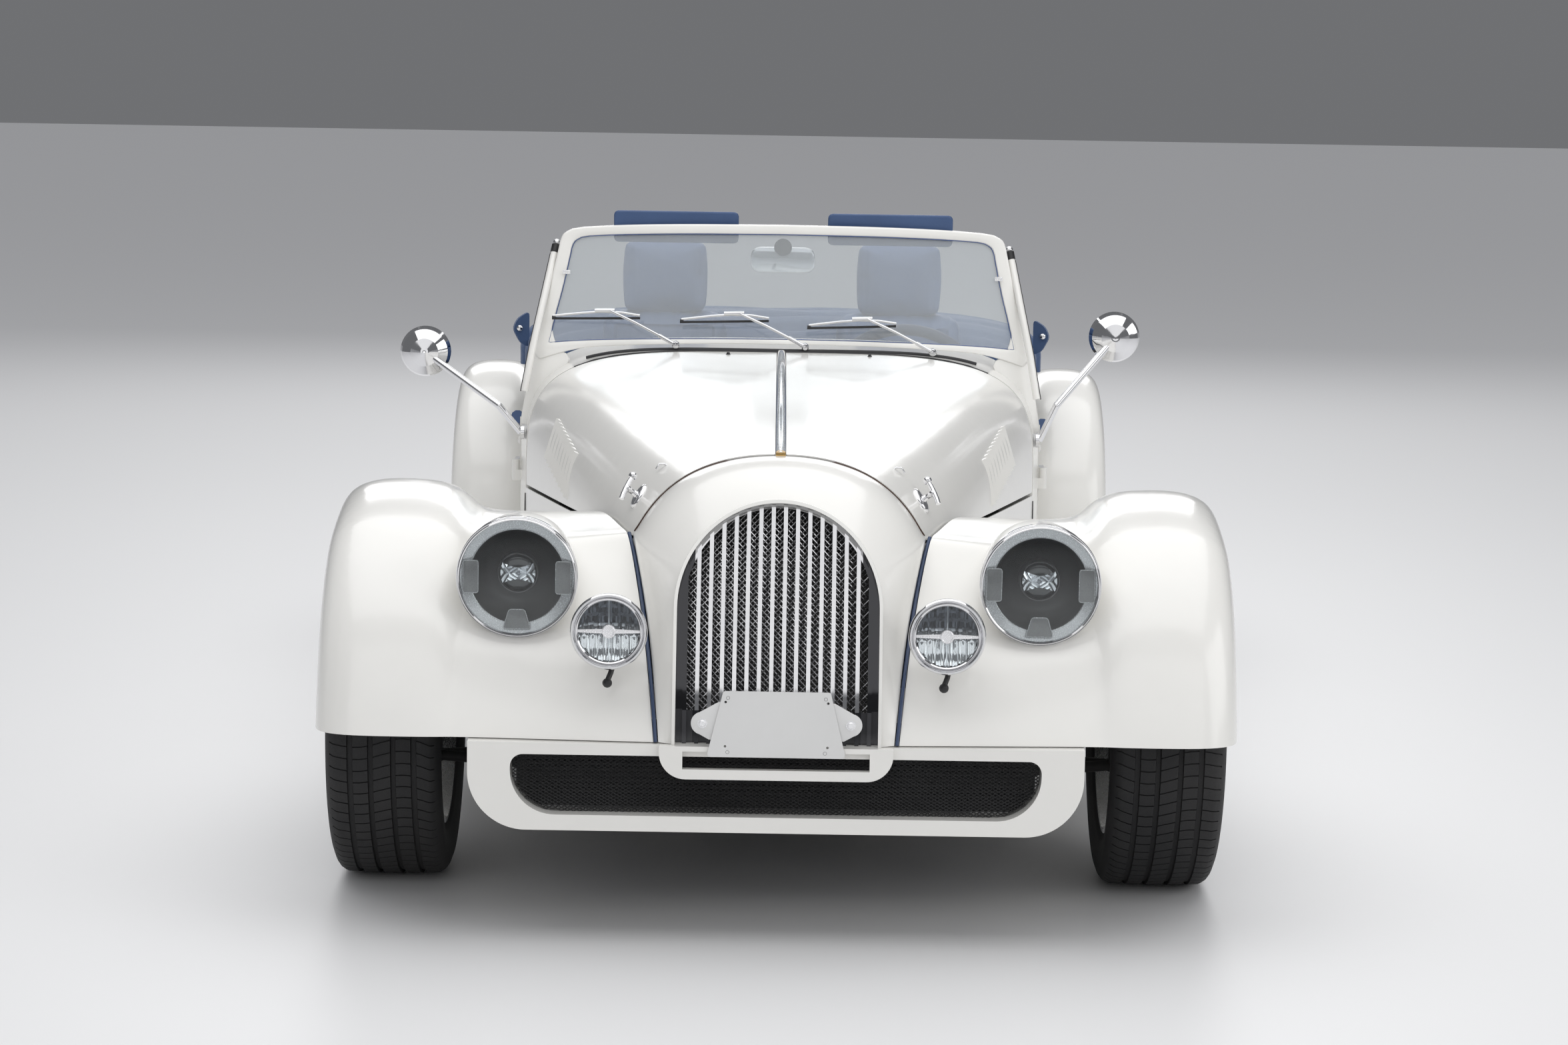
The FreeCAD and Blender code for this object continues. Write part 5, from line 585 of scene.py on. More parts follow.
for side, word in ((1, "left"), (-1, "right")):
    centre = (LAMP_X * side, LAMP_FRONT, LAMP_Z)
    bezel = turned("headlamp_bezel_" + word,
                   ((0.1078, -0.0170), (0.1092, -0.0208), (0.1112, -0.0219), (0.1126, -0.0210),
                    (0.1132, -0.0196), (0.1144, -0.0198), (0.1156, -0.0172), (0.1158, -0.0100),
                    (0.1158, -0.0004), (0.1100, -0.0004), (0.1070, -0.0080)), centre)
    finish_piece(bezel, chrome, "body")
    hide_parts("headlamps")
    ring = turned("headlamp_ring_" + word,
                  ((0.1095, -0.0140), (0.0918, -0.0072), (0.0908, -0.0084), (0.0896, -0.0074),
                   (0.0893, -0.0030), (0.1095, -0.0100)), centre)
    finish_piece(ring, satin_silver, "body")
    bowl = turned("headlamp_bowl_" + word,
                  ((0.0893, -0.0050), (0.0872, 0.0070), (0.0780, 0.0260), (0.0560, 0.0400),
                   (0.0300, 0.0460), (0.0000, 0.0470), (0.0000, 0.0500), (0.0320, 0.0490),
                   (0.0600, 0.0430), (0.0810, 0.0280), (0.0900, 0.0090), (0.0912, -0.0050)),
                  centre, closed=False)
    finish_piece(bowl, bowl_painted_shade, "body")
    glazing = turned("headlamp_glass_" + word,
                     ((0.0000, -0.0217), (0.0400, -0.0214), (0.0800, -0.0203),
                      (0.1085, -0.0186), (0.1085, -0.0168), (0.0800, -0.0185),
                      (0.0400, -0.0196), (0.0000, -0.0199)), centre, closed=False)
    finish_piece(glazing, glass, "body")
    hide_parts("headlamp_lenses")
    eye = (centre[0], centre[1], centre[2] + EYE_RISE)
    barrel = turned("headlamp_projector_" + word,
                    ((0.0385, 0.0440), (0.0385, 0.0120), (0.0378, 0.0096), (0.0362, 0.0092),
                     (0.0350, 0.0110), (0.0345, 0.0200), (0.0000, 0.0200),
                     (0.0000, 0.0440)), eye, steps=56)
    finish_piece(barrel, bowl_painted_shade, "body")
    dome = turned("headlamp_eye_" + word,
                  ((0.0346, 0.0180), (0.0320, 0.0138), (0.0240, 0.0100), (0.0120, 0.0080),
                   (0.0000, 0.0074), (0.0000, 0.0190), (0.0346, 0.0190)), eye, steps=48,
                  closed=False)
    finish_piece(dome, eye_finish, "body")
    # a grid of facets, pinched at its waist, that stands proud of the dark dome
    points = []
    for j in range(OPTIC_ROWS + 1):
        for i in range(OPTIC_COLUMNS + 1):
            across, up = 2 * i / OPTIC_COLUMNS - 1, 2 * j / OPTIC_ROWS - 1
            half = OPTIC_WAIST + OPTIC_FLARE * abs(across) ** 1.4
            reach = OPTIC_REACH * (1 - 0.12 * up ** 2)
            depth = OPTIC_DEPTH - FACET_DEPTH * ((i + j) % 2) + 0.0050 * across ** 2
            points.append((eye[0] + across * reach, eye[1] + depth, eye[2] + up * half))
    optic = mesh_piece("headlamp_optic_" + word, points, [], net_faces(OPTIC_COLUMNS, OPTIC_ROWS))
    bpy.ops.object.mode_set(mode="EDIT")
    bpy.ops.mesh.select_all(action="SELECT")
    bpy.ops.mesh.quads_convert_to_tris(quad_method="SHORTEST_DIAGONAL")
    bpy.ops.object.mode_set(mode="OBJECT")
    thickened(optic, (0, OPTIC_THICK, 0))
    finish_piece(optic, facet_finish, "body", angle=5)
    for label, corners in (("inner", [(-side * x, z) for x, z in SIDE_GUIDE]),
                           ("outer", [(side * x, z) for x, z in SIDE_GUIDE]),
                           ("low", LOW_GUIDE)):
        outline = eased(facing(centre, corners, GUIDE_FRONT), GUIDE_ROUND)
        guide = rounded_plate("headlamp_guide_" + label + "_" + word, outline, GUIDE_DEPTH,
                              GUIDE_EDGE)
        finish_piece(guide, guide_finish, "body", angle=40)
        rim = [point + Vector((0, -0.0001, 0)) for point in outline]
        edge = drawn_wires("headlamp_guide_edge_" + label + "_" + word, [rim + rim[:1]],
                           GUIDE_EDGE, sides=1)
        finish_piece(edge, satin_silver, "body", angle=60)

# Fog lamps: a chromed shell and a double rim hold a clear glass over a fluted reflector,
# with a tapered bar and a plain hub across it. Below hangs the black aiming lever.
FOG_X, FOG_Z = 0.315, 0.603
FOG_FRONT = -1.933
FOG_MIRROR, MIRROR_DEPTH, MIRROR_BOWL = 0.0580, 0.0185, 0.0230
FOG_COLUMNS, FOG_ROWS = 72, 36
FLUTE_PITCH, FLUTE_DEPTH = 0.0155, 0.0062
STEP_PITCH, STEP_DEPTH = 0.019, 0.0030
BALL_RADIUS, BALL_ALONG = 0.0092, 0.030
black_plastic = mottled("black_plastic", (0.014, 0.014, 0.015), (0.024, 0.024, 0.025),
                        (0.35, 0.5), scales=(5.0, 600.0), bump=0.1)
# painted reflection: the chromed reflector's colour is bright below its middle and dark above it
reflector_painted_reflection = painted_shade_by_height("fog_reflector", (0.88, 0.88, 0.89), (0.10, 0.11, 0.13),
                                    FOG_Z - 0.012, FOG_Z + 0.016, 0.08, Metallic=1.0)


def half_circle(radius, steps, along=0.0):
    """The (radius, place along) points from which a ball is turned."""
    return [(radius * math.sin(math.pi * i / steps), along - radius * math.cos(math.pi * i / steps))
            for i in range(steps + 1)]


for side, word in ((1, "left"), (-1, "right")):
    centre = (FOG_X * side, FOG_FRONT, FOG_Z)
    shell = turned("fog_shell_" + word,
                   ((0.0575, 0.0100), (0.0584, 0.0060), (0.0604, 0.0042), (0.0622, 0.0050),
                    (0.0630, 0.0080), (0.0640, 0.0076), (0.0646, 0.0034), (0.0668, 0.0006),
                    (0.0696, 0.0006), (0.0720, 0.0040), (0.0724, 0.0072), (0.0694, 0.0092),
                    (0.0700, 0.0120), (0.0700, 0.0220), (0.0640, 0.0400), (0.0500, 0.0600),
                    (0.0280, 0.0740), (0.0000, 0.0778), (0.0000, 0.0700), (0.0300, 0.0660),
                    (0.0540, 0.0440), (0.0575, 0.0220)), centre, closed=False)
    finish_piece(shell, chrome, "body")
    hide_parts("fog_lamps")
    points = []
    for j in range(FOG_ROWS + 1):
        for i in range(FOG_COLUMNS + 1):
            across, up = 2 * i / FOG_COLUMNS - 1, 2 * j / FOG_ROWS - 1
            x = across * FOG_MIRROR * math.sqrt(1 - up ** 2 / 2)
            z = up * FOG_MIRROR * math.sqrt(1 - across ** 2 / 2)
            radius = math.hypot(x, z) / FOG_MIRROR
            low_half = min(max(-z / 0.010, 0), 1)
            flute = abs(math.sin(math.pi * x / FLUTE_PITCH)) * (FLUTE_DEPTH * low_half + 0.0020)
            step = STEP_DEPTH * (int((z + 0.2) / STEP_PITCH) % 2) * (1 - low_half)
            depth = MIRROR_DEPTH + MIRROR_BOWL * (1 - radius ** 2) - flute + step
            points.append((centre[0] + x, centre[1] + depth, centre[2] + z))
    back = mesh_piece("fog_reflector_" + word, points, [], net_faces(FOG_COLUMNS, FOG_ROWS))
    thickened(back, (0, 0.003, 0))
    finish_piece(back, reflector_painted_reflection, "body", angle=50)
    hub = turned("fog_hub_" + word,
                 ((0.0000, 0.0052), (0.0086, 0.0052), (0.0090, 0.0040), (0.0108, 0.0030),
                  (0.0124, 0.0040), (0.0128, 0.0070), (0.0128, 0.0200), (0.0000, 0.0200)),
                 centre, steps=48, closed=False)
    finish_piece(hub, satin_silver, "body")
    taper = [(-0.0585, -0.0026), (-0.012, -0.0044), (0.012, -0.0044), (0.0585, -0.0026),
             (0.0585, 0.0026), (0.012, 0.0044), (-0.012, 0.0044), (-0.0585, 0.0026)]
    bar = rounded_plate("fog_bar_" + word, facing(centre, taper, 0.0066), 0.0060, 0.0014)
    finish_piece(bar, satin_silver, "body")
    post = [(-0.0012, -0.0580), (0.0012, -0.0580), (0.0012, 0.0580), (-0.0012, 0.0580)]
    divider = rounded_plate("fog_divider_" + word, facing(centre, post, 0.0125), 0.0030, 0.0004)
    finish_piece(divider, facet_finish, "body")
    cover = turned("fog_glass_" + word,
                   ((0.0000, 0.0100), (0.0300, 0.0102), (0.0588, 0.0108), (0.0588, 0.0122),
                    (0.0300, 0.0116), (0.0000, 0.0114)), centre, closed=False)
    finish_piece(cover, glass, "body")
    lever = drawn_wires("fog_lever_" + word,
                        [[(centre[0] + 0.006, centre[1] + 0.052, centre[2] - 0.056),
                          (centre[0] + 0.006, centre[1] + 0.046, centre[2] - 0.074),
                          (centre[0] + 0.003, centre[1] + 0.036, centre[2] - 0.084),
                          (centre[0] - 0.002, centre[1] + 0.030, centre[2] - 0.096)]],
                        0.0052, sides=3)
    finish_piece(lever, black_plastic, "body")
    collar = [(-0.010, -0.0745), (0.016, -0.0745), (0.016, -0.0700), (-0.010, -0.0700)]
    bracket = rounded_plate("fog_bracket_" + word, facing(centre, collar, 0.0330), 0.0220,
                            0.0010)
    finish_piece(bracket, black_plastic, "body")
    ball = turned("fog_lever_ball_" + word, half_circle(BALL_RADIUS, 10, BALL_ALONG),
                  (centre[0] - 0.003, centre[1], centre[2] - 0.102), steps=28, closed=False)
    finish_piece(ball, black_plastic, "body")

# Valance mesh: expanded black steel with small diamonds, in the long opening below the
# cowl. It is one sheet, so its strands cross without a weave.
OPENING_HALF = 0.4975
OPENING_LOW, OPENING_HIGH = 0.2523, 0.3667
DIAMOND_WIDE, DIAMOND_HIGH = 0.0115, 0.0065
OPENING_CORNERS = ((0.084, OPENING_LOW, 1), (0.024, OPENING_HIGH, -1))
STRAND, STRAND_BACK = 0.0011, 0.0012
low_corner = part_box("valance_mesh")[0]
dress(black_plastic, "valance_mesh")


def in_opening(x, z):
    """Whether a place lies inside the valance's long, round-cornered opening."""
    if abs(x) > OPENING_HALF or z < OPENING_LOW or z > OPENING_HIGH:
        return False
    for radius, edge, way in OPENING_CORNERS:
        dx = abs(x) - (OPENING_HALF - radius)
        dz = (edge + way * radius - z) * way
        if dx > 0 and dz > 0 and math.hypot(dx, dz) > radius:
            return False
    return True


runs = []
columns = int(OPENING_HALF * 2 / DIAMOND_WIDE) + 2
rows = int((OPENING_HIGH - OPENING_LOW) / DIAMOND_HIGH) * 2 + 2
for way in (1, -1):
    for start in range(-columns * 2, columns * 2, 2):
        run = []
        for step in range(rows + 1):
            x = (start + way * step) * DIAMOND_WIDE / 2
            z = OPENING_LOW + step * DIAMOND_HIGH / 2
            if in_opening(x, z):
                run.append((x, low_corner.y + STRAND_BACK, z))
        if len(run) > 1:
            runs.append([run[0], run[-1]])
valance_weave = drawn_wires("valance_expanded_mesh", runs, STRAND)
finish_piece(valance_weave, black_plastic, "body", angle=60)
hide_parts("valance_mesh")

# Number plate: a pale aluminium plate, left blank, on two rounded ears that are bolted
# ahead of the grille's foot. Four small holes wait for a plate.
PLATE_FRONT = -1.9445
EAR_X, EAR_Z, EAR_RADIUS = 0.1384, 0.4348, 0.0215
EAR_THICK = 0.0030
HOLE_X, HOLE_LEVELS = 0.0910, (("high", 0.4845), ("low", 0.3815))
plate_finish = mottled("pale_plate_coating", (0.70, 0.70, 0.69), (0.67, 0.67, 0.66),
                       (0.38, 0.48), scales=(6.0, 500.0), bump=0.02)
dress(plate_finish, "plate_bracket")
for side, word in ((1, "left"), (-1, "right")):
    lobe = [(side * (EAR_X + EAR_RADIUS * math.cos(math.radians(angle))),
             EAR_Z + EAR_RADIUS * math.sin(math.radians(angle))) for angle in range(-75, 76, 10)]
    lobe += [(side * 0.1085, 0.4755), (side * 0.1030, 0.4755), (side * 0.1160, 0.4040),
             (side * 0.1260, 0.4040)]
    ear = rounded_plate("plate_ear_" + word, facing((0, 0, 0), lobe, PLATE_FRONT + EAR_THICK),
                        EAR_THICK, 0.0006)
    finish_piece(ear, plate_finish, "body", angle=40)
    bolt = turned("plate_bolt_" + word,
                  ((0.0000, -0.0050), (0.0050, -0.0048), (0.0066, -0.0030), (0.0068, -0.0010),
                   (0.0092, -0.0008), (0.0094, 0.0020), (0.0000, 0.0020)),
                  (side * EAR_X, PLATE_FRONT + EAR_THICK, EAR_Z), steps=32, closed=False)
    finish_piece(bolt, satin_silver, "body")
    for level, z in HOLE_LEVELS:
        hole = turned("plate_hole_" + level + "_" + word,
                      ((0.0000, -0.0002), (0.0026, -0.0002), (0.0032, -0.0008),
                       (0.0036, -0.0002), (0.0036, 0.0010), (0.0000, 0.0010)),
                      (side * HOLE_X, PLATE_FRONT, z), steps=24, closed=False)
        finish_piece(hole, black_plastic, "body")

# Towing eye: a loop of round steel bar, bent to shape and coated black. Its two ends are
# fixed up behind the middle of the valance, so that only the loop hangs below it.
EYE_BAR = 0.0040
EYE_HALF = ((0.0260, -1.8500, 0.2460), (0.0262, -1.8520, 0.2370), (0.0200, -1.8530, 0.2305),
            (0.0100, -1.8532, 0.2290))
towing_eye = drawn_wires("towing_eye", [[*EYE_HALF, *((-x, y, z) for x, y, z in EYE_HALF[::-1])]],
                         EYE_BAR, sides=3)
finish_piece(towing_eye, chassis_finish, "body", angle=60)

# Bonnet trim: a brass cap ends the chromed strip at the front, a dark bead lies along the
# cowl's rear edge, and rubber fills the joint between the bonnet and the scuttle.
BEAD_RADIUS, SEAL_RADIUS = 0.0017, 0.0022
COWL_REAR, COWL_SWEEP, BEAD_FOOT = -1.6195, range(0, 181, 4), 0.640
SCUTTLE_JOINT, SCUTTLE_SWEEP = -0.2790, range(-24, 205, 4)
SWEEP_HEIGHT = 0.62
TIP_HEIGHT, TIP_LENGTH, TIP_RISE, TIP_EASING = 0.899, 0.016, 0.0012, 0.0012
bead_finish = mottled("bead_leather", (0.060, 0.026, 0.014), (0.045, 0.02, 0.012), (0.5, 0.65),
                      scales=(20.0, 900.0), bump=0.1)
brass = mottled("brass", (0.66, 0.44, 0.17), (0.58, 0.38, 0.15), (0.16, 0.26),
                scales=(30.0, 400.0), bump=0.02, Metallic=1.0)
seal_rubber = mottled("seal_rubber", (0.020, 0.020, 0.022), (0.032, 0.032, 0.034), (0.5, 0.65),
                      scales=(10.0, 700.0), bump=0.1)


def skin(*names):
    """The outer faces of CAD nodes, to lay trim on."""
    points, faces = [], []
    for name in names:
        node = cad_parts[name]
        start = len(points)
        points += [node.matrix_world @ vertex.co for vertex in node.data.vertices]
        faces += [[start + i for i in face.vertices] for face in node.data.polygons]
    return BVHTree.FromPolygons(points, faces)


def laid(surface, start, way, lift=0.0):
    """The first place on a surface from a start along a way, and the normal there."""
    place, normal = surface.ray_cast(Vector(start), Vector(way).normalized())[:2]
    if place is None:
        return None, None
    if normal.dot(Vector(way)) > 0:
        normal = -normal
    return place + normal * lift, normal


def arched_line(surface, along, reach, sweep, lift):
    """A line on a surface at one place along the car, from one side over to the other."""
    line = []
    for step in sweep:
        angle = math.radians(step)
        out = Vector((math.cos(angle), 0, math.sin(angle)))
        start = Vector((0, along, SWEEP_HEIGHT)) + out * reach
        line.append(laid(surface, start, -out, lift)[0])
    return [place for place in line if place is not None]


cowl_line = arched_line(skin("radiator_cowl"), COWL_REAR, 0.6, COWL_SWEEP, 0.0006)
bead = [place for place in cowl_line if place.z > BEAD_FOOT]
cowl_bead = drawn_wires("cowl_rear_bead", [bead], BEAD_RADIUS, sides=2)
finish_piece(cowl_bead, bead_finish, "body", angle=60)

strip_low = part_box("bonnet_strip")[0]
tip = mesh_piece("bonnet_strip_tip",
                 [(x, strip_low.y + y, TIP_HEIGHT + z) for x, y, z in
                  ((-0.0102, 0.0, -0.004), (0.0102, 0.0, -0.004), (0.0102, 0.0, 0.0030),
                   (0.0060, 0.0, 0.0056), (-0.0060, 0.0, 0.0056), (-0.0102, 0.0, 0.0030))],
                 [], [(0, 1, 2, 3, 4, 5)])
thickened(tip, (0, TIP_LENGTH, TIP_RISE), TIP_EASING)
finish_piece(tip, brass, "body")

scuttle_skin = skin("scuttle")
seal = arched_line(scuttle_skin, SCUTTLE_JOINT, 0.8, SCUTTLE_SWEEP, 0.0004)
joint_seal = drawn_wires("scuttle_joint_seal", [seal], SEAL_RADIUS, sides=2)
finish_piece(joint_seal, seal_rubber, "body", angle=60)

# Bonnet catches: a chromed T-handle stands on an oval pad on each half of the bonnet, with
# a small hook beside it, and a black washer jet stands near the screen. They turn with it.
CATCH_PLACE, CATCH_SCALE = (0.278, -1.500), 1.4
CATCH_BALL = 0.0062
HOOK_PLACE, HOOK_RADIUS = (0.232, -1.470), 0.0021
HOOK_BEND = ((-0.012, 0, 0.0), (-0.004, -0.002, 0.006), (0.006, -0.003, 0.006),
             (0.012, -0.004, -0.004))
JET_X, JET_Y = {"left": 0.201, "right": -0.121}, -0.312
LOOK_DOWN, ABOVE = (0, 0, -1), 1.2
for side, word in ((1, "left"), (-1, "right")):
    half_skin = skin("bonnet_" + word)
    foot, normal = laid(half_skin, (side * CATCH_PLACE[0], CATCH_PLACE[1], ABOVE), LOOK_DOWN)
    turn = Vector((0, 1, 0)).rotation_difference(-normal).to_matrix().to_4x4()
    pad = turned("bonnet_catch_pad_" + word,
                 ((0.0000, -0.0042), (0.0080, -0.0040), (0.0125, -0.0026), (0.0140, 0.0000),
                  (0.0140, 0.0010), (0.0000, 0.0010)), (0, 0, 0), steps=36, closed=False)
    pad.data.transform(Matrix.Diagonal((1, 1, 1.45, 1)))
    stem = turned("bonnet_catch_stem_" + word,
                  ((0.0000, -0.0225), (0.0042, -0.0222), (0.0050, -0.0190), (0.0044, -0.0160),
                   (0.0036, -0.0120), (0.0044, -0.0050), (0.0058, -0.0030), (0.0000, -0.0030)),
                  (0, 0, 0), steps=28, closed=False)
    handle = drawn_wires("bonnet_catch_handle_" + word,
                         [[(0, -0.0205, -0.019), (0, -0.0215, -0.010), (0, -0.0218, 0.0),
                           (0, -0.0215, 0.010), (0, -0.0205, 0.019)]], 0.0036, sides=3)
    ball = turned("bonnet_catch_ball_" + word,
                  half_circle(CATCH_BALL, 8, -0.0205), (0, 0, 0.021), steps=24, closed=False)
    for piece in (pad, stem, handle, ball):
        piece.data.transform(Matrix.Translation(foot) @ turn @ Matrix.Scale(CATCH_SCALE, 4))
        finish_piece(piece, chrome, "bonnet_" + word, angle=50)
    foot, normal = laid(half_skin, (side * HOOK_PLACE[0], HOOK_PLACE[1], ABOVE), LOOK_DOWN, 0.0012)
    hook = drawn_wires("bonnet_hook_" + word,
                       [[foot + Vector((side * x, y, z)) for x, y, z in HOOK_BEND]],
                       HOOK_RADIUS, sides=2)
    finish_piece(hook, chrome, "bonnet_" + word, angle=60)
    foot, normal = laid(half_skin, (JET_X[word], JET_Y, ABOVE), LOOK_DOWN)
    jet = turned("washer_jet_" + word,
                 ((0.0000, -0.0055), (0.0026, -0.0052), (0.0036, -0.0036), (0.0040, -0.0010),
                  (0.0056, -0.0008), (0.0058, 0.0010), (0.0000, 0.0010)), (0, 0, 0),
                 steps=24, closed=False)
    turn = Vector((0, 1, 0)).rotation_difference(-normal).to_matrix().to_4x4()
    jet.data.transform(Matrix.Translation(foot) @ turn)
    finish_piece(jet, black_plastic, "bonnet_" + word)

# Screen frame: a painted frame whose sides flare out into the scuttle, round a single pane
# of bowed glass with square lower corners.
SCREEN_THICK, SCREEN_EASING = 0.020, 0.0045
SCREEN_HALF = 0.566
SCREEN_LOW, SCREEN_TALL = 0.800, 0.439
FOOT_ALONG, FOOT_BOW = -0.262, 0.066
HEAD_ALONG, HEAD_BOW = -0.128, 0.036
PANE_COLUMNS, PANE_ROWS = 40, 12
PANE_FACES = (0.0080, 0.0130)
FLARE_THICK = 0.0150


def screen_place(x, z, back=0.0):
    """A place on the raked and bowed screen, at a distance behind its front face."""
    bow = (x / SCREEN_HALF) ** 2
    foot, head = FOOT_ALONG + FOOT_BOW * bow, HEAD_ALONG + HEAD_BOW * bow
    return Vector((x, foot + (head - foot) * (z - SCREEN_LOW) / SCREEN_TALL + back, z))


def through(points, steps):
    """Points along a smooth line through a few given places."""
    line = []
    for i in range(len(points) - 1):
        p0, p1 = points[max(i - 1, 0)], points[i]
        p2, p3 = points[i + 1], points[min(i + 2, len(points) - 1)]
        for j in range(steps):
            t = j / steps
            line.append(tuple(0.5 * (2 * b + (c - a) * t + (2 * a - 5 * b + 4 * c - d) * t ** 2
                                     + (3 * b - 3 * c + d - a) * t ** 3)
                              for a, b, c, d in zip(p0, p1, p2, p3)))
    line.append(points[-1])
    return line


def turned_outwards(piece):
    """Turns all faces of a closed piece to look outwards."""
    select_only(piece)
    bpy.ops.object.mode_set(mode="EDIT")
    bpy.ops.mesh.select_all(action="SELECT")
    bpy.ops.mesh.normals_make_consistent(inside=False)
    bpy.ops.object.mode_set(mode="OBJECT")


# one half of each outline, from the middle of the head rail to the middle of the foot
inner_half = through([(0.0, 1.2130), (0.200, 1.2112), (0.360, 1.2065), (0.450, 1.2010)], 5)
inner_half += through([(0.4680, 1.1975), (0.4830, 1.1880), (0.4900, 1.1730)], 3)
inner_half += through([(0.4915, 1.1640), (0.5080, 1.0850), (0.5245, 1.0200), (0.5390, 0.9580)], 5)
inner_half += through([(0.5350, 0.9575), (0.470, 0.9640), (0.360, 0.9700), (0.180, 0.9755),
                       (0.0, 0.9775)], 5)
outer_half = through([(0.0, 1.2350), (0.200, 1.2332), (0.360, 1.2285), (0.462, 1.2215)], 5)
outer_half += through([(0.4890, 1.2170), (0.5100, 1.2050), (0.5180, 1.1850)], 3)
outer_half += through([(0.5205, 1.1720), (0.5390, 1.0850), (0.5580, 1.0000), (0.5720, 0.9300)], 5)
outer_half += through([(0.5600, 0.9180), (0.470, 0.9450), (0.360, 0.9560), (0.180, 0.9640),
                       (0.0, 0.9660)], 5)
inner_loop = inner_half + [(-x, z) for x, z in reversed(inner_half[1:-1])]
outer_loop = outer_half + [(-x, z) for x, z in reversed(outer_half[1:-1])]
count = len(inner_loop)
rings = []
for loop, back in ((inner_loop, 0.0030), (outer_loop, 0.0), (outer_loop, SCREEN_THICK),
                   (inner_loop, SCREEN_THICK)):
    rings.append([screen_place(x, z, back) for x, z in loop])
faces = []
for a in range(4):
    b = (a + 1) % 4
    for i in range(count):
        j = (i + 1) % count
        faces.append((a * count + i, a * count + j, b * count + j, b * count + i))
screen_frame = mesh_piece("screen_frame", [point for ring in rings for point in ring], [], faces)
turned_outwards(screen_frame)
easing = screen_frame.modifiers.new("easing", "BEVEL")
easing.width = SCREEN_EASING
easing.segments = 3
easing.limit_method = "ANGLE"
easing.angle_limit = math.radians(50)
bpy.ops.object.modifier_apply(modifier="easing")
finish_piece(screen_frame, paint, "body", angle=40)
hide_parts("windscreen_frame")
columns, rows = PANE_COLUMNS, PANE_ROWS
points, faces = [], []
for back in PANE_FACES:
    for j in range(rows + 1):
        for i in range(columns + 1):
            up, across = j / rows, 2 * i / columns - 1
            half = 0.5440 - 0.0500 * up
            x = across * half
            low = 0.9745 - 0.0200 * abs(across) ** 2.2
            high = 1.2160 - 0.0180 * across ** 2
            points.append(screen_place(x, low + (high - low) * up, back))
size = (rows + 1) * (columns + 1)
for j in range(rows):
    for i in range(columns):
        a = j * (columns + 1) + i
        faces.append((a, a + 1, a + columns + 2, a + columns + 1))
        faces.append((size + a, size + a + columns + 1, size + a + columns + 2, size + a + 1))
edge_loop = ([i for i in range(columns + 1)]
             + [(j + 1) * (columns + 1) - 1 for j in range(1, rows + 1)]
             + [rows * (columns + 1) + i for i in range(columns - 1, -1, -1)]
             + [j * (columns + 1) for j in range(rows - 1, 0, -1)])
for i, a in enumerate(edge_loop):
    b = edge_loop[(i + 1) % len(edge_loop)]
    faces.append((a, size + a, size + b, b))
pane = mesh_piece("screen_pane", points, [], faces)
turned_outwards(pane)
screen_glass = new_finish("screen_glass", (0.90, 0.94, 0.96), 0.0, Transmission_Weight=0.80,
                          IOR=1.45)
dress(screen_glass, "windscreen_glass")
finish_piece(pane, screen_glass, "body", angle=30)
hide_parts("windscreen_glass")

for side, word in ((1, "left"), (-1, "right")):
    edge = through([(0.5230, 1.1200), (0.5480, 1.0150), (0.5760, 0.9100), (0.5930, 0.8300),
                    (0.6020, 0.7700)], 4)
    edge += through([(0.5800, 0.7650), (0.5300, 0.8500), (0.4900, 0.9200), (0.5200, 0.9500),
                     (0.5350, 1.0200), (0.5180, 1.1200)], 3)
    flare = rounded_plate("screen_flare_" + word,
                          [screen_place(side * x, z, 0.0035) for x, z in edge], FLARE_THICK, 0.0030)
    finish_piece(flare, paint, "body", angle=50)

# Screen fittings: a rubber foot seals the frame to the scuttle. A painted post with a dark
# cap stands outside each side of the frame, and small clips hold the glass.
SEAL_FOOT, SEAL_ALONG = 0.0052, -0.2650
POST_TOP, POST_FOOT = (0.531, -0.098, 1.160), (0.573, -0.203, 0.948)
POST_KNEE, POST_RADIUS = (0.590, -0.222, 0.850), 0.0085
POST_CAP, POST_BEAD = 0.0098, 0.0016
CLIP_HALF = (0.009, 0.0045)
foot_run = []
for step in range(-26, 27):
    x = step * 0.0172
    y = SEAL_ALONG + FOOT_BOW * (x / SCREEN_HALF) ** 2
    place, normal = laid(scuttle_skin, (x, y, ABOVE), LOOK_DOWN, 0.0012)
    if place is not None:
        foot_run.append(place)
foot_seal = drawn_wires("screen_foot_seal", [foot_run], SEAL_FOOT, sides=2)
finish_piece(foot_seal, seal_rubber, "body", angle=60)
for side, word in ((1, "left"), (-1, "right")):
    top, foot, knee = (Vector((side * x, y, z)) for x, y, z in (POST_TOP, POST_FOOT, POST_KNEE))
    upwards = (top - foot).normalized()
    post = drawn_wires("screen_post_" + word, [[top, top.lerp(foot, 0.5), foot, knee]],
                       POST_RADIUS, sides=3)
    finish_piece(post, paint, "body", angle=60)
    cap = drawn_wires("screen_post_cap_" + word,
                      [[top + upwards * 0.001, top + upwards * 0.020]], POST_CAP, sides=3)
    finish_piece(cap, black_plastic, "body", angle=60)
    knob = turned("screen_post_knob_" + word,
                  half_circle(POST_RADIUS, 8), top + upwards * 0.026, steps=24, closed=False)
    finish_piece(knob, chrome, "body")
    bead = drawn_wires("screen_post_bead_" + word,
                       [[place + Vector((side * 0.0088, 0, 0)) for place in (top, foot, knee)]],
                       POST_BEAD, sides=1)
    finish_piece(bead, seal_rubber, "body", angle=60)
glass_skin = skin("windscreen_glass")
clip_places = ((-0.412, 1.206), (-0.092, 1.216), (0.084, 1.216), (0.407, 1.206),
               (-0.500, 1.130), (0.500, 1.130))
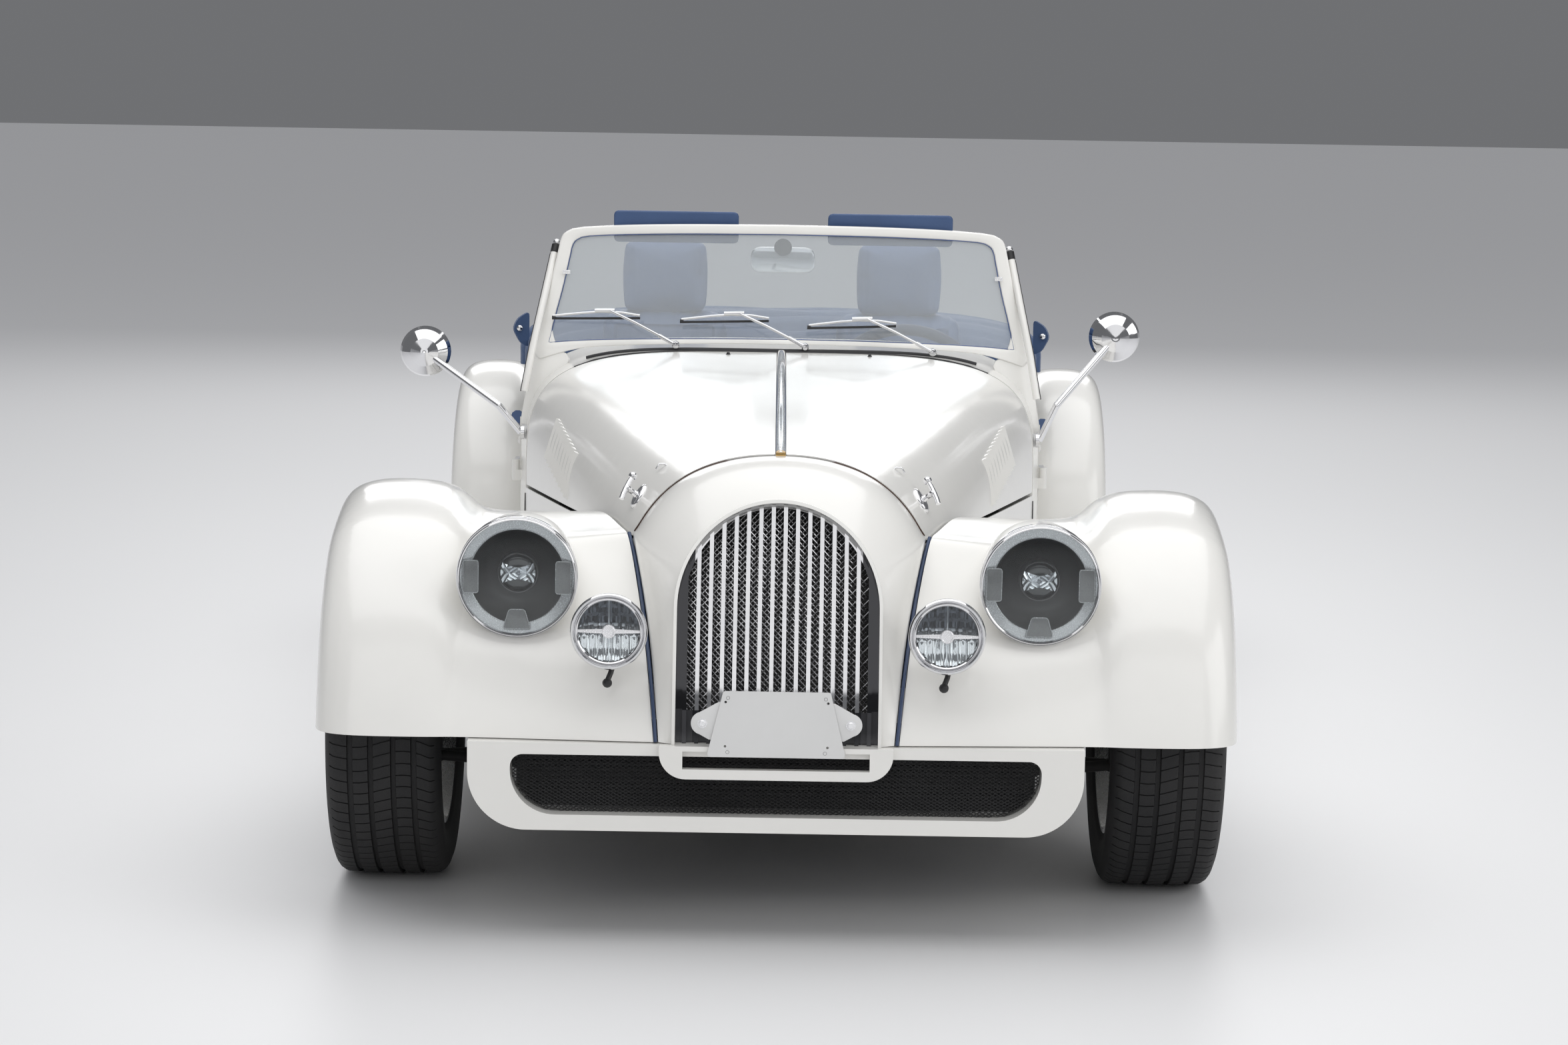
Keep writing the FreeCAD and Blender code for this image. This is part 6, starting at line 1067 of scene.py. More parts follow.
for number, (x, z) in enumerate(clip_places):
    place, normal = laid(glass_skin, (x, -0.6, z - 0.012), (0, 1, 0), 0.0022)
    if place is None:
        continue
    clip = rounded_plate("glass_clip_%d" % (number + 1),
                         eased(facing(place, [(x * CLIP_HALF[0], z * CLIP_HALF[1]) for x, z in
                                              ((-1, -1), (1, -1), (1, 1), (-1, 1))], 0),
                               0.0015, steps=3), 0.0035, 0.0006)
    finish_piece(clip, satin_silver, "body", angle=40)

# Glass edge: the pane is two sheets of glass with a clear sheet between them. Its bare,
# ground edge shows as a thin blue line inside the frame.
EDGE_RADIUS = 0.0011
edge_blue = new_finish("glass_edge", (0.03, 0.07, 0.22), 0.15, Coat_Weight=1.0)
edge_run = [screen_place(x * 0.9985, z, 0.0045) for x, z in inner_loop]
edge_run.append(edge_run[0])
glass_edge = drawn_wires("screen_glass_edge", [edge_run], EDGE_RADIUS, sides=1)
finish_piece(glass_edge, edge_blue, "body", angle=60)

# Wipers: three polished arms on domed spindles, each with a sprung bridge that carries a
# black rubber blade on the glass.
WIPER_PLACES = (("right", -0.242, 0.968), ("middle", 0.054, 0.968), ("left", 0.346, 0.960))
ROOT_RADIUS, ARM_RADIUS, BRIDGE_RADIUS = 0.0050, 0.0033, 0.0029
HEEL_RADIUS, BLADE_RADIUS, BLADE_CAP = 0.0052, 0.0030, 0.0045
BLADE_START, BLADE_LENGTH = -0.284, 0.200
pivot_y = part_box("wipers")[0].y + 0.012


def on_glass(pivot, dx, dz, lift):
    """A place over the glass, measured from a wiper's spindle."""
    x, z = pivot.x + dx, pivot.z + dz
    place = laid(glass_skin, (x, -0.6, z), (0, 1, 0), lift)[0]
    return place if place is not None else Vector((x, pivot.y - 0.004, z))


for word, pivot_x, pivot_z in WIPER_PLACES:
    pivot = Vector((pivot_x, pivot_y, pivot_z))
    spindle = turned("wiper_spindle_" + word,
                     ((0.0000, -0.0100), (0.0060, -0.0094), (0.0085, -0.0060), (0.0090, -0.0010),
                      (0.0078, 0.0040), (0.0078, 0.0140), (0.0000, 0.0140)),
                     pivot, steps=32, closed=False)
    finish_piece(spindle, chrome, "body")
    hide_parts("wipers")
    joint = on_glass(pivot, -0.152, 0.062, 0.019)
    start = Vector((pivot_x, pivot_y - 0.006, pivot_z))
    arm_line = [start, start.lerp(joint, 0.25) + Vector((0, -0.002, 0.002)),
                start.lerp(joint, 0.6) + Vector((0, -0.003, 0.003)), joint]
    for label, first, last, radius in (("root", 0, 2, ROOT_RADIUS),
                                       ("arm", 1, 4, ARM_RADIUS)):
        arm = drawn_wires("wiper_" + label + "_" + word, [arm_line[first:last]], radius, sides=2)
        finish_piece(arm, chrome, "body", angle=60)
    bridge_line = [on_glass(pivot, dx, dz, lift) for dx, dz, lift in
                   ((-0.284, 0.050, 0.008), (-0.215, 0.057, 0.0125), (-0.170, 0.060, 0.0155),
                    (-0.125, 0.060, 0.0125), (-0.084, 0.056, 0.008))]
    bridge = drawn_wires("wiper_bridge_" + word, [bridge_line], BRIDGE_RADIUS, sides=2)
    finish_piece(bridge, chrome, "body", angle=60)
    heel = drawn_wires("wiper_heel_" + word,
                       [[on_glass(pivot, -0.186, 0.0615, 0.0170),
                         on_glass(pivot, -0.140, 0.0625, 0.0180)]], HEEL_RADIUS, sides=2)
    finish_piece(heel, chrome, "body", angle=60)
    blade_line = [on_glass(pivot, BLADE_START + BLADE_LENGTH * i / 8, 0.0455 + 0.0062 * i / 8,
                           0.0030) for i in range(9)]
    blade = drawn_wires("wiper_blade_" + word, [blade_line], BLADE_RADIUS, sides=1)
    finish_piece(blade, seal_rubber, "body", angle=60)
    cap = drawn_wires("wiper_blade_cap_" + word,
                      [[blade_line[0] + Vector((x, -0.003, 0.002)) for x in (-0.004, 0.004)]],
                      BLADE_CAP, sides=2)
    finish_piece(cap, seal_rubber, "body", angle=60)

# Interior mirror: a chromed shell with rounded ends hangs by a short black stalk from a
# dark disc, which is stuck to the inside of the glass.
MIRROR_HALF = (0.0745, 0.030)
MIRROR_ROUND, MIRROR_THICK, MIRROR_EASING = 0.026, 0.018, 0.0055
DISC_HEIGHT, STALK_RADIUS = 1.182, 0.0075
dress(black_plastic, "interior_mirror")
mirror_low, mirror_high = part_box("interior_mirror")
middle = (mirror_low + mirror_high) / 2
shell = mesh_piece("interior_mirror_shell",
                   eased([(middle.x + x, mirror_low.y + 0.004, mirror_low.z + 0.034 + z)
                          for x, z in ((-MIRROR_HALF[0], -MIRROR_HALF[1]),
                                       (MIRROR_HALF[0], -MIRROR_HALF[1]), MIRROR_HALF,
                                       (-MIRROR_HALF[0], MIRROR_HALF[1]))],
                         MIRROR_ROUND, steps=8), [],
                   [tuple(range(36))])
thickened(shell, (0, MIRROR_THICK, 0), MIRROR_EASING, 4)
finish_piece(shell, chrome, "body", angle=45)
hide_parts("interior_mirror")
disc = turned("interior_mirror_disc", ((0.0000, -0.0010), (0.0190, -0.0010), (0.0205, 0.0005),
                                       (0.0205, 0.0040), (0.0000, 0.0040)),
              (middle.x, mirror_low.y - 0.0030, DISC_HEIGHT), steps=40, closed=False)
finish_piece(disc, black_plastic, "body")
stalk = drawn_wires("interior_mirror_stalk", [[(middle.x, mirror_low.y + 0.004, 1.180),
                                               (middle.x, mirror_low.y + 0.014, 1.158)]],
                    STALK_RADIUS, sides=3)
finish_piece(stalk, black_plastic, "body", angle=60)

# Sun visors: two foam pads, sewn into blue leathercloth with rounded corners. They are
# hinged behind the head rail, and stand folded up over it.
VISOR_ALONG, VISOR_ROUND = (0.1035, 0.3935), 0.014
VISOR_THICK, VISOR_EASING, VISOR_LEAN = 0.0130, 0.0048, 8
blue_hide = mottled("navy_leather", (0.048, 0.092, 0.205), (0.038, 0.075, 0.17), (0.36, 0.5),
                    scales=(6.0, 260.0), bump=0.25)
dress(blue_hide, "sun_visors")
for side, word in ((1, "left"), (-1, "right")):
    low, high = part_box("sun_visors")
    x0, x1 = VISOR_ALONG
    z0, z1 = low.z + 0.001, high.z
    lean = math.tan(math.radians(VISOR_LEAN))
    outline = eased([(side * x, low.y + 0.0006, z) for x, z in
                     ((x0, z0), (x1, z0), (x1, z1 - 0.0025), (x0, z1 - 0.0025))],
                    VISOR_ROUND, steps=6)
    pad = mesh_piece("sun_visor_" + word, outline, [], [tuple(range(len(outline)))])
    thickened(pad, (0, VISOR_THICK, 0), VISOR_EASING, 4)
    for vertex in pad.data.vertices:
        vertex.co.y += 0.0108 - (vertex.co.z - z0) * lean
    finish_piece(pad, blue_hide, "body", angle=50)
    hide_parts("sun_visors")

# Seats: foam pads in blue leather on a plain base: a cushion, a raked back with side
# bolsters, and a headrest. The pads swell between their edges, and sewn flutes part them.
SEAT_X, SEAT_HALF = 0.293, 0.196
PAD_VOXEL, PAD_SWELL, HEADREST_SWELL = 0.008, 0.009, 0.007
PANEL_HALF, FLUTE_PLACES = 0.125, (-0.1200, -0.0720, -0.0240, 0.0240, 0.0720, 0.1200)
SEAT_FLUTE, BACK_FLUTE, FLUTE_WIDTH = 0.0048, 0.0036, 0.0045
CUSHION_RECESS, BACK_RECESS = 0.014, 0.006
HEADREST_HALF, HEADREST_SEAM, SEAM_DEPTH = 0.102, 0.085, 0.0030
BACK_WAIST, BACK_RISE, BACK_TAPER = 0.62, 0.34, 0.20
dress(blue_hide, "seats")
seam_thread = mottled("seam_piping", (0.02, 0.04, 0.10), (0.026, 0.05, 0.12), (0.4, 0.55),
                      scales=(40.0, 900.0), bump=0.1)


def block_of(name, profile, x0, x1, easing, segments=4):
    """A block with a side outline of (along, height) points, from one side to the other."""
    made = mesh_piece(name, [(x0, y, z) for y, z in profile], [], [tuple(range(len(profile)))])
    return thickened(made, (x1 - x0, 0, 0), easing, segments)


def inflated(piece, swell):
    """Blows a closed pad up like a sewn cover, and keeps each point within its swell."""
    select_only(piece)
    cells = piece.modifiers.new("cells", "REMESH")
    cells.mode = "VOXEL"
    cells.voxel_size = PAD_VOXEL
    bpy.ops.object.modifier_apply(modifier="cells")
    start = [vertex.co.copy() for vertex in piece.data.vertices]
    scene = bpy.context.scene
    cover = piece.modifiers.new("cover", "CLOTH")
    cover.settings.effector_weights.gravity = 0
    cover.settings.use_pressure = True
    cover.settings.uniform_pressure_force = 4
    cover.settings.quality = 4
    cover.settings.tension_stiffness = 30
    cover.settings.compression_stiffness = 30
    cover.collision_settings.use_collision = False
    for number in range(1, 15):
        scene.frame_set(number)
    bpy.ops.object.modifier_apply(modifier="cover")
    scene.frame_set(1)
    for vertex, first in zip(piece.data.vertices, start):
        move = vertex.co - first
        if move.length > swell:
            vertex.co = first + move.normalized() * swell
    return piece


def sewn(piece, lines, depth, width):
    """Presses sewn channels, given as (point, direction across) planes, into a pad."""
    normals = [vertex.normal.copy() for vertex in piece.data.vertices]
    for vertex, normal in zip(piece.data.vertices, normals):
        for point, across, reach in lines:
            away = abs((vertex.co - Vector(point)).dot(Vector(across)))
            if away < width * 3 and reach(vertex.co, normal):
                vertex.co -= normal * depth * math.exp(-(away / width) ** 2)
    return piece


def mirrored(piece, name):
    """A copy on the car's other side, with its own mesh."""
    copy = bpy.data.objects.new(name, piece.data.copy())
    bpy.context.collection.objects.link(copy)
    copy.data.transform(Matrix.Scale(-1, 4, (1, 0, 0)))
    copy.data.flip_normals()
    return copy


def narrowed(piece):
    """Draws the upper part of a seat's back in towards its middle."""
    for vertex in piece.data.vertices:
        rise = max(vertex.co.z - BACK_WAIST, 0) / BACK_RISE
        vertex.co.x = SEAT_X + (vertex.co.x - SEAT_X) * (1 - BACK_TAPER * rise ** 2)


flutes = [((SEAT_X + offset, 0, 0), (1, 0, 0),
           lambda place, normal: abs(place.x - SEAT_X) < PANEL_HALF and abs(normal.x) < 0.6)
          for offset in FLUTE_PLACES]
cushion = block_of("seat_cushion_left",
                   [(0.078, 0.330), (0.078, 0.428), (0.140, 0.434), (0.300, 0.420),
                    (0.430, 0.392), (0.445, 0.330)], SEAT_X - SEAT_HALF + 0.008,
                   SEAT_X + SEAT_HALF - 0.008, 0.030)
inflated(cushion, PAD_SWELL)
for vertex in cushion.data.vertices:
    if vertex.co.z > 0.38 and abs(vertex.co.x - SEAT_X) <= PANEL_HALF:
        vertex.co.z -= CUSHION_RECESS
sewn(cushion, flutes, SEAT_FLUTE, FLUTE_WIDTH)
back_rest = block_of("seat_back_left",
                     [(0.432, 0.400), (0.5500, 0.948), (0.5760, 0.968), (0.6200, 0.966),
                      (0.6280, 0.948), (0.5560, 0.400)], SEAT_X - SEAT_HALF + 0.008,
                     SEAT_X + SEAT_HALF - 0.008, 0.028)
narrowed(back_rest)
inflated(back_rest, PAD_SWELL)
for vertex in back_rest.data.vertices:
    front = 0.432 + (vertex.co.z - 0.400) * 0.2154 + 0.03
    if abs(vertex.co.x - SEAT_X) < 0.122 and vertex.co.y < front and vertex.co.z < 0.93:
        vertex.co.y += BACK_RECESS
sewn(back_rest, flutes, BACK_FLUTE, FLUTE_WIDTH)
headrest = block_of("seat_headrest_left",
                    [(0.5570, 0.962), (0.5580, 1.128), (0.5760, 1.139), (0.6040, 1.139),
                     (0.6180, 1.120), (0.6180, 0.962)], SEAT_X - HEADREST_HALF,
                    SEAT_X + HEADREST_HALF, 0.020)
inflated(headrest, HEADREST_SWELL)
sewn(headrest, [((SEAT_X + offset, 0, 0), (1, 0, 0), lambda place, normal: abs(normal.x) < 0.75)
                for offset in (-HEADREST_SEAM, HEADREST_SEAM)], SEAM_DEPTH, 0.0030)
base = block_of("seat_base_left",
                [(0.086, 0.2640), (0.086, 0.3450), (0.470, 0.3450), (0.545, 0.400),
                 (0.553, 0.2640)], SEAT_X - SEAT_HALF + 0.016, SEAT_X + SEAT_HALF - 0.016, 0.010)
shell_back = block_of("seat_shell_left",
                      [(0.5480, 0.300), (0.6300, 0.930), (0.6340, 0.930), (0.5600, 0.300)],
                      SEAT_X - SEAT_HALF + 0.030, SEAT_X + SEAT_HALF - 0.030, 0.001, 1)
narrowed(shell_back)
for pad, material, fill in ((cushion, blue_hide, 0.8), (back_rest, blue_hide, 0.8),
                            (headrest, blue_hide, 0.8), (base, blue_hide, None),
                            (shell_back, black_plastic, None)):
    other = mirrored(pad, pad.name.replace("_left", "_right"))
    for piece in (pad, other):
        slot = "leather" if material is blue_hide else "black_plastic"
        finish_piece(piece, material, "body", angle=60)
        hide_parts("seats")

# Steering wheel: an alloy hub with three drilled spokes carries a round rim, sewn into
# dark leather. A plain black boss covers the hub, and the column goes on behind it.
WHEEL_PLACE, WHEEL_TILT = Vector((0.293, 0.130, 0.812)), 24
WHEEL_RADIUS, WHEEL_GRIP = 0.182, 0.0136
SPOKE_ANGLES, SPOKE_HOLES, SPOKE_THICK = (0, 180, 270), (0.070, 0.102, 0.134), 0.0040
COLUMN_RADIUS = 0.020
dress(blue_hide, "steering_wheel")
wheel_turn = (Matrix.Translation(WHEEL_PLACE)
              @ Matrix.Rotation(math.radians(WHEEL_TILT), 4, "X"))
rim_leather = mottled("rim_leather", (0.02, 0.035, 0.085), (0.016, 0.028, 0.07), (0.4, 0.55),
                      scales=(12.0, 400.0), bump=0.3)
rim = turned("steering_rim",
             [(WHEEL_RADIUS + WHEEL_GRIP * math.cos(math.radians(angle)),
               WHEEL_GRIP * math.sin(math.radians(angle))) for angle in range(0, 360, 24)],
             (0, 0, 0), steps=96)
boss = turned("steering_boss", ((0.0, -0.034), (0.030, -0.034), (0.044, -0.020), (0.046, 0.004),
                                (0.040, 0.012), (0.0, 0.016)), (0, 0, 0), steps=48, closed=False)
spokes = []
for number, angle in enumerate(SPOKE_ANGLES):
    spoke = rounded_plate("steering_spoke_%d" % (number + 1),
                          eased([(0.036, -0.0030, -0.019), (0.172, -0.0030, -0.012),
                                 (0.172, -0.0030, 0.012), (0.036, -0.0030, 0.019)], 0.004),
                          SPOKE_THICK, 0.0008)
    spoke.data.transform(Matrix.Rotation(math.radians(-angle), 4, "Y"))
    spokes.append(spoke)
    for hole_place in SPOKE_HOLES:
        hole = turned("steering_hole_%d_%d" % (number + 1, round(hole_place * 1000)),
                      ((0.0, -0.0002), (0.0065, -0.0002), (0.0078, 0.0010), (0.0078, 0.0034),
                       (0.0065, 0.0044), (0.0, 0.0044)), (hole_place, -0.0032, 0), steps=24,
                      closed=False)
        hole.data.transform(Matrix.Rotation(math.radians(-angle), 4, "Y"))
        hole.data.transform(wheel_turn)
        finish_piece(hole, black_plastic, "steering_wheel")
column = drawn_wires("steering_column", [[(0, -0.030, 0), (0, -0.100, 0)]], COLUMN_RADIUS,
                     sides=4)
for piece, material, slot in ((rim, rim_leather, "leather"),
                              (boss, black_plastic, "black_plastic"),
                              (column, black_plastic, "black_plastic"),
                              *((spoke, wheel_finish, "alloy") for spoke in spokes)):
    piece.data.transform(wheel_turn)
    finish_piece(piece, material, "steering_wheel", angle=50)
    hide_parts("steering_wheel")

# Dashboard: a padded blue roll over a painted panel, with two large dials ahead of the
# driver and four small ones in the middle. The dials are chromed rings over plain faces.
DIALS = ((0.245, 0.862, 0.043), (0.345, 0.862, 0.043), (-0.045, 0.880, 0.026),
         (0.025, 0.880, 0.026), (-0.045, 0.815, 0.026), (0.025, 0.815, 0.026))
dial_face = mottled("dial_face", (0.55, 0.55, 0.53), (0.50, 0.50, 0.48), (0.3, 0.4),
                    scales=(30.0, 600.0), bump=0.02, Coat_Weight=1.0)
needle_finish = new_finish("dial_needle", (0.4, 0.02, 0.015), 0.3)
dress(blue_hide, "dashboard")
dash_skin = skin("dashboard")
for number, (x, z, radius) in enumerate(DIALS):
    face_place, normal = laid(dash_skin, (x, 0.5, z), (0, -1, 0))
    if face_place is None:
        continue
    ring = turned("dial_ring_%d" % (number + 1),
                  ((radius * 0.90, 0.0030), (radius * 0.94, 0.0066), (radius, 0.0050),
                   (radius, -0.0010), (radius * 0.90, -0.0010)), face_place, steps=48)
    finish_piece(ring, chrome, "body")
    face = turned("dial_face_%d" % (number + 1),
                  ((0.0, 0.0012), (radius * 0.92, 0.0012), (radius * 0.92, -0.0010),
                   (0.0, -0.0010)), face_place, steps=40, closed=False)
    finish_piece(face, dial_face, "body")
    needle = drawn_wires("dial_needle_%d" % (number + 1),
                         [[face_place + Vector((radius * 0.15, 0.0022, radius * 0.12)),
                           face_place + Vector((-radius * 0.55, 0.0022, -radius * 0.45))]],
                         radius * 0.022, sides=1)
    finish_piece(needle, needle_finish, "body", angle=60)

# Folded hood: mohair cloth in soft folds behind the seats, with a welt along its front. A
# pointed flap with a chromed popper hangs over each side of the body.
HOOD_COLUMNS, HOOD_ROWS = 96, 60
CLOTH_THICK, FLAP_THICK, WELT_RADIUS = 0.0050, 0.0100, 0.0045
FOLD_DEPTH = 0.020
FOLDS = ((0.10, 0.022), (0.24, 0.030), (0.40, 0.026), (0.57, 0.030), (0.76, 0.024))
FLAP = ((0.0, 0.048), (0.036, 0.030), (0.050, 0.004), (0.026, -0.034), (0.0, -0.044))
weave, given, result = effect_group(
    "cloth_weave", (("Colour", COLOUR, (0.05, 0.1, 0.2, 1)),
                    ("Dark", COLOUR, (0.03, 0.06, 0.13, 1)), ("Threads", NUMBER, 520.0)),
    FINISH_OUTPUTS)
place = add_node(weave, "ShaderNodeTexCoord")
heights = []
for axis in ("X", "Y"):
    line = add_node(weave, "ShaderNodeTexWave", {"Vector": place.outputs["Object"],
                                                 "Scale": given["Threads"], "Distortion": 0.4,
                                                 "Detail": 1.0},
                    wave_type="BANDS", bands_direction=axis)
    heights.append(line.outputs["Fac"])
thread = add_node(weave, "ShaderNodeMath", {0: heights[0], 1: heights[1]}, operation="MULTIPLY")
fade = add_node(weave, "ShaderNodeTexNoise", {"Vector": place.outputs["Object"], "Scale": 9.0,
                                              "Detail": 4.0})
worn = add_node(weave, "ShaderNodeMath", {0: thread.outputs[0], 1: fade.outputs["Fac"]},
                operation="ADD")
shade = add_node(weave, "ShaderNodeMapRange", {"Value": worn.outputs[0], "From Min": 0.2,
                                               "From Max": 1.3})
dyed = add_node(weave, "ShaderNodeMix", {0: shade.outputs[0], 6: given["Dark"],
                                         7: given["Colour"]}, data_type="RGBA")
fuzz = add_node(weave, "ShaderNodeMapRange", {"Value": fade.outputs["Fac"], "To Min": 0.78,
                                              "To Max": 0.95})
for label, socket in (("Colour", dyed.outputs[2]), ("Roughness", fuzz.outputs[0]),
                      ("Height", thread.outputs[0])):
    weave.links.new(socket, result[label])
mohair = new_finish("navy_mohair", (0.045, 0.09, 0.2), 0.85, Sheen_Weight=0.25)
add_effect(mohair, weave, {"Colour": (0.052, 0.100, 0.215, 1), "Dark": (0.030, 0.062, 0.140, 1),
                           "Threads": 520.0}, 0.35)
dress(mohair, "folded_hood")
hood_low, hood_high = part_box("folded_hood")
hood_skin = skin("folded_hood")
points = []
for j in range(HOOD_ROWS + 1):
    along = j / HOOD_ROWS
    y = hood_low.y + 0.004 + (hood_high.y - hood_low.y - 0.008) * along
    for i in range(HOOD_COLUMNS + 1):
        angle = math.pi * i / HOOD_COLUMNS
        out = Vector((-math.cos(angle), 0, math.sin(angle) * 0.62)).normalized()
        start = Vector((0, y, 0.800))
        hit, normal = laid(hood_skin, start + out * 1.2, -out)
        if hit is None:
            hit = start + out * 0.5
        wander = 0.012 * math.sin(3.1 * hit.x + 9 * along) + 0.007 * math.sin(8.3 * hit.x + 5 * j)
        crease = min(abs(along + wander - middle) / width for middle, width in FOLDS)
        depth = 0.0015 + FOLD_DEPTH * math.exp(-(crease ** 2) * 1.8)
        depth += 0.0020 * (1 + math.sin(21 * hit.x + 17 * along)) * math.sin(angle)
        points.append(hit - out * depth)
bundle = mesh_piece("hood_bundle", points, [], net_faces(HOOD_COLUMNS, HOOD_ROWS))
wall = bundle.modifiers.new("wall", "SOLIDIFY")
wall.thickness = CLOTH_THICK
wall.offset = -1
bpy.ops.object.modifier_apply(modifier="wall")
turned_outwards(bundle)
finish_piece(bundle, mohair, "body", angle=70)
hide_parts("folded_hood")
welt_line = [points[i] + Vector((0, 0.004, 0.0)) for i in range(4, HOOD_COLUMNS - 3)]
welt = drawn_wires("hood_welt", [welt_line], WELT_RADIUS, sides=2)
finish_piece(welt, seam_thread, "body", angle=60)
for side, word in ((1, "left"), (-1, "right")):
    flap = mesh_piece("hood_flap_" + word,
                      eased([(side * (0.640 + x * 0.80), 0.6640 - x * 0.30, 0.902 + z)
                             for x, z in FLAP], 0.012, steps=4), [], [tuple(range(25))])
    select_only(flap)
    wall = flap.modifiers.new("wall", "SOLIDIFY")
    wall.thickness = FLAP_THICK
    wall.offset = 0
    bpy.ops.object.modifier_apply(modifier="wall")
    finish_piece(flap, mohair, "body", angle=40)
    popper = turned("hood_popper_" + word,
                    ((0.0, -0.0065), (0.0045, -0.0062), (0.0070, -0.0045), (0.0080, -0.0015),
                     (0.0080, 0.0020), (0.0, 0.0020)), (side * 0.6620, 0.6510, 0.908), steps=28,
                    closed=False)
    finish_piece(popper, chrome, "body")

# Hood quarters: the hood's side cloth is folded into a flat pad that hangs over the body
# behind each door, below the flap and its popper.
QUARTER_ALONG, QUARTER_UP = (0.636, 0.812), (0.716, 0.884)
QUARTER_ACROSS = (0.6145, 0.6400)
quarter = block_of("hood_quarter_left",
                   [(QUARTER_ALONG[0], QUARTER_UP[0] + 0.020), (QUARTER_ALONG[0], QUARTER_UP[1]),
                    (QUARTER_ALONG[1] - 0.030, QUARTER_UP[1] - 0.012),
                    (QUARTER_ALONG[1], QUARTER_UP[1] - 0.050),
                    (QUARTER_ALONG[1] - 0.012, QUARTER_UP[0] + 0.028),
                    (QUARTER_ALONG[0] + 0.060, QUARTER_UP[0])], *QUARTER_ACROSS, 0.0100)
for piece in (quarter, mirrored(quarter, "hood_quarter_right")):
    finish_piece(piece, mohair, "body", angle=60)

# Running boards: five strips of black rubber are stuck along each painted board, half sunk
# in its top, so that a foot does not slip on the paint.
STRIP_COUNT, STRIP_FIRST, STRIP_PITCH = 5, 0.662, 0.029
STRIP_RADIUS, STRIP_STEPS, STRIP_STEP = 0.0042, 15, 0.048
strip_rubber = mottled("step_rubber", (0.022, 0.022, 0.023), (0.035, 0.035, 0.036), (0.55, 0.7),
                       scales=(10.0, 900.0), bump=0.2)
board_skin = skin("running_boards")
for side, word in ((1, "left"), (-1, "right")):
    for number in range(STRIP_COUNT):
        x = side * (STRIP_FIRST + STRIP_PITCH * number)
        line = []
        for step in range(STRIP_STEPS):
            y = STRIP_STEP * step
            hit, normal = laid(board_skin, (x, y, 0.5), LOOK_DOWN, -0.0010)
            if hit is not None:
                line.append(hit)
        if len(line) < 2:
            continue
        strip = drawn_wires("step_strip_%s_%d" % (word, number + 1), [line], STRIP_RADIUS,
                            sides=1)
        finish_piece(strip, strip_rubber, "body", angle=60)

# Carpets: a piece of navy pile, bound with piping all round, lies loose on the floor of
# each footwell.
MAT_INNER, MAT_FRONT = 0.108, -0.255
MAT_WIDE, MAT_LONG, MAT_THICK = 0.482, 0.900, 0.0060
MAT_COLUMNS, MAT_ROWS, MAT_BINDING = 12, 24, 0.0042
pile = mottled("navy_carpet", (0.018, 0.030, 0.065), (0.026, 0.042, 0.085), (0.9, 1.0),
               scales=(60.0, 1500.0), bump=0.9)
floor_skin = skin("floor")
for side, word in ((1, "left"), (-1, "right")):
    mat_points = []
    for j in range(MAT_ROWS + 1):
        for i in range(MAT_COLUMNS + 1):
            x = side * (MAT_INNER + MAT_WIDE * i / MAT_COLUMNS)
            y = MAT_FRONT + MAT_LONG * j / MAT_ROWS
            hit, normal = laid(floor_skin, (x, y, 0.42), LOOK_DOWN, 0.0012)
            z = hit.z if hit is not None and hit.z < 0.30 else 0.2665
            mat_points.append((x, y, z + 0.0006 * math.sin(37 * x + 23 * y)))
    carpet = mesh_piece("floor_carpet_" + word, mat_points, [], net_faces(MAT_COLUMNS, MAT_ROWS))
    thickened(carpet, (0, 0, MAT_THICK))
    finish_piece(carpet, pile, "body", angle=50)
    row = MAT_COLUMNS + 1
    around = [*range(row), *range(2 * row - 1, (MAT_ROWS + 1) * row, row),
              *range((MAT_ROWS + 1) * row - 2, MAT_ROWS * row - 1, -1),
              *range((MAT_ROWS - 1) * row, -1, -row)]
    rim = [Vector(mat_points[i]) for i in around]
    binding = drawn_wires("carpet_binding_" + word,
                          [[point + Vector((0, 0, 0.0040)) for point in rim]], MAT_BINDING,
                          sides=1)
    finish_piece(binding, seam_thread, "body", angle=60)

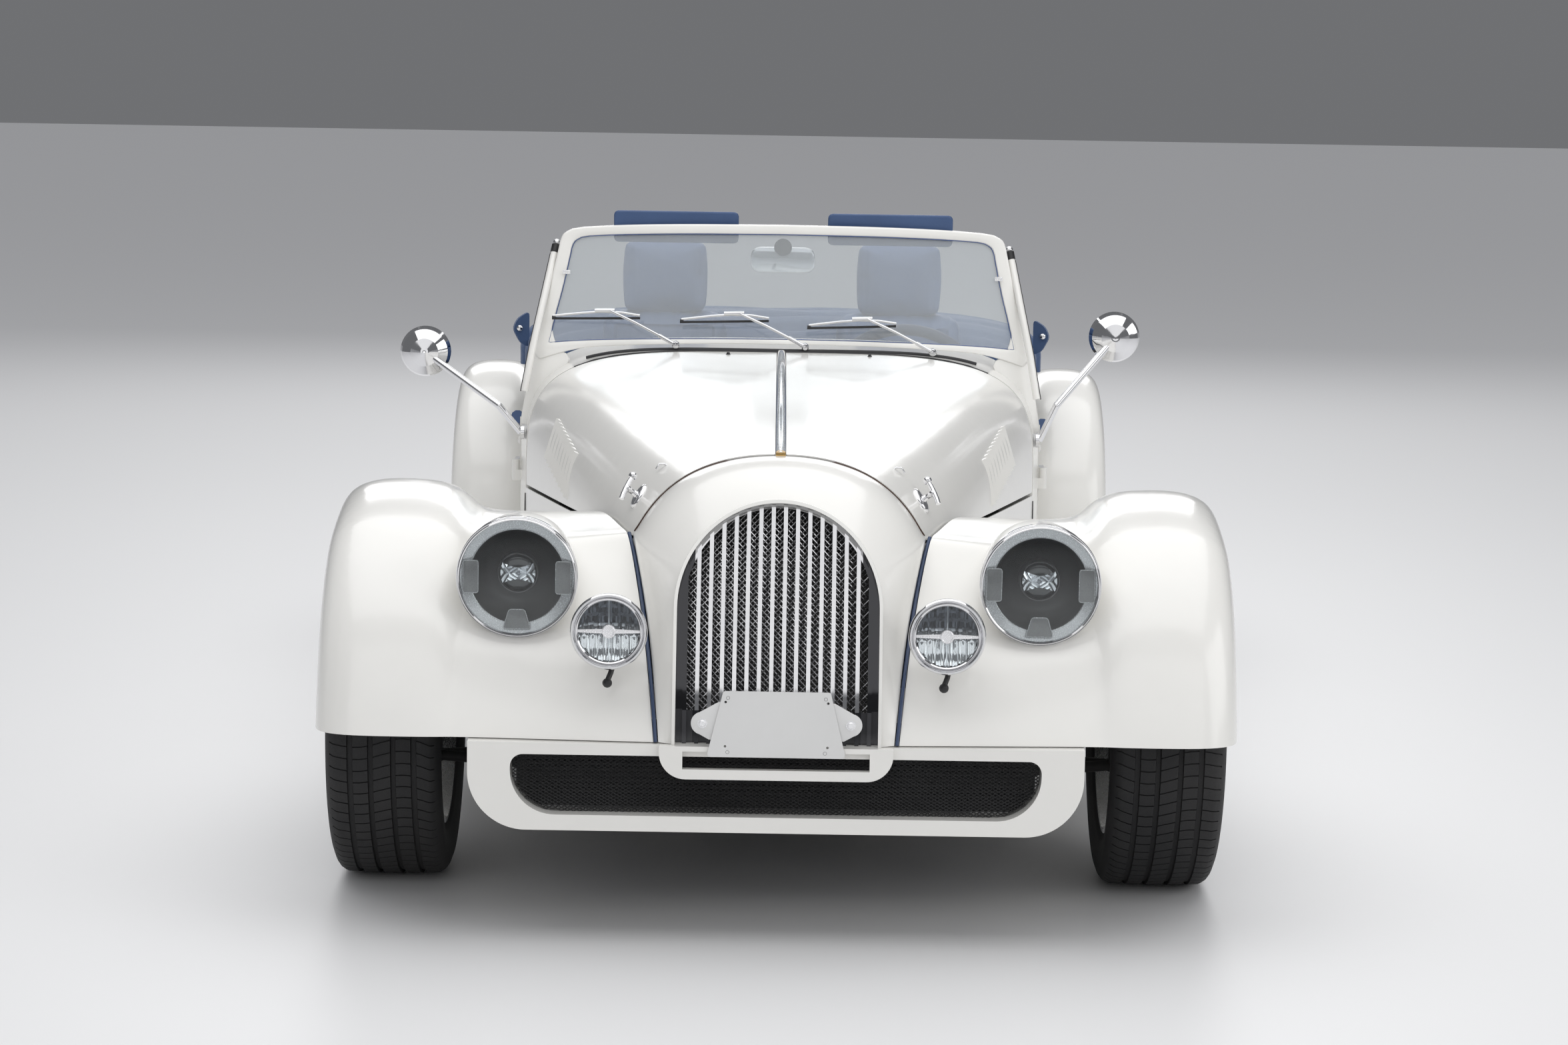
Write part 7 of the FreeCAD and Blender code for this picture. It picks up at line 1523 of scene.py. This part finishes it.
# Doors: each has a padded card in blue leather on its inner face, with a sewn border and a
# pull strap. Along its dipped top lie a thin roll and, outside it, a thicker cap of the same
# leather. They turn with the door.
CARD_ALONG, CARD_UP, CARD_THICK = (0.020, 0.560), (0.362, 0.380), 0.0050
CARD_ROWS, CARD_COLUMNS, CARD_SEAM = 30, 24, 15
STRAP_RADIUS, ROLL_RADIUS, DOOR_CAP = 0.0070, 0.0085, 0.0160
DOOR_CAP_X, DOOR_CAP_LIFT = 0.6220, 0.0040
for side, word in ((1, "left"), (-1, "right")):
    door_skin = skin("door_" + word)
    grid, kept = {}, []
    for j in range(CARD_ROWS + 1):
        for i in range(CARD_COLUMNS + 1):
            y = CARD_ALONG[0] + CARD_ALONG[1] * j / CARD_ROWS
            z = CARD_UP[0] + CARD_UP[1] * i / CARD_COLUMNS
            hit, normal = laid(door_skin, (0, y, z), (side, 0, 0), 0.0)
            if hit is not None and abs(hit.x) < 0.600:
                grid[(j, i)] = len(kept)
                border = min(j, CARD_ROWS - j, i) / 3
                rise = 0.0030 + 0.0050 * min(border, 1)
                groove = math.exp(-((i - CARD_SEAM) / 0.8) ** 2) * 0.0035
                kept.append((hit.x - side * (rise - groove), y, z))
    card_faces = [(grid[(j, i)], grid[(j + 1, i)], grid[(j + 1, i + 1)], grid[(j, i + 1)])
                  for j in range(CARD_ROWS) for i in range(CARD_COLUMNS)
                  if all(key in grid for key in ((j, i), (j + 1, i), (j + 1, i + 1), (j, i + 1)))]
    card = mesh_piece("door_card_" + word, kept, [], card_faces)
    thickened(card, (side * CARD_THICK, 0, 0))
    finish_piece(card, blue_hide, "door_" + word, angle=50)
    x = side * 0.5500
    strap = drawn_wires("door_strap_" + word,
                        [[(side * 0.5590, 0.250, 0.600), (x, 0.275, 0.604), (x, 0.380, 0.606),
                          (side * 0.5590, 0.405, 0.602)]], STRAP_RADIUS, sides=2)
    finish_piece(strap, rim_leather, "door_" + word, angle=60)
    roll_line = []
    for step in range(29):
        y = 0.016 + 0.020 * step
        hit, normal = laid(door_skin, (side * 0.590, y, 1.0), LOOK_DOWN, 0.0015)
        if hit is not None and hit.z > 0.55:
            roll_line.append(hit)
    if len(roll_line) > 3:
        roll = drawn_wires("door_roll_" + word, [roll_line], ROLL_RADIUS, sides=2)
        finish_piece(roll, blue_hide, "door_" + word, angle=60)
        cap_line = [Vector((side * DOOR_CAP_X, place.y, place.z + DOOR_CAP_LIFT))
                    for place in roll_line]
        cap = drawn_wires("door_cap_" + word, [cap_line], DOOR_CAP, sides=3)
        finish_piece(cap, blue_hide, "door_" + word, angle=60)

# Tail lamps: a round lens of moulded red plastic stands on each side of the tail. A chromed
# ring of pressed brass clamps it to the body.
TAIL_LAMP_X = 0.300
lens_red = mottled("tail_lens", (0.42, 0.012, 0.01), (0.36, 0.01, 0.01), (0.06, 0.12),
                   scales=(9.0, 120.0), bump=0.02, Coat_Weight=1.0)
dress(lens_red, "tail_lamps")
for side, word in ((1, "left"), (-1, "right")):
    lamp_low, lamp_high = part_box("tail_lamps")
    lamp_z = (lamp_low.z + lamp_high.z) / 2
    ring = turned("tail_ring_" + word,
                  ((0.0372, -0.0230), (0.0420, -0.0230), (0.0424, -0.0120), (0.0398, -0.0090),
                   (0.0376, -0.0100)), (side * TAIL_LAMP_X, lamp_high.y - 0.010, lamp_z), steps=56)
    finish_piece(ring, chrome, "body")

# Lower duct: a moulded shroud of black plastic is fixed behind the valance's mesh. Nine
# level slats across it guide the air to the cooler.
DUCT_HALF, DUCT_FRONT, DUCT_UP = 0.490, -1.8600, (0.2560, 0.3640)
DUCT_THICK, SLAT_HALF, SLAT_PITCH = 0.0080, 0.470, 0.0105
duct = mesh_piece("lower_duct",
                  eased([(-DUCT_HALF, DUCT_FRONT, DUCT_UP[0]), (DUCT_HALF, DUCT_FRONT, DUCT_UP[0]),
                         (DUCT_HALF, DUCT_FRONT, DUCT_UP[1]), (-DUCT_HALF, DUCT_FRONT, DUCT_UP[1])],
                        0.030), [], [tuple(range(24))])
thickened(duct, (0, DUCT_THICK, 0))
finish_piece(duct, black_plastic, "body")
slats = [[(x, -1.8615, 0.268 + SLAT_PITCH * row) for x in (-SLAT_HALF, SLAT_HALF)]
         for row in range(9)]
duct_slats = drawn_wires("lower_duct_slats", slats, 0.0022, sides=1)
finish_piece(duct_slats, seal_rubber, "body", angle=60)

# Wheel fittings: five chromed steel nuts hold each alloy wheel to its hub, round a plain
# pressed cap. They turn with the wheel.
NUT_COUNT, NUT_CIRCLE, NUT_TURN, NUT_REACH = 5, 0.054, 0.3, 0.12
for place in WHEEL_PLACES:
    rim_low, rim_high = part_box("rim_" + place)
    middle = (rim_low + rim_high) / 2
    out = 1 if middle.x > 0 else -1
    outwards = Matrix.Rotation(math.radians(out * 90), 4, "Z")
    rim_skin = skin("rim_" + place)
    for number in range(NUT_COUNT):
        angle = 2 * math.pi * number / NUT_COUNT + NUT_TURN
        start = Vector((middle.x + out * 0.4, middle.y + NUT_CIRCLE * math.cos(angle),
                        middle.z + NUT_CIRCLE * math.sin(angle)))
        hit, normal = laid(rim_skin, start, (-out, 0, 0))
        if hit is None or abs(hit.x - middle.x) > NUT_REACH:
            continue
        nut = turned("wheel_nut_%s_%d" % (place, number + 1),
                     ((0.0, -0.0120), (0.0060, -0.0112), (0.0086, -0.0080), (0.0092, -0.0060),
                      (0.0092, -0.0010), (0.0112, 0.0), (0.0112, 0.0020), (0.0, 0.0020)),
                     (0, 0, 0), steps=18, closed=False)
        nut.data.transform(Matrix.Translation(hit) @ outwards)
        finish_piece(nut, chrome, "wheel_" + place, angle=30)
    hit, normal = laid(rim_skin, Vector((middle.x + out * 0.4, middle.y, middle.z)), (-out, 0, 0))
    if hit is not None:
        cap = turned("wheel_cap_" + place,
                     ((0.0, -0.0100), (0.0180, -0.0092), (0.0270, -0.0060), (0.0290, -0.0010),
                      (0.0290, 0.0020), (0.0, 0.0020)), (0, 0, 0), steps=48, closed=False)
        cap.data.transform(Matrix.Translation(hit) @ outwards)
        finish_piece(cap, chrome, "wheel_" + place)

# Exhaust tips: a sleeve of polished steel with a rolled lip is pushed over the end of each
# tail pipe. A black disc closes its bore a little way in: soot, and painted shade for the hollow
# pipe.
TIP_X, TIP_INSET, TIP_SEARCH = 0.210, 0.010, 0.002
pipe_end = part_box("exhaust")[1].y
exhaust_skin = skin("exhaust")
for side, word in ((1, "left"), (-1, "right")):
    hits = []
    for step in range(-30, 31):
        hit, normal = laid(exhaust_skin, (side * TIP_X + step * TIP_SEARCH, pipe_end - TIP_INSET,
                                           0.0), (0, 0, 1))
        if hit is not None:
            hits.append(hit)
    if not hits:
        continue
    centre_x = (hits[0].x + hits[-1].x) / 2
    radius = abs(hits[-1].x - hits[0].x) / 2 + 0.001
    top_hit, normal = laid(exhaust_skin, (centre_x, pipe_end - TIP_INSET, 0.6), LOOK_DOWN)
    low_hit, normal = laid(exhaust_skin, (centre_x, pipe_end - TIP_INSET, 0.0), (0, 0, 1))
    centre = (centre_x, pipe_end, (top_hit.z + low_hit.z) / 2)
    tip = turned("exhaust_tip_" + word,
                 ((radius + 0.0012, -0.070), (radius + 0.0030, -0.066), (radius + 0.0030, -0.004),
                  (radius + 0.0015, 0.0), (radius - 0.0040, -0.002), (radius - 0.0045, -0.030),
                  (radius + 0.0006, -0.034)), centre, steps=48)
    finish_piece(tip, chrome, "body")
    # soot and painted shade: a black disc stands in for the dark hollow of the bore
    dark = turned("exhaust_bore_" + word,
                  ((0.0, -0.0100), (radius - 0.0030, -0.0100), (radius - 0.0030, -0.0180),
                   (0.0, -0.0180)), centre, steps=36, closed=False)
    finish_piece(dark, black_plastic, "body")
